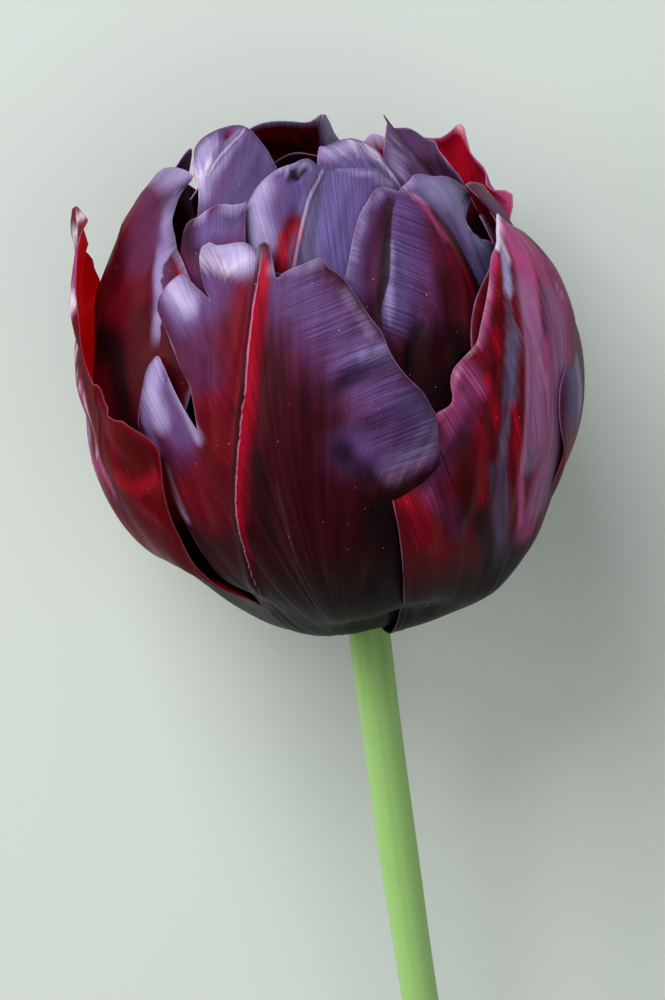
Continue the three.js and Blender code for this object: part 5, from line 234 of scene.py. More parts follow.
-18.0,122.0],[-0.18,-9.0,129.0],[-0.06,-4.0,133.0],[0.0,-1.0,134.0],[0.1,5.0,131.0],[0.34,20.0,122.0],[0.56,31.0,112.0],[0.74,38.0,101.0],[0.88,40.0,88.0],[0.94,36.0,68.0],[1,28.0,46.0]],"tab":[[0.82,0.82,0.82,0.82,0.82,
0.82,0.82,0.82,0.82],[0.8245,0.8371,0.8477,0.8513,0.8529,0.8513,0.8477,0.8371,0.8245],[0.8545,0.869,0.8821,0.8895,0.893,0.8895,0.8821,0.869,0.8545],[0.8624,0.8771,0.8904,0.8983,0.9021,0.8983,0.8904,0.8771,0.8624],
[0.8647,0.8794,0.8928,0.9007,0.9045,0.9007,0.8928,0.8794,0.8647],[0.8675,0.8857,0.9027,0.9157,0.9229,0.9157,0.9027,0.8857,0.8675],[0.87,0.8934,0.916,0.9375,0.95,0.9375,0.916,0.8934,0.87]],"off":[[-0.276,-0.195,-0.119,
-0.053,0.008,0.071,0.145,0.229,0.32],[-0.485,-0.394,-0.273,-0.142,-0.032,0.068,0.188,0.367,0.676],[-0.46,-0.458,-0.376,-0.227,-0.079,0.046,0.181,0.387,0.802],[-0.48,-0.531,-0.505,-0.349,-0.141,0.01,0.126,0.254,0.391],
[-0.624,-0.642,-0.732,-0.572,-0.195,0.005,0.098,0.181,0.144],[-0.454,-0.722,-1.233,-1.066,-0.121,0.1,0.123,0.304,0.347],[-0.457,-0.615,-2.433,-2.372,0.628,0.378,0.03,0.498,0.483]],"step":1.7,"rows":38,"warp":[[[-0.52,
2.76,1.59],5.46,[-14.1,23.8,66.0]],[[-0.62,2.51,1.92],6.07,[-10.6,27.4,60.1]],[[0.87,3.82,-2.69],4.25,[-17.6,20.5,70.9]],[[-0.03,2.02,0.1],2.73,[-8.7,30.7,57.8]],[[-0.45,1.34,1.39],1.82,[-15.3,26.0,68.7]],[[0.02,-1.4,
-0.06],1.67,[-10.7,30.6,61.1]],[[-0.4,0.54,1.23],1.52,[-9.2,32.3,58.6]]],"paint":[["crimson",2,0.9,0.1,0.5,"v"],["red",1,1,0.3,0.55,"v"],["plum",0,0.6,0.5,1,"v"],["pink",2,0.6,1.0,0.2,"edge"],["white",2,0.7,0.76,1.06,
[-15.7,26.9,69.9]],["pink",2,0.85,1.52,1.21,[-10.9,31.1,58.8,-10.0,32.0,57.5]],["dark",0,0.5,50,20,"z"],["dark",1,0.9,1.67,1.06,[-16.3,27.6,58.8,-14.6,28.6,56.4,-14.1,29.9,52.8]],["dark",1,0.45,1.06,1.37,[-12.7,28.8,
64.8,-14.5,28.8,61.9]]],"fine_u":[],"lines":[]},
{"name":"mid_petal_back","az":-172,"h":1.3,"tb":7.48,"fb":20,"kz":1.12,"gam":[[-1,0.8],[0,1.3],[1,0.8]],"margin":[[-1,-28.0,46.0],[-0.94,-36.0,68.0],[-0.88,-40.0,88.0],[-0.74,-39.0,105.0],[-0.56,-33.0,121.0],[-0.36,
-23.0,137.0],[-0.16,-11.0,149.0],[0,0.0,153.0],[0.16,11.0,151.0],[0.36,23.0,139.0],[0.56,33.0,121.0],[0.74,39.0,105.0],[0.88,40.0,88.0],[0.94,36.0,68.0],[1,28.0,46.0]],"tab":[[0.76,0.76,0.76,0.76,0.76,0.76,0.76,0.76,
0.76],[0.7639,0.7785,0.7906,0.794,0.7953,0.794,0.7906,0.7785,0.7639],[0.7935,0.8126,0.8292,0.8363,0.8393,0.8363,0.8292,0.8126,0.7935],[0.8056,0.827,0.846,0.8561,0.8602,0.8561,0.846,0.827,0.8056],[0.81,0.8322,0.8523,
0.8641,0.8695,0.8641,0.8523,0.8322,0.81],[0.8063,0.8291,0.8501,0.8646,0.8728,0.8646,0.8501,0.8291,0.8063],[0.8,0.8238,0.8463,0.8649,0.875,0.8649,0.8463,0.8238,0.8]],"off":[[-0.332,-0.239,-0.156,-0.09,-0.044,-0.018,
-0.005,0.002,0.006],[-0.474,-0.361,-0.228,-0.098,-0.017,0.032,0.074,0.125,0.205],[-0.45,-0.315,-0.178,-0.038,0.051,0.1,0.153,0.219,0.329],[-0.285,-0.143,-0.015,0.143,0.227,0.228,0.257,0.292,0.233],[-0.152,0.113,0.395,
0.606,0.616,0.461,0.458,0.521,0.41],[-0.049,0.424,1.28,1.557,1.299,0.693,0.753,1.024,0.939],[-0.0,0.377,2.774,3.058,2.355,0.351,1.022,1.826,1.568]],"step":1.7,"rows":38,"warp":[[[-0.68,0.69,2.08],1.97,[-20.4,6.3,72.1]]],
"paint":[["crimson",1,0.9,55,66,"z"],["red",1,0.35,66,76,"z"],["plum",0,0.8,0.5,0.9,"v"],["lilac",2,0.85,1.2,0.5,"edge"],["dark",1,0.95,66,56,"z"],["dark",0,0.8,48,20,"z"],["red",1,0.75,0.61,0.76,[-17.7,-3.9,74.2,-19.7,
-1.6,72.9,-22.2,0.5,70.9,-21.9,2.7,71.5,-21.4,4.8,73.0]],["dark",1,0.9,1.06,0.91,[-20.9,-3.4,71.0,-23.5,-0.2,69.0,-23.5,3.0,69.0,-22.4,4.3,70.0]],["lilac",2,0.9,1.82,0.61,[-20.8,6.9,73.5,-21.5,7.5,71.5,-23.2,7.7,69.2]],
["blue",2,0.5,1.82,0.76,[-20.8,6.9,73.5,-21.5,7.5,71.5,-23.2,7.7,69.2]],["dark",2,0.5,0.46,0.61,[-21.9,5.4,72.8,-23.0,5.4,70.3]]],"fine_u":[],"lines":[]},
{"name":"mid_petal_back_left","az":-118,"h":2.0,"tb":7.21,"fb":20,"kz":1.12,"gam":[[-1,0.8],[0,1.3],[1,0.8]],"margin":[[-1,-28.0,46.0],[-0.94,-36.0,68.0],[-0.88,-40.0,88.0],[-0.74,-39.0,104.0],[-0.56,-31.0,118.0],[-0.36,
-19.0,131.0],[-0.16,-8.0,141.0],[0,0.0,147.0],[0.16,9.0,142.0],[0.36,21.0,130.0],[0.56,32.0,116.0],[0.74,39.0,102.0],[0.88,40.0,88.0],[0.94,36.0,68.0],[1,28.0,46.0]],"tab":[[0.76,0.76,0.76,0.76,0.76,0.76,0.76,0.76,0.76],
[0.7597,0.7726,0.7838,0.7887,0.7911,0.7886,0.7838,0.7731,0.761],[0.7843,0.7998,0.8143,0.8247,0.8301,0.8246,0.8143,0.8006,0.7864],[0.7956,0.8152,0.8332,0.845,0.8509,0.8451,0.833,0.8129,0.79],[0.8,0.8222,0.8422,0.8542,
0.8599,0.8543,0.842,0.8176,0.79],[0.7963,0.8177,0.8369,0.8475,0.8525,0.846,0.8327,0.8106,0.7863],[0.79,0.8102,0.8279,0.8363,0.84,0.8319,0.8171,0.799,0.78]],"off":[[-0.008,-0.011,-0.013,-0.015,-0.015,-0.014,-0.01,-0.005,
0.0],[-0.126,-0.147,-0.15,-0.127,-0.096,-0.101,-0.098,-0.033,0.0],[-0.149,-0.235,-0.288,-0.245,-0.14,-0.073,-0.045,-0.018,0.0],[-0.185,-0.332,-0.477,-0.382,-0.139,0.003,0.025,0.013,0.0],[-0.273,-0.372,-0.562,-0.416,0.04,
0.227,0.156,0.059,0.0],[-0.104,-0.225,-0.352,-0.194,0.62,0.757,0.353,0.098,0.0],[-0.023,-0.013,-0.21,-0.263,1.948,1.842,0.422,0.0,0.0]],"step":1.7,"rows":38,"warp":[[[-1.29,2.58,3.96],4.55,[-8.2,-16.4,71.1]]],
"paint":[["crimson",1,0.6,0.3,0.8,"v"],["plum",0,0.8,0.45,0.85,"v"],["violet",0,0.5,0.7,1,"v"],["red",2,0.6,0.61,0.91,[-9.3,-17.1,72.4,-9.1,-14.9,75.3]],["lilac",2,0.5,1.2,0.2,"edge"],["dark",2,0.8,44,20,"z"],["lilac",2,
0.8,1.21,1.52,[-7.5,-16.7,72.9,-9.4,-14.2,74.8]],["violet",2,0.8,2.12,2.43,[-6.7,-17.6,71.6,-11.8,-14.8,72.8]]],"fine_u":[],"lines":[]},
{"name":"inner_petal_centre","az":2,"h":2.85,"tb":8.56,"fb":20,"kz":1.36,"gam":[[-1,0.8],[0,1.3],[1,0.8]],"margin":[[-1,-28.0,46.0],[-0.94,-36.0,68.0],[-0.88,-40.0,88.0],[-0.82,-34.0,103.0],[-0.75,-18.9,129.0],[-0.68,
-17.2,135.6],[-0.6,-15.8,139.7],[-0.52,-14.1,141.4],[-0.44,-10.7,143.8],[-0.36,-7.8,144.9],[-0.28,-4.2,146.0],[-0.2,-0.0,147.1],[-0.13,2.6,148.9],[-0.06,4.9,150.1],[0,7.5,148.1],[0.08,11.8,147.0],[0.16,15.6,145.8],[0.24,
19.5,145.1],[0.32,23.0,145.2],[0.4,25.5,143.6],[0.5,28.5,140.1],[0.6,28.6,133.7],[0.7,26.6,123.9],[0.8,38.0,106.0],[0.88,40.0,88.0],[0.94,36.0,68.0],[1,28.0,46.0]],"tab":[[0.6,0.6,0.6,0.6,0.6,0.6,0.6,0.6,0.6],[0.6194,
0.6337,0.6457,0.6493,0.6508,0.6493,0.6457,0.6337,0.6194],[0.6685,0.6871,0.7033,0.711,0.7144,0.711,0.7033,0.6871,0.6685],[0.6911,0.7142,0.7342,0.7428,0.7465,0.7428,0.7342,0.7142,0.6911],[0.6999,0.7255,0.7476,0.7563,
0.7599,0.7563,0.7476,0.7255,0.6999],[0.7,0.7188,0.7351,0.742,0.745,0.7412,0.733,0.7158,0.6962],[0.7,0.7074,0.7141,0.7181,0.72,0.7159,0.7085,0.6995,0.69]],"off":[[0.0,0.04,0.081,0.095,0.087,0.084,0.076,0.062,0.045],[-0.0,
-0.019,-0.019,0.007,0.031,0.052,0.069,0.135,0.341],[-0.0,0.008,0.013,0.019,0.038,0.077,0.122,0.19,0.368],[0.0,0.07,0.108,0.113,0.141,0.214,0.276,0.236,0.037],[0.0,0.241,0.397,0.426,0.448,0.596,0.756,0.572,0.094],[0.001,
0.621,1.162,1.36,1.122,1.68,1.885,1.36,0.324],[0.028,1.193,2.625,3.352,1.367,3.711,4.015,2.76,0.598]],"step":1.1,"rows":66,"warp":[],"paint":[["plum",2,0.9,26,50,"z"],["violet",2,0.85,40,62,"z"],["blue",2,0.6,4.55,6.07,
[19.0,5.3,72.2,24.9,4.5,64.7]],["slate",2,0.8,1.06,1.52,[18.5,3.5,73.2,22.6,2.0,69.3,25.4,0.2,64.4]],["lilac",2,0.7,2.12,2.73,[18.7,-4.6,73.5,20.3,-6.2,70.6,22.6,-5.8,66.9]],["lilac",2,0.65,0.61,0.91,[17.6,-3.3,74.5,
16.9,-0.4,75.7,16.0,2.8,75.3]],["plum",2,0.6,1.52,2.12,[22.1,-3.0,69.5,24.2,-4.5,65.0]],["wine",2,1,1.14,0.76,[22.8,-0.5,69.0,24.0,-2.7,66.4,25.9,-3.9,61.7]],["wine",2,0.8,0.38,0.46,[23.5,0.3,68.0,24.7,-0.9,65.6,25.8,
-2.1,62.8]],["red",2,0.4,0.61,0.91,[23.0,-1.2,68.5,24.0,-2.7,66.4,25.7,-3.6,62.8]],["red",2,0.5,0.3,0.46,[23.5,0.2,68.1,24.7,-1.0,65.6,25.8,-2.2,63.1]],["dark",2,0.35,0.76,1.21,[21.7,-0.6,70.5,22.9,-1.2,68.8]],["dark",2,
0.95,0.99,0.61,[18.1,0.3,74.2,17.0,1.5,74.8]],["lilac",2,0.7,0.3,0.3,[18.4,-0.9,74.2,16.8,0.1,75.3,16.2,1.6,75.5,16.3,2.8,74.6]],["dark",2,0.5,0.46,0.61,[15.4,5.2,73.9,16.0,8.7,73.7]],["lilac",2,0.5,0.61,1.06,[15.6,7.3,
73.9,17.3,11.3,72.7,17.2,13.7,70.7]],["dark",2,0.7,42,20,"z"],["relief",2,-0.7,0.61,0.2,[19.5,1.6,72.8,22.8,-0.5,69.0,24.9,-3.1,64.5]],["relief",2,-1.2,0.68,0,[17.8,0.9,74.4]],["relief",2,0.6,1.21,0.2,[18.7,-3.4,73.7,
21.1,-5.3,70.1,23.6,-5.3,65.5]],["relief",2,0.4,0.91,0.2,[18.4,7.7,72.4,22.0,6.0,68.3,25.5,3.1,64.1]],["relief",2,-0.45,0.61,0.2,[17.7,4.7,73.3,22.5,2.9,69.0,26.2,0.8,62.7]],["stri",2,0.7,4.55,6.07,[19.5,7.3,71.2,23.9,
5.8,65.9]]],"fine_u":[],"lines":[["fold",0.8,[15.31,4.94,73.97,18.62,3.56,72.87,20.87,1.99,71.14,23.49,0.33,68.04,25.65,-1.55,63.56,26.57,-2.6,61.01]]]},
{"name":"inner_petal_crest","az":30,"h":3.55,"tb":9.17,"fb":20,"kz":1.6,"gam":[[-1,0.8],[0,1.3],[1,0.8]],"margin":[[-1,-28.0,46.0],[-0.94,-36.0,68.0],[-0.88,-40.0,88.0],[-0.75,-36.0,106.0],[-0.62,-15.2,135.8],[-0.5,-8.2,
144.8],[-0.4,-3.4,151.1],[-0.33,0.3,154.5],[-0.25,3.3,154.5],[-0.15,6.4,153.5],[-0.05,7.9,151.1],[0,9.0,150.0],[0.06,10.8,148.1],[0.14,12.8,144.7],[0.22,13.5,141.2],[0.3,12.7,136.3],[0.38,12.1,132.2],[0.46,11.5,127.7],
[0.58,11.3,120.7],[0.7,30.0,116.0],[0.8,38.0,103.0],[0.88,40.0,88.0],[0.94,36.0,68.0],[1,28.0,46.0]],"tab":[[0.52,0.52,0.52,0.52,0.52,0.52,0.52,0.52,0.52],[0.5406,0.5527,0.5628,0.5656,0.5667,0.5651,0.5616,0.5514,0.5394],
[0.5905,0.6041,0.6163,0.6224,0.6252,0.6217,0.6144,0.6021,0.5885],[0.6058,0.6229,0.6388,0.6504,0.6564,0.6526,0.6443,0.6287,0.6111],[0.61,0.629,0.647,0.6618,0.6699,0.6662,0.6578,0.6401,0.6199],[0.6062,0.6209,0.6347,0.6455,
0.6512,0.6489,0.6436,0.6309,0.6162],[0.6,0.6074,0.6141,0.6181,0.62,0.62,0.6198,0.6155,0.61]],"off":[[0.18,0.11,0.043,-0.006,-0.031,-0.031,-0.009,0.025,0.05],[0.358,0.36,0.37,0.465,0.473,0.436,0.393,0.411,0.264],[0.584,
0.55,0.687,0.887,0.957,0.999,1.028,0.949,0.685],[0.255,0.578,0.862,1.068,1.224,1.425,1.56,1.467,1.122],[0.269,0.643,0.873,0.961,1.308,1.815,2.214,2.15,1.563],[0.505,0.871,0.841,0.46,1.297,2.387,3.356,3.363,2.092],[0.832,
1.564,1.223,-1.155,1.28,3.4,5.262,5.241,2.449]],"step":1.2,"rows":48,"warp":[],"paint":[["plum",2,0.8,40,60,"z"],["violet",2,0.8,55,70,"z"],["lilac",2,0.6,1.82,2.73,[11.2,6.3,75.5,10.3,9.4,76.0,11.5,12.7,74.4]],["blue",
2,0.5,1.52,2.43,[13.3,8.2,74.2,14.2,11.9,73.1,14.6,14.5,70.9]],["dark",2,0.6,0.38,0.53,[13.7,4.5,74.3,14.2,8.1,74.1,14.2,11.9,73.1]],["white",2,0.6,0.38,0.38,[9.7,9.5,76.4,11.4,9.7,75.6]],["white",2,0.45,0.46,0.46,[10.5,
11.6,75.3,12.3,13.3,73.6,14.4,14.6,71.4]],["relief",2,-0.5,0.61,0.2,[11.3,11.0,75.3,13.4,12.9,73.3]],["relief",2,-0.4,0.61,0.2,[10.6,7.5,75.5,13.9,8.0,74.0]]],"fine_u":[],"lines":[["fold",0.32,[8.72,9.76,76.79,10.81,
10.02,75.53,13.49,10.21,74.13,14.78,10.36,72.88]],["fold",0.42,[8.71,9.62,76.82,11.0,11.06,75.69,12.13,12.54,74.31,13.53,14.16,72.23,16.26,15.5,69.0]]]},
{"name":"inner_petal_upper_left","az":-22,"h":3.6,"tb":9.11,"fb":20,"kz":1.66,"gam":[[-1,0.8],[0,1.3],[1,0.8]],"margin":[[-1,-28.0,46.0],[-0.94,-36.0,68.0],[-0.88,-40.0,88.0],[-0.78,-36.0,106.0],[-0.66,-18.5,129.5],
[-0.58,-18.0,135.0],[-0.5,-20.4,139.4],[-0.42,-22.7,145.4],[-0.34,-24.3,152.2],[-0.26,-21.2,155.4],[-0.18,-14.1,155.8],[-0.08,-10.4,156.6],[0,-6.2,155.7],[0.08,-1.7,153.1],[0.16,2.7,149.3],[0.24,5.7,146.4],[0.32,8.2,
143.3],[0.4,10.6,140.3],[0.5,13.6,134.3],[0.62,14.6,124.0],[0.74,32.0,112.0],[0.88,40.0,88.0],[0.94,36.0,68.0],[1,28.0,46.0]],"tab":[[0.52,0.52,0.52,0.52,0.52,0.52,0.52,0.52,0.52],[0.5311,0.5433,0.5535,0.5564,0.5576,
0.5564,0.5535,0.5433,0.5311],[0.5701,0.584,0.5963,0.6026,0.6055,0.6026,0.5963,0.584,0.5701],[0.5891,0.6057,0.6212,0.6336,0.6408,0.6349,0.6236,0.6079,0.5909],[0.5988,0.6176,0.6356,0.651,0.6598,0.6517,0.6369,0.6189,
0.5999],[0.6098,0.6304,0.6483,0.6565,0.66,0.6519,0.6371,0.619,0.6],[0.62,0.6419,0.6592,0.66,0.66,0.6519,0.6371,0.619,0.6]],"off":[[0.041,0.027,0.012,-0.01,-0.046,-0.109,-0.203,-0.323,-0.441],[0.427,0.197,0.057,0.003,
-0.018,-0.136,-0.262,-0.429,-0.575],[0.348,0.129,-0.022,-0.132,-0.202,-0.274,-0.342,-0.396,-0.366],[0.013,-0.057,-0.252,-0.486,-0.618,-0.611,-0.557,-0.487,-0.386],[0.0,-0.235,-0.659,-1.183,-1.434,-1.25,-0.951,-0.679,
-0.395],[0.0,-0.395,-1.174,-2.11,-2.633,-2.174,-1.443,-0.932,-0.215],[0.0,-0.297,-1.278,-2.824,-4.218,-3.361,-1.745,-1.395,-0.094]],"step":1.15,"rows":64,"ruf":0.1,"warp":[],"paint":[["plum",2,0.85,36,56,"z"],["violet",
2,0.7,46,66,"z"],["blue",2,0.5,2.73,3.64,[12.9,-3.4,77.6,15.6,-5.9,74.2,16.9,-8.2,71.3]],["dark",2,0.3,2.43,3.34,[13.3,-6.2,77.0,15.4,-5.5,74.7,16.4,-7.7,72.3]],["lilac",2,0.7,1.67,2.28,[8.6,-11.0,78.5,9.9,-13.7,75.9,
13.0,-13.6,73.3]],["wine",2,1,0.61,0.61,[8.3,-8.1,80.2,8.4,-7.5,80.3]],["dark",2,0.5,0.46,0.61,[8.3,-8.4,80.3]],["dark",2,0.6,40,20,"z"],["relief",2,0.4,0.91,0.15,[9.6,-5.6,80.6,10.8,-7.5,79.1,11.3,-10.3,77.0,12.1,-12.6,
74.9,13.0,-13.4,73.5]],["lilac",2,0.45,0.91,1.37,[9.4,-6.0,80.1,12.0,-9.4,77.0,12.5,-12.2,74.3]],["white",2,0.6,0.61,0.76,[12.7,-13.5,74.0,11.6,-12.5,75.4,10.9,-11.1,76.6]],["dark",2,0.45,0.24,0.3,[10.5,-12.1,76.6,9.9,
-9.7,78.4,10.2,-7.1,79.5]],["relief",2,0.5,0.76,0.2,[12.9,-3.4,77.6,15.1,-6.3,74.9,16.3,-9.2,72.0]],["relief",2,-1.0,0.61,0,[8.3,-8.3,80.2]],["relief",2,0.5,0.76,0.2,[8.3,-10.4,79.4,9.4,-13.7,76.2,13.0,-13.6,73.3]]],
"fine_u":[],"lines":[["fold",0.75,[8.69,-5.26,80.74,10.18,-6.03,79.93,10.81,-8.29,78.07,11.67,-10.67,76.43,12.08,-12.23,75.15]]]},
{"name":"inner_petal_left_fold","az":-32,"h":2.1,"tb":8.02,"fb":20,"kz":1.3,"gam":[[-1,0.8],[0,1.3],[1,0.8]],"margin":[[-1,-28.0,46.0],[-0.94,-36.0,68.0],[-0.88,-40.0,88.0],[-0.76,-34.0,108.0],[-0.6,-15.2,126.0],[-0.5,
-15.2,133.0],[-0.4,-12.4,136.1],[-0.3,-8.4,136.2],[-0.22,-5.7,136.2],[-0.12,-3.9,137.6],[-0.04,-2.1,138.4],[0.06,1.0,137.9],[0.16,4.5,137.1],[0.24,6.9,137.5],[0.3,8.3,138.5],[0.38,8.8,135.0],[0.46,9.9,129.2],[0.54,12.0,
123.8],[0.66,30.0,120.0],[0.78,37.0,105.0],[0.88,40.0,88.0],[0.94,36.0,68.0],[1,28.0,46.0]],"tab":[[0.68,0.68,0.68,0.68,0.68,0.68,0.68,0.68,0.68],[0.6994,0.712,0.7226,0.7262,0.7278,0.7262,0.7226,0.712,0.6994],[0.7485,
0.7631,0.7761,0.7834,0.787,0.7834,0.7761,0.7631,0.7485],[0.7693,0.7846,0.7991,0.8074,0.8113,0.8074,0.7994,0.786,0.7711],[0.7788,0.794,0.808,0.8161,0.8199,0.8161,0.8081,0.7947,0.7799],[0.7898,0.8005,0.8092,0.8123,0.8125,
0.8101,0.805,0.7934,0.78],[0.8,0.8055,0.8098,0.8059,0.8,0.8,0.7996,0.791,0.78]],"off":[[0.0,0.0,0.0,0.001,0.002,0.005,0.011,0.022,0.038],[0.082,-0.005,-0.049,-0.067,-0.062,-0.035,0.006,0.075,0.129],[0.023,-0.096,-0.198,
-0.25,-0.234,-0.154,-0.056,0.048,0.161],[0.0,-0.305,-0.572,-0.698,-0.664,-0.445,-0.215,-0.052,0.001],[0.0,-0.698,-1.294,-1.514,-1.449,-0.911,-0.438,-0.103,0.0],[0.0,-1.275,-2.398,-2.455,-2.044,-1.134,-0.509,0.067,0.0],
[0.0,-1.941,-3.658,-2.297,-1.625,-0.553,-0.3,0.974,0.0]],"step":1.4,"rows":44,"warp":[],"paint":[["plum",2,0.9,36,54,"z"],["violet",2,0.65,2.73,3.95,[17.8,-13.5,68.9,21.3,-8.9,69.8]],["blue",2,0.4,1.52,2.43,[17.8,-13.4,
68.3,19.7,-9.5,70.2]],["crimson",2,0.5,1.82,2.73,[13.9,-15.4,69.7,17.1,-16.2,66.0]],["dark",2,0.7,1.52,2.12,[13.4,-15.8,69.4,17.6,-16.2,66.0]],["dark",2,0.6,0.76,1.21,[19.6,-10.1,70.5,20.4,-7.7,71.4]],["dark",2,0.6,1.21,
1.82,[20.5,-14.4,64.6,22.9,-13.0,62.9]],["lilac",2,0.55,0.38,0.61,[15.0,-14.5,69.9,17.4,-10.8,71.5,19.5,-7.9,71.6,19.7,-7.0,72.0]],["dark",2,0.7,40,20,"z"],["relief",2,0.6,0.61,0.2,[15.0,-14.5,69.9,17.5,-10.8,71.3,19.7,
-7.0,72.0]],["relief",2,-0.8,0.76,0.2,[17.5,-14.4,67.8,19.6,-11.0,68.9,20.8,-7.5,70.6]]],"fine_u":[],"lines":[]},
{"name":"inner_petal_upper_right","az":66,"h":4.2,"tb":7.59,"fb":20,"kz":1.48,"gam":[[-1,0.8],[0,1.3],[1,0.8]],"margin":[[-1,-28.0,46.0],[-0.94,-36.0,68.0],[-0.88,-40.0,88.0],[-0.76,-37.0,106.0],[-0.62,-20.8,123.2],
[-0.54,-14.3,128.7],[-0.46,-12.1,133.7],[-0.38,-9.8,136.9],[-0.3,-6.4,139.0],[-0.22,0.5,141.4],[-0.12,16.6,146.6],[-0.05,18.2,148.6],[0,17.9,149.4],[0.07,18.7,146.2],[0.16,19.6,141.5],[0.25,20.5,136.2],[0.34,21.2,131.7],
[0.42,13.9,127.2],[0.52,6.7,121.3],[0.62,9.6,116.8],[0.72,10.8,110.4],[0.8,36.0,106.0],[0.88,40.0,88.0],[0.94,36.0,68.0],[1,28.0,46.0]],"tab":[[0.58,0.58,0.58,0.58,0.58,0.58,0.58,0.58,0.58],[0.6036,0.6174,0.629,0.6319,
0.6331,0.632,0.6289,0.617,0.6026],[0.6577,0.6756,0.6911,0.6977,0.7005,0.6977,0.6911,0.6748,0.656],[0.6812,0.7063,0.7286,0.7407,0.7464,0.7407,0.7283,0.7069,0.684],[0.6899,0.7195,0.7462,0.7621,0.7698,0.7619,0.7463,0.7231,
0.6985],[0.6863,0.713,0.7362,0.7465,0.7512,0.753,0.7484,0.731,0.7103],[0.68,0.7019,0.7192,0.72,0.72,0.7377,0.7494,0.7365,0.72]],"off":[[-0.079,-0.073,-0.053,-0.021,0.021,0.025,0.036,0.028,0.012],[-0.319,-0.535,-0.626,
-0.662,-0.632,-0.556,-0.385,-0.156,0.132],[-0.948,-1.141,-1.28,-1.397,-1.4,-1.239,-0.899,-0.443,0.021],[-1.463,-1.633,-1.95,-2.25,-2.266,-1.987,-1.425,-0.718,0.0],[-1.706,-1.982,-2.601,-3.153,-3.123,-2.647,-1.761,-0.853,
0.0],[-1.562,-2.125,-2.803,-3.497,-3.696,-3.094,-1.574,-0.659,0.0],[-1.554,-2.157,-2.96,-3.95,-4.543,-3.953,-0.343,0.0,0.0]],"step":1.4,"rows":42,"warp":[[[-0.37,1.13,1.13],1.52,[-2.1,14.1,75.6]],[[-0.38,0.83,1.18],2.73,
[-1.5,18.3,72.4,-0.5,21.0,70.7]]],"paint":[["plum",2,0.8,36,58,"z"],["violet",2,0.5,52,68,"z"],["wine",2,0.45,1.52,2.12,[3.4,19.3,70.0,5.9,21.9,68.6]],["plum",2,0.8,1.82,2.43,[4.8,18.0,71.8,4.8,21.5,69.6,6.9,24.0,67.5]],
["crimson",2,0.5,1.06,1.67,[4.0,18.5,70.9,5.9,21.9,68.6]],["lilac",2,0.5,0.91,1.37,[8.1,15.9,72.3,10.5,15.5,71.9,11.7,16.3,70.2]],["dark",2,0.75,1.67,2.12,[4.0,18.5,70.9,4.0,20.7,69.6,6.8,22.6,67.7]],["wine",2,0.9,1.37,
1.37,[6.2,25.7,62.1,4.7,27.1,58.7]],["dark",2,0.7,1.37,1.37,[5.9,26.0,60.5,4.0,27.5,56.9]],["lilac",2,0.4,0.46,0.76,[5.6,14.9,74.9,4.8,17.3,71.9,5.4,22.3,70.7,6.6,25.0,67.8]],["dark",2,0.6,40,20,"z"],["relief",2,0.6,
0.76,0.2,[8.3,14.2,73.9,9.8,16.6,71.1]],["relief",2,-0.6,0.76,0.2,[5.3,17.0,72.1,6.1,19.1,69.9,7.3,21.0,67.2]],["relief",2,0.4,0.91,0.2,[3.4,19.6,69.9,6.8,22.6,67.7]]],"fine_u":[],"lines":[]},
{"name":"inner_petal_back_right","az":146,"h":2.75,"tb":8.94,"fb":20,"kz":1.36,"gam":[[-1,0.8],[0,1.3],[1,0.8]],"margin":[[-1,-28.0,46.0],[-0.94,-36.0,68.0],[-0.88,-40.0,88.0],[-0.74,-38.0,98.0],[-0.56,-30.0,106.0],
[-0.36,-18.0,113.0],[-0.16,-7.0,118.0],[0,0.0,121.0],[0.16,8.0,119.0],[0.36,20.0,113.0],[0.56,31.0,106.0],[0.74,38.0,98.0],[0.88,40.0,88.0],[0.94,36.0,68.0],[1,28.0,46.0]],"tab":[[0.58,0.58,0.58,0.58,0.58,0.58,0.58,0.58,
0.58],[0.6009,0.6153,0.6273,0.6304,0.6316,0.6304,0.6273,0.6153,0.6009],[0.6533,0.6721,0.6884,0.6951,0.698,0.6951,0.6884,0.6721,0.6533],[0.6929,0.7143,0.7337,0.7447,0.75,0.7447,0.7337,0.7143,0.6929],[0.7181,0.7419,0.7638,
0.7788,0.7864,0.7788,0.7638,0.7419,0.7181],[0.7309,0.7599,0.7866,0.8057,0.8156,0.8057,0.7866,0.7599,0.7309],[0.74,0.7738,0.8053,0.8281,0.84,0.8281,0.8053,0.7738,0.74]],"off":[[0.0,0.0,0.0,0.001,0.002,0.004,0.008,0.012,
0.016],[0.0,-0.001,-0.003,-0.004,-0.009,0.007,0.062,0.14,0.255],[0.0,-0.007,-0.018,-0.038,-0.074,-0.064,-0.0,0.098,0.245],[0.0,-0.023,-0.073,-0.161,-0.263,-0.263,-0.157,-0.039,0.007],[0.0,-0.054,-0.178,-0.4,-0.698,
-0.705,-0.437,-0.166,0.0],[0.0,-0.078,-0.315,-0.733,-1.574,-1.559,-0.844,-0.268,0.0],[0.0,0.0,-0.382,-0.764,-3.381,-3.164,-1.176,-0.109,0.0]],"step":2.0,"rows":38,"warp":[[[-1.16,-0.26,3.56],5.16,[-22.6,14.2,71.3]]],
"paint":[["plum",2,0.8,36,58,"z"],["crimson",1,0.95,48,60,"z"],["lilac",2,0.7,1.6,0.4,"edge"],["dark",2,0.6,40,20,"z"],["violet",0,0.6,55,72,"z"],["lilac",2,0.9,2.4,0.9,"edge"],["red",1,0.35,50,62,"z"]],"fine_u":[],"lines":[]},
{"name":"inner_petal_back","az":175,"h":3.45,"tb":8.93,"fb":20,"kz":1.42,"gam":[[-1,0.8],[0,1.3],[1,0.8]],"margin":[[-1,-28.0,46.0],[-0.94,-36.0,68.0],[-0.88,-40.0,88.0],[-0.74,-39.0,102.0],[-0.56,-32.0,113.0],[-0.36,
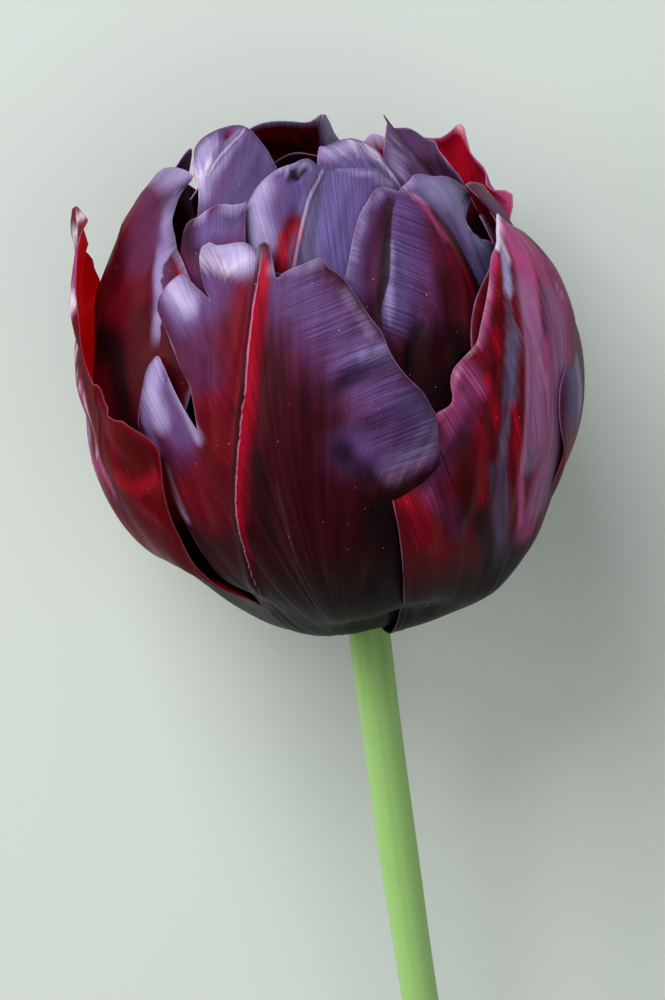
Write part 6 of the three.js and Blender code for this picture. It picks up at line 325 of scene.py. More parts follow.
-21.0,122.0],[-0.16,-9.0,128.0],[0,0.0,131.0],[0.16,9.0,128.0],[0.36,21.0,121.0],[0.56,32.0,112.0],[0.74,39.0,101.0],[0.88,40.0,88.0],[0.94,36.0,68.0],[1,28.0,46.0]],"tab":[[0.54,0.54,0.54,0.54,0.54,0.54,0.54,0.54,0.54],
[0.5576,0.572,0.584,0.5871,0.5883,0.5871,0.584,0.572,0.5576],[0.6055,0.6243,0.6406,0.6473,0.6501,0.6473,0.6406,0.6243,0.6055],[0.6393,0.6611,0.6806,0.6917,0.6969,0.6917,0.6806,0.6611,0.6393],[0.6589,0.6829,0.7049,0.7199,
0.7274,0.7199,0.7049,0.6829,0.6589],[0.6657,0.6923,0.7171,0.736,0.746,0.736,0.7171,0.6923,0.6657],[0.67,0.6986,0.7256,0.7478,0.76,0.7478,0.7256,0.6986,0.67]],"off":[[0.0,-0.006,-0.011,-0.016,-0.017,-0.015,-0.01,-0.005,
0.0],[0.055,-0.015,-0.075,-0.099,-0.093,-0.06,-0.03,-0.011,0.0],[0.033,-0.019,-0.065,-0.098,-0.106,-0.081,-0.044,-0.016,0.0],[-0.04,-0.046,-0.1,-0.172,-0.202,-0.163,-0.087,-0.032,0.0],[-0.017,-0.076,-0.207,-0.404,-0.5,
-0.397,-0.196,-0.066,0.0],[0.0,-0.097,-0.349,-0.873,-1.146,-0.866,-0.338,-0.092,0.0],[0.0,0.0,-0.276,-1.659,-2.417,-1.653,-0.263,0.0,0.0]],"step":2.0,"rows":38,"warp":[[[0.55,-0.32,-1.71],7.59,[-21.0,2.3,71.1]]],
"paint":[["plum",2,0.5,36,58,"z"],["dark",1,0.9,80,64,"z"],["dark",2,0.9,1.37,1.82,[-21.4,-2.1,68.2,-20.7,-0.1,69.5,-20.2,2.2,68.9]],["dark",0,0.7,46,20,"z"]],"fine_u":[],"lines":[]},
{"name":"inner_petal_back_left","az":-98,"h":2.85,"tb":8.86,"fb":20,"kz":1.38,"gam":[[-1,0.8],[0,1.3],[1,0.8]],"margin":[[-1,-28.0,46.0],[-0.94,-36.0,68.0],[-0.88,-40.0,88.0],[-0.74,-39.0,102.0],[-0.56,-31.0,112.0],
[-0.36,-20.0,121.0],[-0.16,-9.0,128.0],[0,0.0,131.0],[0.16,9.0,128.0],[0.36,21.0,121.0],[0.56,32.0,112.0],[0.74,39.0,101.0],[0.88,40.0,88.0],[0.94,36.0,68.0],[1,28.0,46.0]],"tab":[[0.58,0.58,0.58,0.58,0.58,0.58,0.58,
0.58,0.58],[0.5953,0.6096,0.6216,0.6249,0.6262,0.6249,0.6216,0.6101,0.5964],[0.6393,0.658,0.6743,0.6814,0.6844,0.6813,0.6743,0.6588,0.6412],[0.6598,0.6824,0.7024,0.7124,0.7168,0.7124,0.7023,0.6801,0.6548],[0.6692,0.694,
0.7162,0.7281,0.7337,0.7283,0.716,0.6895,0.6594],[0.6753,0.7001,0.7225,0.7363,0.7431,0.7365,0.7222,0.6953,0.6649],[0.68,0.7043,0.7267,0.7422,0.75,0.7423,0.7264,0.6997,0.67]],"off":[[0.0,0.0,0.0,0.0,0.0,0.0,0.0,0.0,0.0],
[0.0,-0.002,-0.005,-0.009,-0.01,-0.009,-0.011,-0.026,-0.078],[0.0,-0.008,-0.02,-0.037,-0.042,-0.032,-0.021,-0.021,-0.03],[0.0,-0.023,-0.066,-0.123,-0.139,-0.099,-0.048,-0.02,0.0],[0.0,-0.053,-0.161,-0.34,-0.388,-0.253,
-0.107,-0.034,0.0],[0.0,-0.073,-0.269,-0.786,-0.921,-0.508,-0.154,-0.042,0.0],[0.0,0.0,-0.105,-1.66,-2.045,-0.744,0.0,0.0,0.0]],"step":2.0,"rows":38,"warp":[],"paint":[["plum",2,0.8,36,58,"z"],["violet",0,0.5,58,74,"z"],
["crimson",1,0.5,40,60,"z"],["lilac",2,0.4,0.8,0.2,"edge"],["dark",1,0.85,74,58,"z"],["dark",0,0.7,46,20,"z"]],"fine_u":[],"lines":[]},
{"name":"heart_petal_1","az":150,"h":4.3,"tb":10.63,"fb":22,"kz":1.5,"gam":[[-1,0.8],[0,1.3],[1,0.8]],"margin":[[-1,-30.0,50.0],[-0.85,-42.0,84.0],[-0.6,-38.0,110.0],[-0.3,-20.0,134.0],[0,0.0,142.0],[0.3,20.0,133.0],
[0.6,38.0,109.0],[0.85,42.0,84.0],[1,30.0,50.0]],"tab":[[0.41,0.41,0.41,0.41,0.41,0.41,0.41,0.41,0.41],[0.4394,0.4434,0.4472,0.4495,0.4506,0.4495,0.4472,0.4434,0.4394],[0.475,0.4838,0.4922,0.4977,0.5005,0.4977,0.4922,
0.4838,0.475],[0.4792,0.489,0.4984,0.5091,0.5158,0.5091,0.4984,0.489,0.4792],[0.4755,0.4866,0.4978,0.5113,0.52,0.5113,0.4978,0.4866,0.4755],[0.4647,0.4764,0.4883,0.501,0.5088,0.501,0.4883,0.4764,0.4647],[0.45,0.4617,
0.473,0.4837,0.49,0.4837,0.473,0.4617,0.45]],"off":[[0.005,0.002,-0.001,-0.002,-0.002,-0.001,-0.0,-0.0,0.0],[0.16,0.055,0.011,-0.002,-0.002,-0.001,-0.0,-0.0,0.0],[0.125,0.053,0.018,0.003,-0.0,-0.0,-0.0,-0.0,0.0],[0.002,
0.027,0.017,0.006,0.001,0.0,-0.0,-0.0,0.0],[0.0,0.051,0.032,0.012,0.003,0.001,0.0,0.0,0.0],[0.109,0.168,0.068,0.018,0.005,0.001,0.0,0.0,0.0],[0.38,0.479,0.073,0.0,0.0,0.0,0.0,0.0,0.0]],"step":2.6,"rows":30,"warp":[],
"paint":[["plum",2,0.7,30,55,"z"],["crimson",2,0.6,20,40,"z"],["violet",0,0.4,50,68,"z"],["lilac",2,0.3,0.8,0.2,"edge"],["dark",2,0.5,60,30,"z"]],"fine_u":[],"lines":[]},
{"name":"heart_petal_2","az":-60,"h":4.35,"tb":10.54,"fb":22,"kz":1.5,"gam":[[-1,0.8],[0,1.3],[1,0.8]],"margin":[[-1,-30.0,50.0],[-0.85,-42.0,84.0],[-0.6,-38.0,106.0],[-0.3,-20.0,130.0],[0,0.0,138.0],[0.3,20.0,129.0],
[0.6,38.0,105.0],[0.85,42.0,84.0],[1,30.0,50.0]],"tab":[[0.41,0.41,0.41,0.41,0.41,0.41,0.41,0.41,0.41],[0.4394,0.4434,0.4472,0.4495,0.4506,0.4495,0.4472,0.4434,0.4394],[0.475,0.4838,0.4922,0.4977,0.5005,0.4977,0.4922,
0.4838,0.475],[0.4792,0.489,0.4984,0.5091,0.5158,0.5091,0.4984,0.489,0.4792],[0.4755,0.4866,0.4978,0.5113,0.52,0.5113,0.4978,0.4866,0.4755],[0.4647,0.4764,0.4883,0.501,0.5088,0.501,0.4883,0.4764,0.4647],[0.45,0.4617,
0.473,0.4837,0.49,0.4837,0.473,0.4617,0.45]],"off":[[0.027,0.013,0.0,-0.012,-0.023,-0.028,-0.025,-0.015,-0.0],[0.212,0.068,0.011,-0.026,-0.067,-0.107,-0.133,-0.072,-0.015],[0.071,0.038,0.007,-0.022,-0.054,-0.084,-0.102,
-0.1,-0.178],[0.0,0.01,0.001,-0.012,-0.028,-0.043,-0.056,-0.086,-0.234],[0.0,0.002,-0.0,-0.005,-0.011,-0.016,-0.02,-0.021,0.0],[0.0,0.0,-0.0,-0.001,-0.003,-0.005,-0.005,-0.005,0.0],[0.0,0.0,0.0,0.0,0.0,0.0,0.0,0.0,0.0]],
"step":2.6,"rows":30,"warp":[],"paint":[["plum",2,0.7,30,55,"z"],["crimson",2,0.6,20,40,"z"],["violet",0,0.4,50,68,"z"],["lilac",2,0.3,0.8,0.2,"edge"],["dark",2,0.5,60,30,"z"]],"fine_u":[],"lines":[]},
{"name":"heart_petal_3","az":85,"h":5.0,"tb":10.41,"fb":22,"kz":1.55,"gam":[[-1,0.8],[0,1.3],[1,0.8]],"margin":[[-1,-30.0,50.0],[-0.85,-42.0,84.0],[-0.6,-38.0,108.0],[-0.3,-20.0,132.0],[0,0.0,140.0],[0.3,20.0,131.0],
[0.6,38.0,107.0],[0.85,42.0,84.0],[1,30.0,50.0]],"tab":[[0.369,0.369,0.369,0.369,0.369,0.369,0.369,0.369,0.369],[0.3955,0.3991,0.4025,0.4046,0.4055,0.4046,0.4025,0.3991,0.3955],[0.4275,0.4354,0.4429,0.448,0.4504,0.448,
0.4429,0.4354,0.4275],[0.4313,0.4401,0.4486,0.4582,0.4642,0.4582,0.4486,0.4401,0.4313],[0.4279,0.438,0.448,0.4601,0.468,0.4601,0.448,0.438,0.4279],[0.4182,0.4288,0.4395,0.4509,0.4579,0.4509,0.4395,0.4288,0.4182],[0.405,
0.4155,0.4257,0.4354,0.441,0.4354,0.4257,0.4155,0.405]],"off":[[-0.011,-0.043,-0.054,-0.044,-0.032,-0.018,-0.01,-0.005,-0.002],[-0.033,-0.057,-0.059,-0.04,-0.036,-0.034,-0.047,-0.071,-0.146],[0.0,-0.021,-0.025,-0.023,
-0.031,-0.048,-0.068,-0.079,-0.109],[0.0,-0.007,-0.011,-0.019,-0.039,-0.071,-0.096,-0.064,-0.003],[0.0,-0.003,-0.007,-0.019,-0.046,-0.088,-0.123,-0.064,0.0],[0.0,-0.001,-0.004,-0.013,-0.031,-0.056,-0.067,-0.038,0.0],
[0.0,0.0,0.0,0.0,0.0,-0.0,-0.0,0.0,0.0]],"step":2.6,"rows":30,"warp":[],"paint":[["plum",2,0.7,30,55,"z"],["crimson",2,0.6,20,40,"z"],["violet",0,0.4,50,68,"z"],["lilac",2,0.3,0.8,0.2,"edge"],["dark",2,0.5,60,30,"z"]],
"fine_u":[],"lines":[]},
{"name":"heart_petal_4","az":-130,"h":4.9,"tb":10.86,"fb":22,"kz":1.55,"gam":[[-1,0.8],[0,1.3],[1,0.8]],"margin":[[-1,-30.0,50.0],[-0.85,-42.0,84.0],[-0.6,-38.0,108.0],[-0.3,-20.0,132.0],[0,0.0,140.0],[0.3,20.0,131.0],
[0.6,38.0,107.0],[0.85,42.0,84.0],[1,30.0,50.0]],"tab":[[0.3608,0.3608,0.3608,0.3608,0.3608,0.3608,0.3608,0.3608,0.3608],[0.3867,0.3902,0.3935,0.3956,0.3965,0.3956,0.3935,0.3902,0.3867],[0.418,0.4257,0.4331,0.438,0.4404,
0.438,0.4331,0.4257,0.418],[0.4217,0.4303,0.4386,0.448,0.4539,0.448,0.4386,0.4303,0.4217],[0.4184,0.4282,0.4381,0.4499,0.4576,0.4499,0.4381,0.4282,0.4184],[0.4089,0.4193,0.4297,0.4408,0.4477,0.4408,0.4297,0.4193,0.4089],
[0.396,0.4063,0.4162,0.4257,0.4312,0.4257,0.4162,0.4063,0.396]],"off":[[0.048,0.034,0.021,0.011,0.005,0.0,-0.003,-0.007,-0.011],[0.333,0.163,0.067,0.022,0.005,-0.005,-0.022,-0.07,-0.198],[0.119,0.085,0.042,0.016,0.004,
-0.005,-0.022,-0.063,-0.156],[0.0,0.025,0.017,0.007,0.002,-0.002,-0.009,-0.017,0.0],[0.0,0.008,0.006,0.003,0.001,-0.001,-0.003,-0.004,0.0],[0.001,0.008,0.003,0.001,0.0,-0.0,-0.001,-0.001,0.0],[0.017,0.022,0.0,0.0,0.0,
0.0,0.0,0.0,0.0]],"step":2.6,"rows":30,"warp":[],"paint":[["plum",2,0.7,30,55,"z"],["crimson",2,0.6,20,40,"z"],["violet",0,0.4,50,68,"z"],["lilac",2,0.3,0.8,0.2,"edge"],["dark",2,0.5,60,30,"z"]],"fine_u":[],"lines":[]},
{"name":"heart_petal_5","az":-165,"h":5.6,"tb":10.96,"fb":22,"kz":1.6,"gam":[[-1,0.8],[0,1.3],[1,0.8]],"margin":[[-1,-30.0,50.0],[-0.85,-42.0,84.0],[-0.6,-38.0,98.0],[-0.3,-20.0,122.0],[0,0.0,130.0],[0.3,20.0,121.0],
[0.6,38.0,97.0],[0.85,42.0,84.0],[1,30.0,50.0]],"tab":[[0.3034,0.3034,0.3034,0.3034,0.3034,0.3034,0.3034,0.3034,0.3034],[0.3252,0.3281,0.3309,0.3326,0.3334,0.3326,0.3309,0.3281,0.3252],[0.3515,0.358,0.3642,0.3683,0.3703,
0.3683,0.3642,0.358,0.3515],[0.3546,0.3619,0.3688,0.3767,0.3817,0.3767,0.3688,0.3619,0.3546],[0.3519,0.3601,0.3684,0.3783,0.3848,0.3783,0.3684,0.3601,0.3519],[0.3439,0.3526,0.3613,0.3707,0.3765,0.3707,0.3613,0.3526,
0.3439],[0.333,0.3416,0.35,0.358,0.3626,0.358,0.35,0.3416,0.333]],"off":[[0.0,-0.005,-0.011,-0.018,-0.024,-0.026,-0.02,-0.011,0.0],[0.0,-0.004,-0.011,-0.027,-0.055,-0.099,-0.081,-0.029,0.0],[0.0,-0.003,-0.009,-0.021,
-0.039,-0.058,-0.05,-0.021,0.0],[0.0,-0.002,-0.005,-0.012,-0.02,-0.026,-0.021,-0.01,0.0],[0.0,-0.001,-0.003,-0.006,-0.009,-0.01,-0.008,-0.004,0.0],[0.0,-0.001,-0.001,-0.003,-0.003,-0.003,-0.002,-0.001,0.0],[0.0,0.0,0.0,
0.0,0.0,0.0,0.0,0.0,0.0]],"step":2.6,"rows":30,"warp":[],"paint":[["plum",2,0.7,30,55,"z"],["crimson",2,0.6,20,40,"z"],["violet",0,0.4,50,68,"z"],["lilac",2,0.3,0.8,0.2,"edge"],["dark",2,0.5,60,30,"z"]],"fine_u":[],"lines":[]}
]
''')

U9 = np.array([-1, -.78, -.55, -.28, 0, .28, .55, .78, 1.])
V7 = np.array([0, .12, .28, .48, .68, .85, 1.])


def slopes(xs, ys):
    d = (ys[1:] - ys[:-1]) / (xs[1:] - xs[:-1])[(...,) + (None,) * (ys.ndim - 1)]
    m = np.zeros_like(ys)
    m[0], m[-1] = d[0], d[-1]
    a, b = d[:-1], d[1:]
    same = a * b > 0
    m[1:-1] = np.where(same, 2 * a * b / np.where(same, a + b, 1), 0)
    return m


def pchip(xs, ys, x):
    m = slopes(xs, ys)
    i = np.clip(np.searchsorted(xs, x, side='right') - 1, 0, len(xs) - 2)
    h = xs[i + 1] - xs[i]
    t = np.clip((x - xs[i]) / h, 0, 1)
    return (2*t**3 - 3*t**2 + 1) * ys[i] + (t**3 - 2*t**2 + t) * h * m[i] + (-2*t**3 + 3*t**2) * ys[i+1] + (t**3 - t**2) * h * m[i+1]


def table(tab, u, v):
    tab = np.array(tab, float)
    shape = u.shape
    u, v = u.ravel(), v.ravel()
    rows = np.stack([pchip(U9, tab[k], u) for k in range(7)])
    m = slopes(V7, rows)
    j = np.clip(np.searchsorted(V7, v, side='right') - 1, 0, 5)
    g = lambda a, jj: np.take_along_axis(a, jj[None], 0)[0]
    h = V7[j + 1] - V7[j]
    t = (v - V7[j]) / h
    out = (2*t**3-3*t**2+1)*g(rows, j) + (t**3-2*t**2+t)*h*g(m, j) + (-2*t**3+3*t**2)*g(rows, j+1) + (t**3-t**2)*h*g(m, j+1)
    return out.reshape(shape)


def angles(p, u, v):
    mg = np.array(p['margin'], float)
    sm, tm = pchip(mg[:, 0], mg[:, 1], u), pchip(mg[:, 0], mg[:, 2], u)
    ph, tb = u * p['fb'] * RAD, p['tb'] * RAD
    sb = np.arcsin(np.sin(tb) * np.sin(ph)) / RAD
    t0 = np.arctan2(np.sin(tb) * np.cos(ph), np.cos(tb)) / RAD
    gm = np.array(p['gam'], float)
    return sb + (sm - sb) * v ** pchip(gm[:, 0], gm[:, 1], u), t0 + (tm - t0) * v


def tri_area(s, t):
    ds1, dt1 = s[1:, :-1]-s[:-1, :-1], t[1:, :-1]-t[:-1, :-1]
    ds2, dt2 = s[:-1, 1:]-s[:-1, :-1], t[:-1, 1:]-t[:-1, :-1]
    ds3, dt3 = s[1:, 1:]-s[:-1, :-1], t[1:, 1:]-t[:-1, :-1]
    return np.minimum(ds1*dt3-dt1*ds3, ds3*dt2-dt3*ds2)


def spread(k):
    k[1:] |= k[:-1].copy(); k[:-1] |= k[1:].copy(); k[:, 1:] |= k[:, :-1].copy(); k[:, :-1] |= k[:, 1:].copy()


def unfold(s, t, iters=600, eps=.004):
    """Where fibres cross near a notch of the margin, an elliptic grid takes their place."""
    m = None
    for it in range(iters):
        if it % 30 == 0:
            bad = tri_area(s, t) < eps
            if not bad.any():
                break
            k = np.zeros(s.shape, bool)
            k[:-1, :-1] |= bad; k[1:, :-1] |= bad; k[:-1, 1:] |= bad; k[1:, 1:] |= bad
            for _ in range(8 + it // 60):
                spread(k)
            k[0] = k[-1] = False; k[:, 0] = k[:, -1] = False
            m = k if m is None else m | k
        su = (s[2:, 1:-1]-s[:-2, 1:-1])/2; sv = (s[1:-1, 2:]-s[1:-1, :-2])/2
        tu = (t[2:, 1:-1]-t[:-2, 1:-1])/2; tv = (t[1:-1, 2:]-t[1:-1, :-2])/2
        a = sv**2+tv**2; b = su*sv+tu*tv; g = su**2+tu**2
        den = 2*(a+g)+1e-12
        mm = m[1:-1, 1:-1]
        for q in (s, t):
            x = (q[2:, 2:]-q[2:, :-2]-q[:-2, 2:]+q[:-2, :-2])/4
            n = (a*(q[2:, 1:-1]+q[:-2, 1:-1])+g*(q[1:-1, 2:]+q[1:-1, :-2])-2*b*x)/den
            q[1:-1, 1:-1][mm] += .8*(n-q[1:-1, 1:-1])[mm]
    return s, t


def place(p, s, t, k, off):
    sr, tr, az = s * RAD, t * RAD, p['az'] * RAD
    dx, dy, dz = np.cos(sr) * np.sin(tr), np.sin(sr), -np.cos(sr) * np.cos(tr)
    r = HEAD_R * k
    bul = -1.3 * np.sin(np.pi * np.clip((t - 4) / 50, 0, 1)) ** 2 * np.cos(sr)
    P = np.stack([r * (dx * np.cos(az) - dy * np.sin(az)), r * (dx * np.sin(az) + dy * np.cos(az)), p['h'] + r * p['kz'] * (dz + 1) + bul - HEAD_R], -1)
    P = P + off[..., None] * P / np.linalg.norm(P, axis=-1, keepdims=True)
    P[..., 2] += HEAD_R
    return P


def seg_dist(P, line):
    """distance (mm) from points to a polyline, and how far along it (0 to 1)"""
    line = np.array(line, float).reshape(-1, 3)
    best = np.full(len(P), 1e9); along = np.zeros(len(P))
    if len(line) == 1:
        return np.linalg.norm(P - line[0], axis=1), along
    L = np.linalg.norm(line[1:] - line[:-1], axis=1); tot = 0; T = L.sum() + 1e-9
    for a, b, l in zip(line[:-1], line[1:], L):
        q = np.clip((P - a) @ (b - a) / max(l * l, 1e-9), 0, 1)
        d = np.linalg.norm(P - a - q[:, None] * (b - a), axis=1)
        nearer = d < best
        along = np.where(nearer, (tot + q * l) / T, along)
        best = np.minimum(best, d); tot += l
    return best, along


def seg_signed(P, out, line):
    """the same, with a sign: positive on the right of the line, seen from outside"""
    line = np.array(line, float).reshape(-1, 3)
    best = np.full(len(P), 1e9); sd = np.zeros(len(P)); along = np.zeros(len(P))
    L = np.linalg.norm(line[1:] - line[:-1], axis=1); tot = 0; T = L.sum() + 1e-9
    for a, b, l in zip(line[:-1], line[1:], L):
        q = np.clip((P - a) @ (b - a) / max(l * l, 1e-9), 0, 1)
        w = P - a - q[:, None] * (b - a)
        d = np.linalg.norm(w, axis=1)
        sg = np.where((np.cross(out, b - a) * w).sum(1) < 0, -1, 1)
        nearer = d < best
        along = np.where(nearer, (tot + q * l) / T, along)
        sd = np.where(nearer, sg * d, sd)
        best = np.minimum(best, d); tot += l
    return sd, along


def smooth(a, b, x):
    t = np.clip((x - a) / (b - a), 0, 1)
    return t * t * (3 - 2 * t)


def columns(p, step):
    mg = np.array(p['margin']); out = [mg[0, 0]]
    for a, b in zip(mg[:-1], mg[1:]):
        L = np.hypot((b[1]-a[1])*math.cos(math.radians((a[1]+b[1])/2)*.7), b[2]-a[2])
        near = any(lo <= (a[0] + b[0]) / 2 <= hi for lo, hi in p['fine_u'])
        n = max(1, int(math.ceil(L / step)), int(math.ceil((b[0] - a[0]) / .006)) if near else 1)
        out += [a[0]+(b[0]-a[0])*k/n for k in range(1, n+1)]
    return np.array(out)


def grid_normals(P):
    """area-weighted vertex normals of a grid, pointing away from the head's middle"""
    du = np.zeros_like(P); dv = np.zeros_like(P)
    du[1:-1] = P[2:] - P[:-2]; du[0] = P[1] - P[0]; du[-1] = P[-1] - P[-2]
    dv[:, 1:-1] = P[:, 2:] - P[:, :-2]; dv[:, 0] = P[:, 1] - P[:, 0]; dv[:, -1] = P[:, -1] - P[:, -2]
    n = np.cross(du, dv)
    l = np.linalg.norm(n, axis=-1, keepdims=True)
    n = n / np.maximum(l, 1e-9)
    c = (n * (P - np.array([0, 0, HEAD_R]))).sum(-1)
    if np.median(c) < 0:
        n = -n
    return n


MASKS = ['crimson', 'plum', 'violet', 'blue', 'slate', 'red', 'dark', 'pink', 'lilac', 'white', 'cross', 'stri', 'thin', 'wine']


def build_petal(p, index, mat):
    us = columns(p, p['step'])
    nv = p['rows']
    vs = np.linspace(0, 1, nv)
    U, V = np.meshgrid(us, vs, indexing='ij')
    s, t = unfold(*angles(p, U, V))
    P = place(p, s, t, table(p['tab'], U, V), table(p['off'], U, V))
    for vec, rad, line in p['warp']:
        d = seg_dist(P.reshape(-1, 3), line)[0].reshape(U.shape)
        P = P + np.exp(-(d / rad) ** 2)[..., None] * np.array(vec)
    C0 = np.array([0, 0, HEAD_R])
    out = (P - C0) / np.linalg.norm(P - C0, axis=-1, keepdims=True)
    flat = P.reshape(-1, 3)
    # margin polyline and the distance to it
    rim = np.concatenate([P[0, int(nv * .35):-1], P[:, -1], P[-1, int(nv * .35):-1][::-1]])
    edge = np.full(len(flat), 1e9)
    for k in range(0, len(rim)):
        edge = np.minimum(edge, ((flat - rim[k]) ** 2).sum(1))
    edge = np.sqrt(edge).reshape(U.shape)
    # relief
    lift = np.zeros(U.shape)
    for kind, side, amount, radius, soft, line in p['paint']:
        if kind == 'relief':
            d, al = seg_dist(flat, line)
            f = np.exp(-(d / radius) ** 2) * smooth(0, soft, al) * (1 - smooth(1 - soft, 1, al)) if soft > 0 else np.exp(-(d / radius) ** 2)
            lift += (amount * f).reshape(U.shape)
    L = np.concatenate([[0], np.cumsum(np.linalg.norm(P[1:, -1] - P[:-1, -1], axis=1))])
    L = np.interp(0, us, L) * -1 + L
    along = np.concatenate([np.zeros((len(us), 1)), np.cumsum(np.linalg.norm(P[:, 1:] - P[:, :-1], axis=2), axis=1)], 1)
    ph = index * 1.7
    wave = .5 * np.sin(L / 2.9 + ph) + .3 * np.sin(L / 1.63 + 2.1 * ph) + .35 * np.sin(L / 5.3 + .7 * ph)
    lift += p.get('ruf', .22) * wave[:, None] * np.exp(-edge / 3.2)
    # faint lengthwise ribs
    ribs = np.sin(L / 1.15 + ph)[:, None] * .5 + np.sin(L / 2.3 + 3 * ph)[:, None] * .5
    lift += .05 * ribs * smooth(.1, .5, V)
    # the margin turns a little in or out
    lift += p.get('curl', -.25) * np.exp(-edge / 1.1)
    P = P + lift[..., None] * out
    if p['name'] == 'outer_petal_back':
        z = CA * P[..., 0] + SA * (P[..., 2] - HEAD_R) + HEAD_R - FLAT
        P = P + np.maximum(.2 - z, 0)[..., None] * np.array([CA, 0, SA])
    n = grid_normals(P)
    th = (.17 + .36 * np.exp(-V * 2.2) * smooth(0, 3, edge)) * p.get('thick', 1)
    outer, inner = P + n * th[..., None] / 2, P - n * th[..., None] / 2
    rimcap = P + 0 * n
    nu = len(us)
    N = nu * nv
    verts = np.concatenate([outer.reshape(-1, 3), inner.reshape(-1, 3)])
    I, J = np.meshgrid(np.arange(nu - 1), np.arange(nv - 1), indexing='ij')
    a = (I * nv + J).ravel(); b = a + nv; c = b + 1; d = a + 1
    # which way round is outward
    q = np.cross(outer[1:, :-1] - outer[:-1, :-1], outer[1:, 1:] - outer[:-1, :-1])
    flip = np.median((q * n[:-1, :-1]).sum(-1)) < 0
    f1 = np.stack([a, b, c, d], 1); f2 = np.stack([a, d, c, b], 1) + N
    if flip:
        f1, f2 = f1[:, ::-1], f2[:, ::-1]
    loop = [i * nv for i in range(nu)] + [(nu - 1) * nv + j for j in range(1, nv)] + [i * nv + nv - 1 for i in range(nu - 2, -1, -1)] + [j for j in range(nv - 2, 0, -1)]
    loop = np.array(loop); nx = np.roll(loop, -1)
    f3 = np.stack([loop + N, nx + N, nx, loop], 1)
    if flip:
        f3 = f3[:, ::-1]
    faces = np.concatenate([f1, f2, f3])
    me = bpy.data.meshes.new(p['name'] + '_bloom')
    row = lying(verts)
    me.vertices.add(len(row)); me.vertices.foreach_set('co', row.ravel())
    me.loops.add(len(faces) * 4); me.loops.foreach_set('vertex_index', faces.ravel().astype(np.int32))
    me.polygons.add(len(faces)); me.polygons.foreach_set('loop_start', np.arange(0, len(faces) * 4, 4, dtype=np.int32))
    me.update(calc_edges=True); me.validate()
    me.polygons.foreach_set('use_smooth', np.ones(len(me.polygons), bool))
    # colour masks on both sides
    masks = {m: np.zeros((2,) + U.shape) for m in MASKS}
    z = P[..., 2]
    for kind, side, amount, radius, soft, line in p['paint']:
        if kind == 'relief' or kind not in masks:
            continue
        if isinstance(line, str):   # a gradient: radius and soft are its ends
            x = {'z': z, 'v': V, 'edge': edge, 'u': U, 'ua': abs(U)}[line]
            val = amount * smooth(radius, soft, x) if soft > radius else amount * (1 - smooth(soft, radius, x))
        else:
            dd, al = seg_dist(flat, line)
            val = amount * (1 - smooth(radius - soft / 2, radius + soft / 2, dd)).reshape(U.shape)
        for k in ((0, 1) if side == 2 else (side,)):
            m = masks[kind][k]
            if amount < 0:
                masks[kind][k] = m * np.clip(1 + val, 0, 1)
            else:
                masks[kind][k] = np.maximum(m, val)
    def attr(name, values):
        at = me.attributes.new(name, 'FLOAT', 'POINT')
        at.data.foreach_set('value', np.ascontiguousarray(values, np.float32))
    for m in MASKS:
        attr('m_' + m, np.concatenate([masks[m][0].ravel(), masks[m][1].ravel()]))
    # sharp lines: the signed distance to them, which the material draws from
    lines = {kind: (np.full(len(flat), 9.), np.zeros(len(flat)), np.zeros(len(flat))) for kind in ('rib', 'fold', 'band', 'groove')}
    for kind, amount, line in p['lines']:
        sd, al = seg_signed(flat, out.reshape(-1, 3), line)
        amp = amount * smooth(0, .06, al) * (1 - smooth(.88, 1, al)) * (1 - smooth(2.2, 3.6, abs(sd)))
        d0, a0, r0 = lines[kind]
        near = abs(sd) < abs(d0)
        lines[kind] = (np.where(near, sd, d0), np.where(near, amp, a0), np.where(near, amp * (1 - smooth(.5, .8, al)), r0))
    for kind in lines:
        for part, val in zip('dar', lines[kind]):
            attr(kind + '_' + part, np.tile(val, 2))
    Lc = np.repeat(L[:, None], nv, 1)
    across = P @ np.array(p.get('cross', [1, 0, 0]))
    attr('vein2', np.tile(across.ravel(), 2))
    attr('vein', np.tile(Lc.ravel(), 2)); attr('along', np.tile(along.ravel(), 2)); attr('edge', np.tile(edge.ravel(), 2))
    attr('seed', np.full(2 * N, index * 3.7)); attr('inner', np.concatenate([np.zeros(N), np.ones(N)]))
    attr('fine', np.tile((smooth(.25, .8, V)).ravel(), 2))
    ob = bpy.data.objects.new(p['name'] + '_bloom', me)
    bpy.context.scene.collection.objects.link(ob)
    me.materials.append(mat)
    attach(ob, 'root'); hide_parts(p['name'])
    return ob


# ------------------------------------------------------------------ materials
def srgb(r, g, b):
    f = lambda c: (c / 255) / 12.92 if c <= 10 else (((c / 255) + .055) / 1.055) ** 2.4
    return (f(r), f(g), f(b), 1)


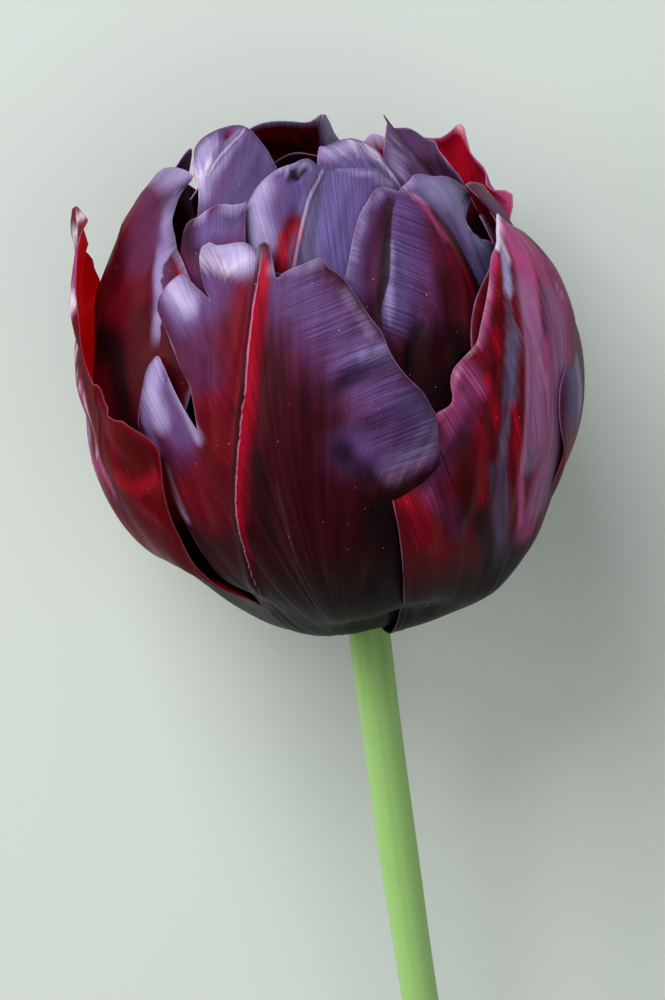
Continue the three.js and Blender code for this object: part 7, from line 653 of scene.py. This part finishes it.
class Tree:
    def __init__(self, name):
        self.mat = bpy.data.materials.new(name); self.mat.use_nodes = True
        self.t = self.mat.node_tree; self.t.nodes.clear()
        self.out = self.t.nodes.new('ShaderNodeOutputMaterial')
        self.bsdf = self.t.nodes.new('ShaderNodeBsdfPrincipled')
        self.t.links.new(self.bsdf.outputs[0], self.out.inputs[0])

    def node(self, kind, **kw):
        n = self.t.nodes.new(kind)
        for k, v in kw.items():
            setattr(n, k, v)
        return n

    def put(self, sock, v):
        if hasattr(v, 'links') or isinstance(v, bpy.types.NodeSocket):
            self.t.links.new(v, sock)
        else:
            sock.default_value = v

    def attr(self, name):
        n = self.node('ShaderNodeAttribute', attribute_name=name)
        return n.outputs['Fac']

    def math(self, op, a, b=None, c=None, clamp=False):
        n = self.node('ShaderNodeMath', operation=op, use_clamp=clamp)
        self.put(n.inputs[0], a)
        if b is not None: self.put(n.inputs[1], b)
        if c is not None: self.put(n.inputs[2], c)
        return n.outputs[0]

    def mix(self, fac, a, b, mode='MIX'):
        n = self.node('ShaderNodeMix', data_type='RGBA', blend_type=mode)
        self.put(n.inputs[0], fac); self.put(n.inputs[6], a); self.put(n.inputs[7], b)
        return n.outputs[2]

    def xyz(self, x, y, z):
        n = self.node('ShaderNodeCombineXYZ')
        self.put(n.inputs[0], x); self.put(n.inputs[1], y); self.put(n.inputs[2], z)
        return n.outputs[0]

    def noise(self, vec, scale, detail=2, rough=.5, dist=0):
        n = self.node('ShaderNodeTexNoise')
        self.put(n.inputs['Vector'], vec); n.inputs['Scale'].default_value = scale; n.inputs['Detail'].default_value = detail
        n.inputs['Roughness'].default_value = rough; n.inputs['Distortion'].default_value = dist
        return n.outputs['Fac'] if 'Fac' in n.outputs else n.outputs[0]

    def ramp(self, fac, lo, hi):
        n = self.node('ShaderNodeMapRange', interpolation_type='SMOOTHSTEP')
        self.put(n.inputs[0], fac); n.inputs[1].default_value = lo; n.inputs[2].default_value = hi
        return n.outputs[0]


# The near-black colour and its mask are partly the petal's own near-black and partly painted shade, laid in creases, in
# gaps between petals, under the flap and towards the base.
COL = {
    # The bright red is partly the petal's own red, beside the midrib, and partly painted glow, laid brighter on inner
    # faces as if lit by light shining through.
    'base': srgb(56, 9, 18), 'crimson': srgb(104, 10, 24), 'red': srgb(192, 14, 42), 'dark': srgb(12, 8, 9), 'plum': srgb(84, 34, 68),
    # The violet, blue, lilac and pink colours are partly the petal's own colour and bloom and partly painted sheen:
    # paler, bluer tones laid towards the tips, on ridges and lobes and along rims, where the satin surface faces the
    # light.
    'violet': srgb(92, 68, 118), 'blue': srgb(100, 94, 146), 'slate': srgb(98, 88, 120), 'pink': srgb(186, 80, 136),
    # The white is painted highlight, laid on lobe tips, folds and rims where the satin surface catches the light.
    'wine': srgb(108, 12, 30), 'lilac': srgb(170, 158, 200), 'white': srgb(232, 216, 232)}


def petal_material():
    T = Tree('petal')
    vein, along, edge, seed = T.attr('vein'), T.attr('along'), T.attr('edge'), T.attr('seed')
    fine1 = T.noise(T.xyz(T.math('MULTIPLY', vein, 3.5), T.math('MULTIPLY', along, .05), seed), 1, 2, .55)
    fine2 = T.noise(T.xyz(T.math('MULTIPLY', T.attr('vein2'), 3.3), T.math('MULTIPLY', vein, .1), T.math('ADD', seed, 2.2)), 1, 2, .5)
    fine = T.math('ADD', T.math('MULTIPLY', fine1, T.math('SUBTRACT', 1, T.attr('m_cross'))), T.math('MULTIPLY', fine2, T.attr('m_cross')))
    broad = T.noise(T.xyz(T.math('MULTIPLY', vein, .42), T.math('MULTIPLY', along, .035), T.math('ADD', seed, 5.1)), 1, 2, .55)
    cells = T.noise(T.xyz(T.math('MULTIPLY', vein, 4), T.math('MULTIPLY', along, 1.1), seed), 1, 2, .6)
    mott = T.noise(T.xyz(T.math('MULTIPLY', vein, .25), T.math('MULTIPLY', along, .2), T.math('ADD', seed, 9.3)), 1, 3, .55)
    col = T.mix(T.ramp(broad, .3, .7), tuple(c * .72 for c in COL['base'][:3]) + (1,), tuple(c * 1.25 for c in COL['base'][:3]) + (1,))
    streak = T.math('ADD', T.math('MULTIPLY', fine, .55), T.math('MULTIPLY', broad, .45))
    def layer(col, name, amp, soft=1.0):
        m = T.attr('m_' + name)
        # nothing where the mask is 0, all where it is 1, streaky between
        inside = T.math('MULTIPLY', T.math('MULTIPLY', m, T.math('SUBTRACT', 1, m)), 4)
        f = T.math('ADD', m, T.math('MULTIPLY', T.math('MULTIPLY', T.math('SUBTRACT', streak, .5), amp), inside), clamp=True)
        return T.mix(f, col, COL[name])
    for name, amp in (('crimson', 1.3), ('plum', 1.2), ('violet', 1.2), ('blue', .9), ('slate', 2.4), ('wine', 1.8), ('red', 2.2), ('dark', .8), ('pink', 1.6), ('lilac', .9), ('white', 1.2)):
        col = layer(col, name, amp)
    # a midrib: a pale line of painted highlight on it, the petal's red beside it, and on its other side a near-black
    # groove of painted shadow; and narrow folds, with painted shade beside them and a painted highlight along them
    rd, ra, rr = T.attr('rib_d'), T.attr('rib_a'), T.attr('rib_r')
    fd, fa = T.attr('fold_d'), T.attr('fold_a')
    def inv(x):
        return T.math('SUBTRACT', 1, x)
    f = T.math('MULTIPLY', T.math('MULTIPLY', T.ramp(rd, -.05, .12), inv(T.ramp(rd, .4, 1.25))), T.math('MULTIPLY', rr, T.math('ADD', .3, T.math('MULTIPLY', streak, .75))), clamp=True)
    col = T.mix(f, col, COL['red'])
    f = T.math('MULTIPLY', T.math('MULTIPLY', inv(T.ramp(T.math('ABSOLUTE', T.math('ADD', rd, .5)), .1, .55)), ra), .72, clamp=True)
    col = T.mix(f, col, COL['dark'])
    f = T.math('MULTIPLY', T.math('MULTIPLY', inv(T.ramp(T.math('ABSOLUTE', T.math('ADD', rd, .02)), .04, .19)), ra), T.math('ADD', .4, T.math('MULTIPLY', broad, .7)), clamp=True)
    col = T.mix(f, col, srgb(206, 118, 150))
    af = T.math('ABSOLUTE', fd)
    f = T.math('MULTIPLY', T.math('MULTIPLY', T.ramp(af, .12, .28), inv(T.ramp(af, .3, .85))), T.math('MULTIPLY', fa, .55), clamp=True)
    col = T.mix(f, col, COL['dark'])
    f = T.math('MULTIPLY', inv(T.ramp(af, .06, .42)), T.math('MULTIPLY', fa, .5), clamp=True)
    col = T.mix(f, col, srgb(196, 176, 206))
    # a pale band of painted highlight along a ridge, and a near-black groove of painted shade in a deep crease, both
    # soft on the left and sharp on the right
    bd, ba, gd, ga = T.attr('band_d'), T.attr('band_a'), T.attr('groove_d'), T.attr('groove_a')
    f = T.math('MULTIPLY', T.math('MULTIPLY', T.ramp(bd, -2.4, -.4), inv(T.ramp(bd, .1, .5))), T.math('MULTIPLY', ba, T.math('ADD', .55, T.math('MULTIPLY', broad, .5))), clamp=True)
    col = T.mix(f, col, srgb(150, 134, 176))
    f = T.math('MULTIPLY', T.math('MULTIPLY', T.ramp(gd, -2.6, -.5), inv(T.ramp(gd, .05, .4))), T.math('MULTIPLY', ga, .93), clamp=True)
    col = T.mix(f, col, srgb(30, 9, 13))
    # lengthwise striation, light and dark
    st = T.ramp(fine, .32, .68)
    shade = T.mix(st, (.74, .70, .74, 1), (1.24, 1.24, 1.28, 1))
    stri = T.math('ADD', T.math('MULTIPLY', T.attr('fine'), .34), T.math('MULTIPLY', T.attr('m_stri'), .9), clamp=True)
    col = T.mix(stri, col, T.mix(1.0, col, shade, 'MULTIPLY'))
    col = T.mix(.35, col, T.mix(1.0, col, T.mix(T.ramp(mott, .3, .7), (.72, .68, .7, 1), (1.25, 1.22, 1.2, 1)), 'MULTIPLY'))
    # pale hairline along the margin
    rim = T.math('MULTIPLY', T.math('SUBTRACT', 1, T.ramp(edge, 0, .26)), T.math('ADD', .05, T.math('MULTIPLY', broad, .7)), clamp=True)
    col = T.mix(rim, col, srgb(178, 138, 176))
    # pollen dust
    tc = T.node('ShaderNodeTexCoord')
    vor = T.node('ShaderNodeTexVoronoi', feature='F1')
    T.put(vor.inputs['Vector'], tc.outputs['Object']); vor.inputs['Scale'].default_value = 1150
    sep = T.node('ShaderNodeSeparateColor'); T.t.links.new(vor.outputs['Color'], sep.inputs[0])
    dot = T.math('MULTIPLY', T.math('LESS_THAN', vor.outputs['Distance'], T.math('MULTIPLY', T.math('MULTIPLY', sep.outputs[1], sep.outputs[1]), .11)), T.math('GREATER_THAN', sep.outputs[0], .76))
    dot = T.math('MULTIPLY', dot, T.math('SUBTRACT', 1, T.attr('inner')))
    col = T.mix(T.math('MULTIPLY', dot, .8), col, srgb(214, 176, 178))
    b = T.bsdf
    T.put(b.inputs['Base Color'], col)
    T.put(b.inputs['Roughness'], T.math('ADD', .36, T.math('MULTIPLY', cells, .14)))
    b.inputs['Specular IOR Level'].default_value = .09
    b.inputs['IOR'].default_value = 1.36
    b.inputs['Sheen Weight'].default_value = .01
    b.inputs['Sheen Roughness'].default_value = .35
    b.inputs['Sheen Tint'].default_value = (.62, .55, .95, 1)
    bump = T.node('ShaderNodeBump'); bump.inputs['Strength'].default_value = .5; bump.inputs['Distance'].default_value = .00022
    h = T.math('ADD', T.math('MULTIPLY', fine, T.math('ADD', .12, stri)), T.math('MULTIPLY', cells, .06))
    h = T.math('ADD', h, T.math('MULTIPLY', inv(T.ramp(T.math('ABSOLUTE', rd), 0, .45)), T.math('MULTIPLY', ra, 1.2)))
    h = T.math('ADD', h, T.math('MULTIPLY', inv(T.ramp(af, 0, .45)), T.math('MULTIPLY', fa, 1.0)))
    T.put(bump.inputs['Height'], h)
    T.t.links.new(bump.outputs[0], b.inputs['Normal'])
    # light comes through where the petal is thin and red
    thin = T.node('ShaderNodeBsdfTranslucent'); thin.inputs[0].default_value = srgb(214, 18, 44)
    both = T.node('ShaderNodeMixShader')
    clear = T.math('MAXIMUM', T.math('MULTIPLY', T.attr('m_red'), .3), T.math('MULTIPLY', T.attr('m_thin'), .75))
    pale = T.math('MULTIPLY', inv(T.math('MULTIPLY', T.attr('m_white'), .9)), inv(T.math('MULTIPLY', T.attr('m_pink'), .6)))
    T.put(both.inputs[0], T.math('MULTIPLY', clear, pale))
    T.t.links.new(b.outputs[0], both.inputs[1]); T.t.links.new(thin.outputs[0], both.inputs[2])
    T.t.links.new(both.outputs[0], T.out.inputs[0])
    return T.mat


def stem_material():
    T = Tree('stem')
    a, d = T.attr('around'), T.attr('down')
    ribs = T.noise(T.xyz(T.math('MULTIPLY', a, 1.6), T.math('MULTIPLY', d, .03), 0.0), 1, 2, .5)
    mott = T.noise(T.xyz(T.math('MULTIPLY', a, .35), T.math('MULTIPLY', d, .06), 3.0), 1, 3, .5)
    # Darker green over the first 16 mm below the head: painted shade cast by the head.
    col = T.mix(T.ramp(d, 0, 16), srgb(126, 168, 84), srgb(158, 202, 114))
    col = T.mix(T.ramp(d, 20, 150), col, srgb(150, 196, 114))
    col = T.mix(T.math('MULTIPLY', T.ramp(ribs, .35, .7), .18), col, srgb(166, 206, 128))
    col = T.mix(T.math('MULTIPLY', T.ramp(mott, .5, .8), .2), col, srgb(130, 174, 86))
    col = T.mix(T.attr('cut'), col, T.mix(T.ramp(T.noise(T.xyz(T.math('MULTIPLY', a, 3), T.attr('ring'), 1.0), 3, 2), .4, .6), srgb(196, 216, 150), srgb(150, 184, 100)))
    b = T.bsdf
    T.put(b.inputs['Base Color'], col)
    T.put(b.inputs['Roughness'], T.math('ADD', .36, T.math('MULTIPLY', mott, .2)))
    b.inputs['Specular IOR Level'].default_value = .45
    b.inputs['Subsurface Weight'].default_value = .12
    b.inputs['Subsurface Radius'].default_value = (.4, .8, .2)
    b.inputs['Subsurface Scale'].default_value = .002
    bump = T.node('ShaderNodeBump'); bump.inputs['Strength'].default_value = .4; bump.inputs['Distance'].default_value = .00015
    T.put(bump.inputs['Height'], T.math('ADD', ribs, T.math('MULTIPLY', mott, .4)))
    T.t.links.new(bump.outputs[0], b.inputs['Normal'])
    return T.mat


def simple_material(name, a, b2, scale, rough):
    T = Tree(name)
    tc = T.node('ShaderNodeTexCoord')
    n = T.noise(tc.outputs['Object'], scale, 3, .6)
    T.put(T.bsdf.inputs['Base Color'], T.mix(T.ramp(n, .35, .65), a, b2))
    T.put(T.bsdf.inputs['Roughness'], T.math('ADD', rough, T.math('MULTIPLY', n, .2)))
    bump = T.node('ShaderNodeBump'); bump.inputs['Strength'].default_value = .5; bump.inputs['Distance'].default_value = .0002
    T.put(bump.inputs['Height'], n); T.t.links.new(bump.outputs[0], T.bsdf.inputs['Normal'])
    return T.mat


# ------------------------------------------------------------------ tubes: stem, pistil, stamens
def tube_object(name, rings, sides, shape=None, attrs=None):
    """rings: (centre in bloom mm, radius); closed with a point at each end"""
    pts = np.array([r[0] for r in rings], float); rad = np.array([r[1] for r in rings], float)
    side = np.array([0., 1, 0]); V = []
    for k in range(len(pts)):
        al = pts[min(k + 1, len(pts) - 1)] - pts[max(k - 1, 0)]; al /= np.linalg.norm(al)
        side = side - al * (side @ al); side /= np.linalg.norm(side)
        up = np.cross(al, side)
        for i in range(sides):
            a = i / sides * 2 * math.pi
            r = rad[k] * (shape(a, k) if shape else 1)
            V.append(pts[k] + side * r * math.cos(a) + up * r * math.sin(a))
    n = len(pts)
    V += [pts[0], pts[-1]]
    F = []
    for k in range(n - 1):
        for i in range(sides):
            a, b = k * sides + i, k * sides + (i + 1) % sides
            F.append((a, b, b + sides, a + sides))
    f0 = n * sides
    for i in range(sides):
        F.append((f0, (i + 1) % sides, i)); F.append((f0 + 1, (n - 1) * sides + i, (n - 1) * sides + (i + 1) % sides))
    V = np.array(V)
    me = bpy.data.meshes.new(name)
    me.from_pydata([tuple(x) for x in lying(V)], [], F)
    me.validate(); me.polygons.foreach_set('use_smooth', np.ones(len(me.polygons), bool))
    import bmesh
    bm = bmesh.new(); bm.from_mesh(me); bmesh.ops.recalc_face_normals(bm, faces=bm.faces); bm.to_mesh(me); bm.free()
    for k, v in (attrs or {}).items():
        at = me.attributes.new(k, 'FLOAT', 'POINT'); at.data.foreach_set('value', np.array(v, np.float32))
    ob = bpy.data.objects.new(name, me); bpy.context.scene.collection.objects.link(ob)
    return ob


def stem_line():
    line, p = [], np.zeros(3)
    for d in range(0, int(STEM_LEN) + 1, 2):
        line.append((d, p.copy()))
        side = float(pchip(np.array([0, 60, 140, 220.]), np.array(STEM_SIDE), np.array(float(d)))) * RAD
        sag = STEM_SAG * (d / STEM_LEN) * RAD
        p = p + 2 * np.array([-math.sin(sag), math.sin(side), -math.cos(sag) * math.cos(side)])
    return line


def build_stem():
    line = stem_line(); rings, down, ringa, cut = [], [], [], []
    top = line[-1][1]
    # the cut end: a shallow dished face
    e = line[-1][1]; ax = line[-2][1] - e; ax /= np.linalg.norm(ax)
    for r, lift in ((.25, .35), (1.2, .32), (2.1, .18), (2.6, .04), (2.78, 0.0)):
        rings.append((e + ax * lift, r)); down.append(220); cut.append(1 if r < 2.7 else .6)
    for d, p in reversed(line[3:]):
        R = STEM_TOP + (STEM_END - STEM_TOP) * d / STEM_LEN - .12 * math.sin(math.pi * min(1, d / 150))
        if d == STEM_LEN:
            p = p + ax * .25
        R += .05 * math.sin(d / 17.0) + .04 * math.sin(d / 6.1 + 1)
        rings.append((p, R)); down.append(d); cut.append(.25 if d > 218 else 0)
    prof = [[-3, 3.2], [-1.5, 3.4], [0, 3.5], [1.4, 3.35], [2.8, 3.0], [4.3, 2.45], [5.6, 1.75], [6.4, 1.25], [6.8, .8]]
    zs = np.linspace(-3, 6.8, 26)
    for z in zs:
        rings.append((np.array([0, z * math.sin(2.7 * RAD) * (z < 0), z]), float(np.interp(z, [q[0] for q in prof], [q[1] for q in prof])))); down.append(max(0, -z)); cut.append(0)
    sides = 48
    ob = tube_object('stem_skin', rings, sides, lambda a, k: 1 + .006 * math.cos(7 * a + .4) + .005 * math.cos(11 * a + 1.3),
        {'down': np.concatenate([np.repeat(down, sides), [220, 0]]), 'cut': np.concatenate([np.repeat(cut, sides), [1, 0]]),
         'around': np.concatenate([np.tile(np.abs((np.arange(sides) / sides * 2 * math.pi * 3.1) - math.pi * 3.1), len(rings)), [0, 0]]),
         'ring': np.concatenate([np.repeat(np.arange(len(rings)) * .5, sides), [0, 0]])})
    ob.data.materials.append(stem_material())
    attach(ob, 'root'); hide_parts('stem')


def build_heart():
    m = simple_material('pistil', srgb(150, 160, 84), srgb(118, 132, 70), 900, .4)
    z0 = 6.85
    prof = [[0, 1.2], [1.2, 2.1], [4, 2.8], [9, 3.1], [14, 2.8], [17, 2.3], [18.2, 2.6], [19.6, 3.5], [20.6, 3.3], [21, 1.2]]
    zs = np.linspace(0, 21, 64); rr = pchip(np.array([q[0] for q in prof], float), np.array([q[1] for q in prof]), zs)
    ob = tube_object('pistil_body', [((0, 0, z0 + z), r * .98) for z, r in zip(zs, rr)], 36,
        lambda a, k: 1 + (.22 if zs[k] > 17 else .06) * math.cos(3 * a) + (.03 * math.cos(9 * a) if zs[k] > 17 else .01 * math.cos(6 * a)))
    ob.data.materials.append(m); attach(ob, 'root'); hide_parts('pistil')
    m = simple_material('anther', srgb(38, 26, 42), srgb(22, 14, 26), 1800, .6)
    prof = np.array([[2.0, 6.5, .35], [3.0, 8.5, .5], [4.4, 11.5, .5], [5.5, 14.2, .45], [5.8, 14.9, 1.0], [6.1, 16.8, 1.3], [6.3, 19.5, 1.35], [6.3, 22.5, 1.2], [6.1, 25.2, .6]])
    q = np.linspace(0, 8, 50)
    P = np.stack([pchip(np.arange(9.), prof[:, c], q) for c in range(3)], 1)
    for i in range(6):
        a = (i * 60 + 30) * RAD
        ob = tube_object('stamen_body_%d' % (i + 1), [((r * math.cos(a), r * math.sin(a), z), w * .97) for r, z, w in P], 20,
            lambda b, k: 1 + (.12 * math.cos(2 * b) + .05 * math.cos(4 * b) if q[k] > 4 else 0))
        ob.data.materials.append(m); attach(ob, 'root'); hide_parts('stamen_%d' % (i + 1))


# ------------------------------------------------------------------ build
mat = petal_material()
for i, p in enumerate(PETALS):
    build_petal(p, i, mat)
build_stem()
build_heart()

# ------------------------------------------------------------------ floor, light, camera
bpy.ops.mesh.primitive_plane_add(size=6, location=(0, 0, 0))
floor = bpy.context.object; floor.name = 'floor'
T = Tree('floor_pale')
tc = T.node('ShaderNodeTexCoord')
n = T.noise(tc.outputs['Object'], 3, 3, .5)
T.put(T.bsdf.inputs['Base Color'], T.mix(n, srgb(214, 222, 212), srgb(222, 229, 219)))
T.bsdf.inputs['Roughness'].default_value = .8
floor.data.materials.append(T.mat)

head = Vector(lying(np.array([0., 0, HEAD_R])))


def area(name, loc, target, size, power, colour=(1, 1, 1), size_y=None):
    d = bpy.data.lights.new(name, 'AREA'); d.shape = 'RECTANGLE'; d.size = size; d.size_y = size_y or size; d.energy = power; d.color = colour
    o = bpy.data.objects.new(name, d); bpy.context.scene.collection.objects.link(o)
    o.location = loc
    o.rotation_euler = (Vector(target) - Vector(loc)).to_track_quat('-Z', 'Y').to_euler()
    return o


area('key', (head.x - .48, head.y + 1.2, 1.02), head, 1.0, 24.0, (.93, .95, 1))
area('fill', (head.x + .4, head.y - .2, 1.9), head, 1.6, 8.5, (1, 1, 1))
area('side', (head.x - .55, head.y + .2, .22), head, .4, 1.7, (1, .98, 1))
w = bpy.data.worlds.new('studio'); bpy.context.scene.world = w; w.use_nodes = True
w.node_tree.nodes['Background'].inputs[0].default_value = (.86, .9, .95, 1); w.node_tree.nodes['Background'].inputs[1].default_value = .2
bpy.context.scene.view_settings.view_transform = 'Standard'
bpy.context.scene.view_settings.look = 'None'

cam_d = bpy.data.cameras.new('camera'); cam = bpy.data.objects.new('camera', cam_d); bpy.context.scene.collection.objects.link(cam)
E, RHO = math.radians(18), math.radians(10)
x, y, z = np.eye(3)
f = -(math.cos(E) * x + math.sin(E) * z); r0 = y; u0 = math.cos(E) * z - math.sin(E) * x
r = math.cos(RHO) * r0 - math.sin(RHO) * u0; u = math.sin(RHO) * r0 + math.cos(RHO) * u0
SC = HEAD_R / 257.0; DIST = 520.0
pos = np.array([0, 0, HEAD_R]) - DIST * f - (325 - 332.5) * SC * r - (500 - 375) * SC * u
pos, f, r, u = lying(pos), lying_dir(f), lying_dir(r), lying_dir(u)
M = Matrix(((r[0], u[0], -f[0], pos[0]), (r[1], u[1], -f[1], pos[1]), (r[2], u[2], -f[2], pos[2]), (0, 0, 0, 1)))
cam.matrix_world = M
cam_d.sensor_fit = 'VERTICAL'; cam_d.sensor_height = 24; cam_d.lens = 24 * (DIST / SC) / 1000
cam_d.clip_start = .01; cam_d.clip_end = 20
bpy.context.scene.camera = cam
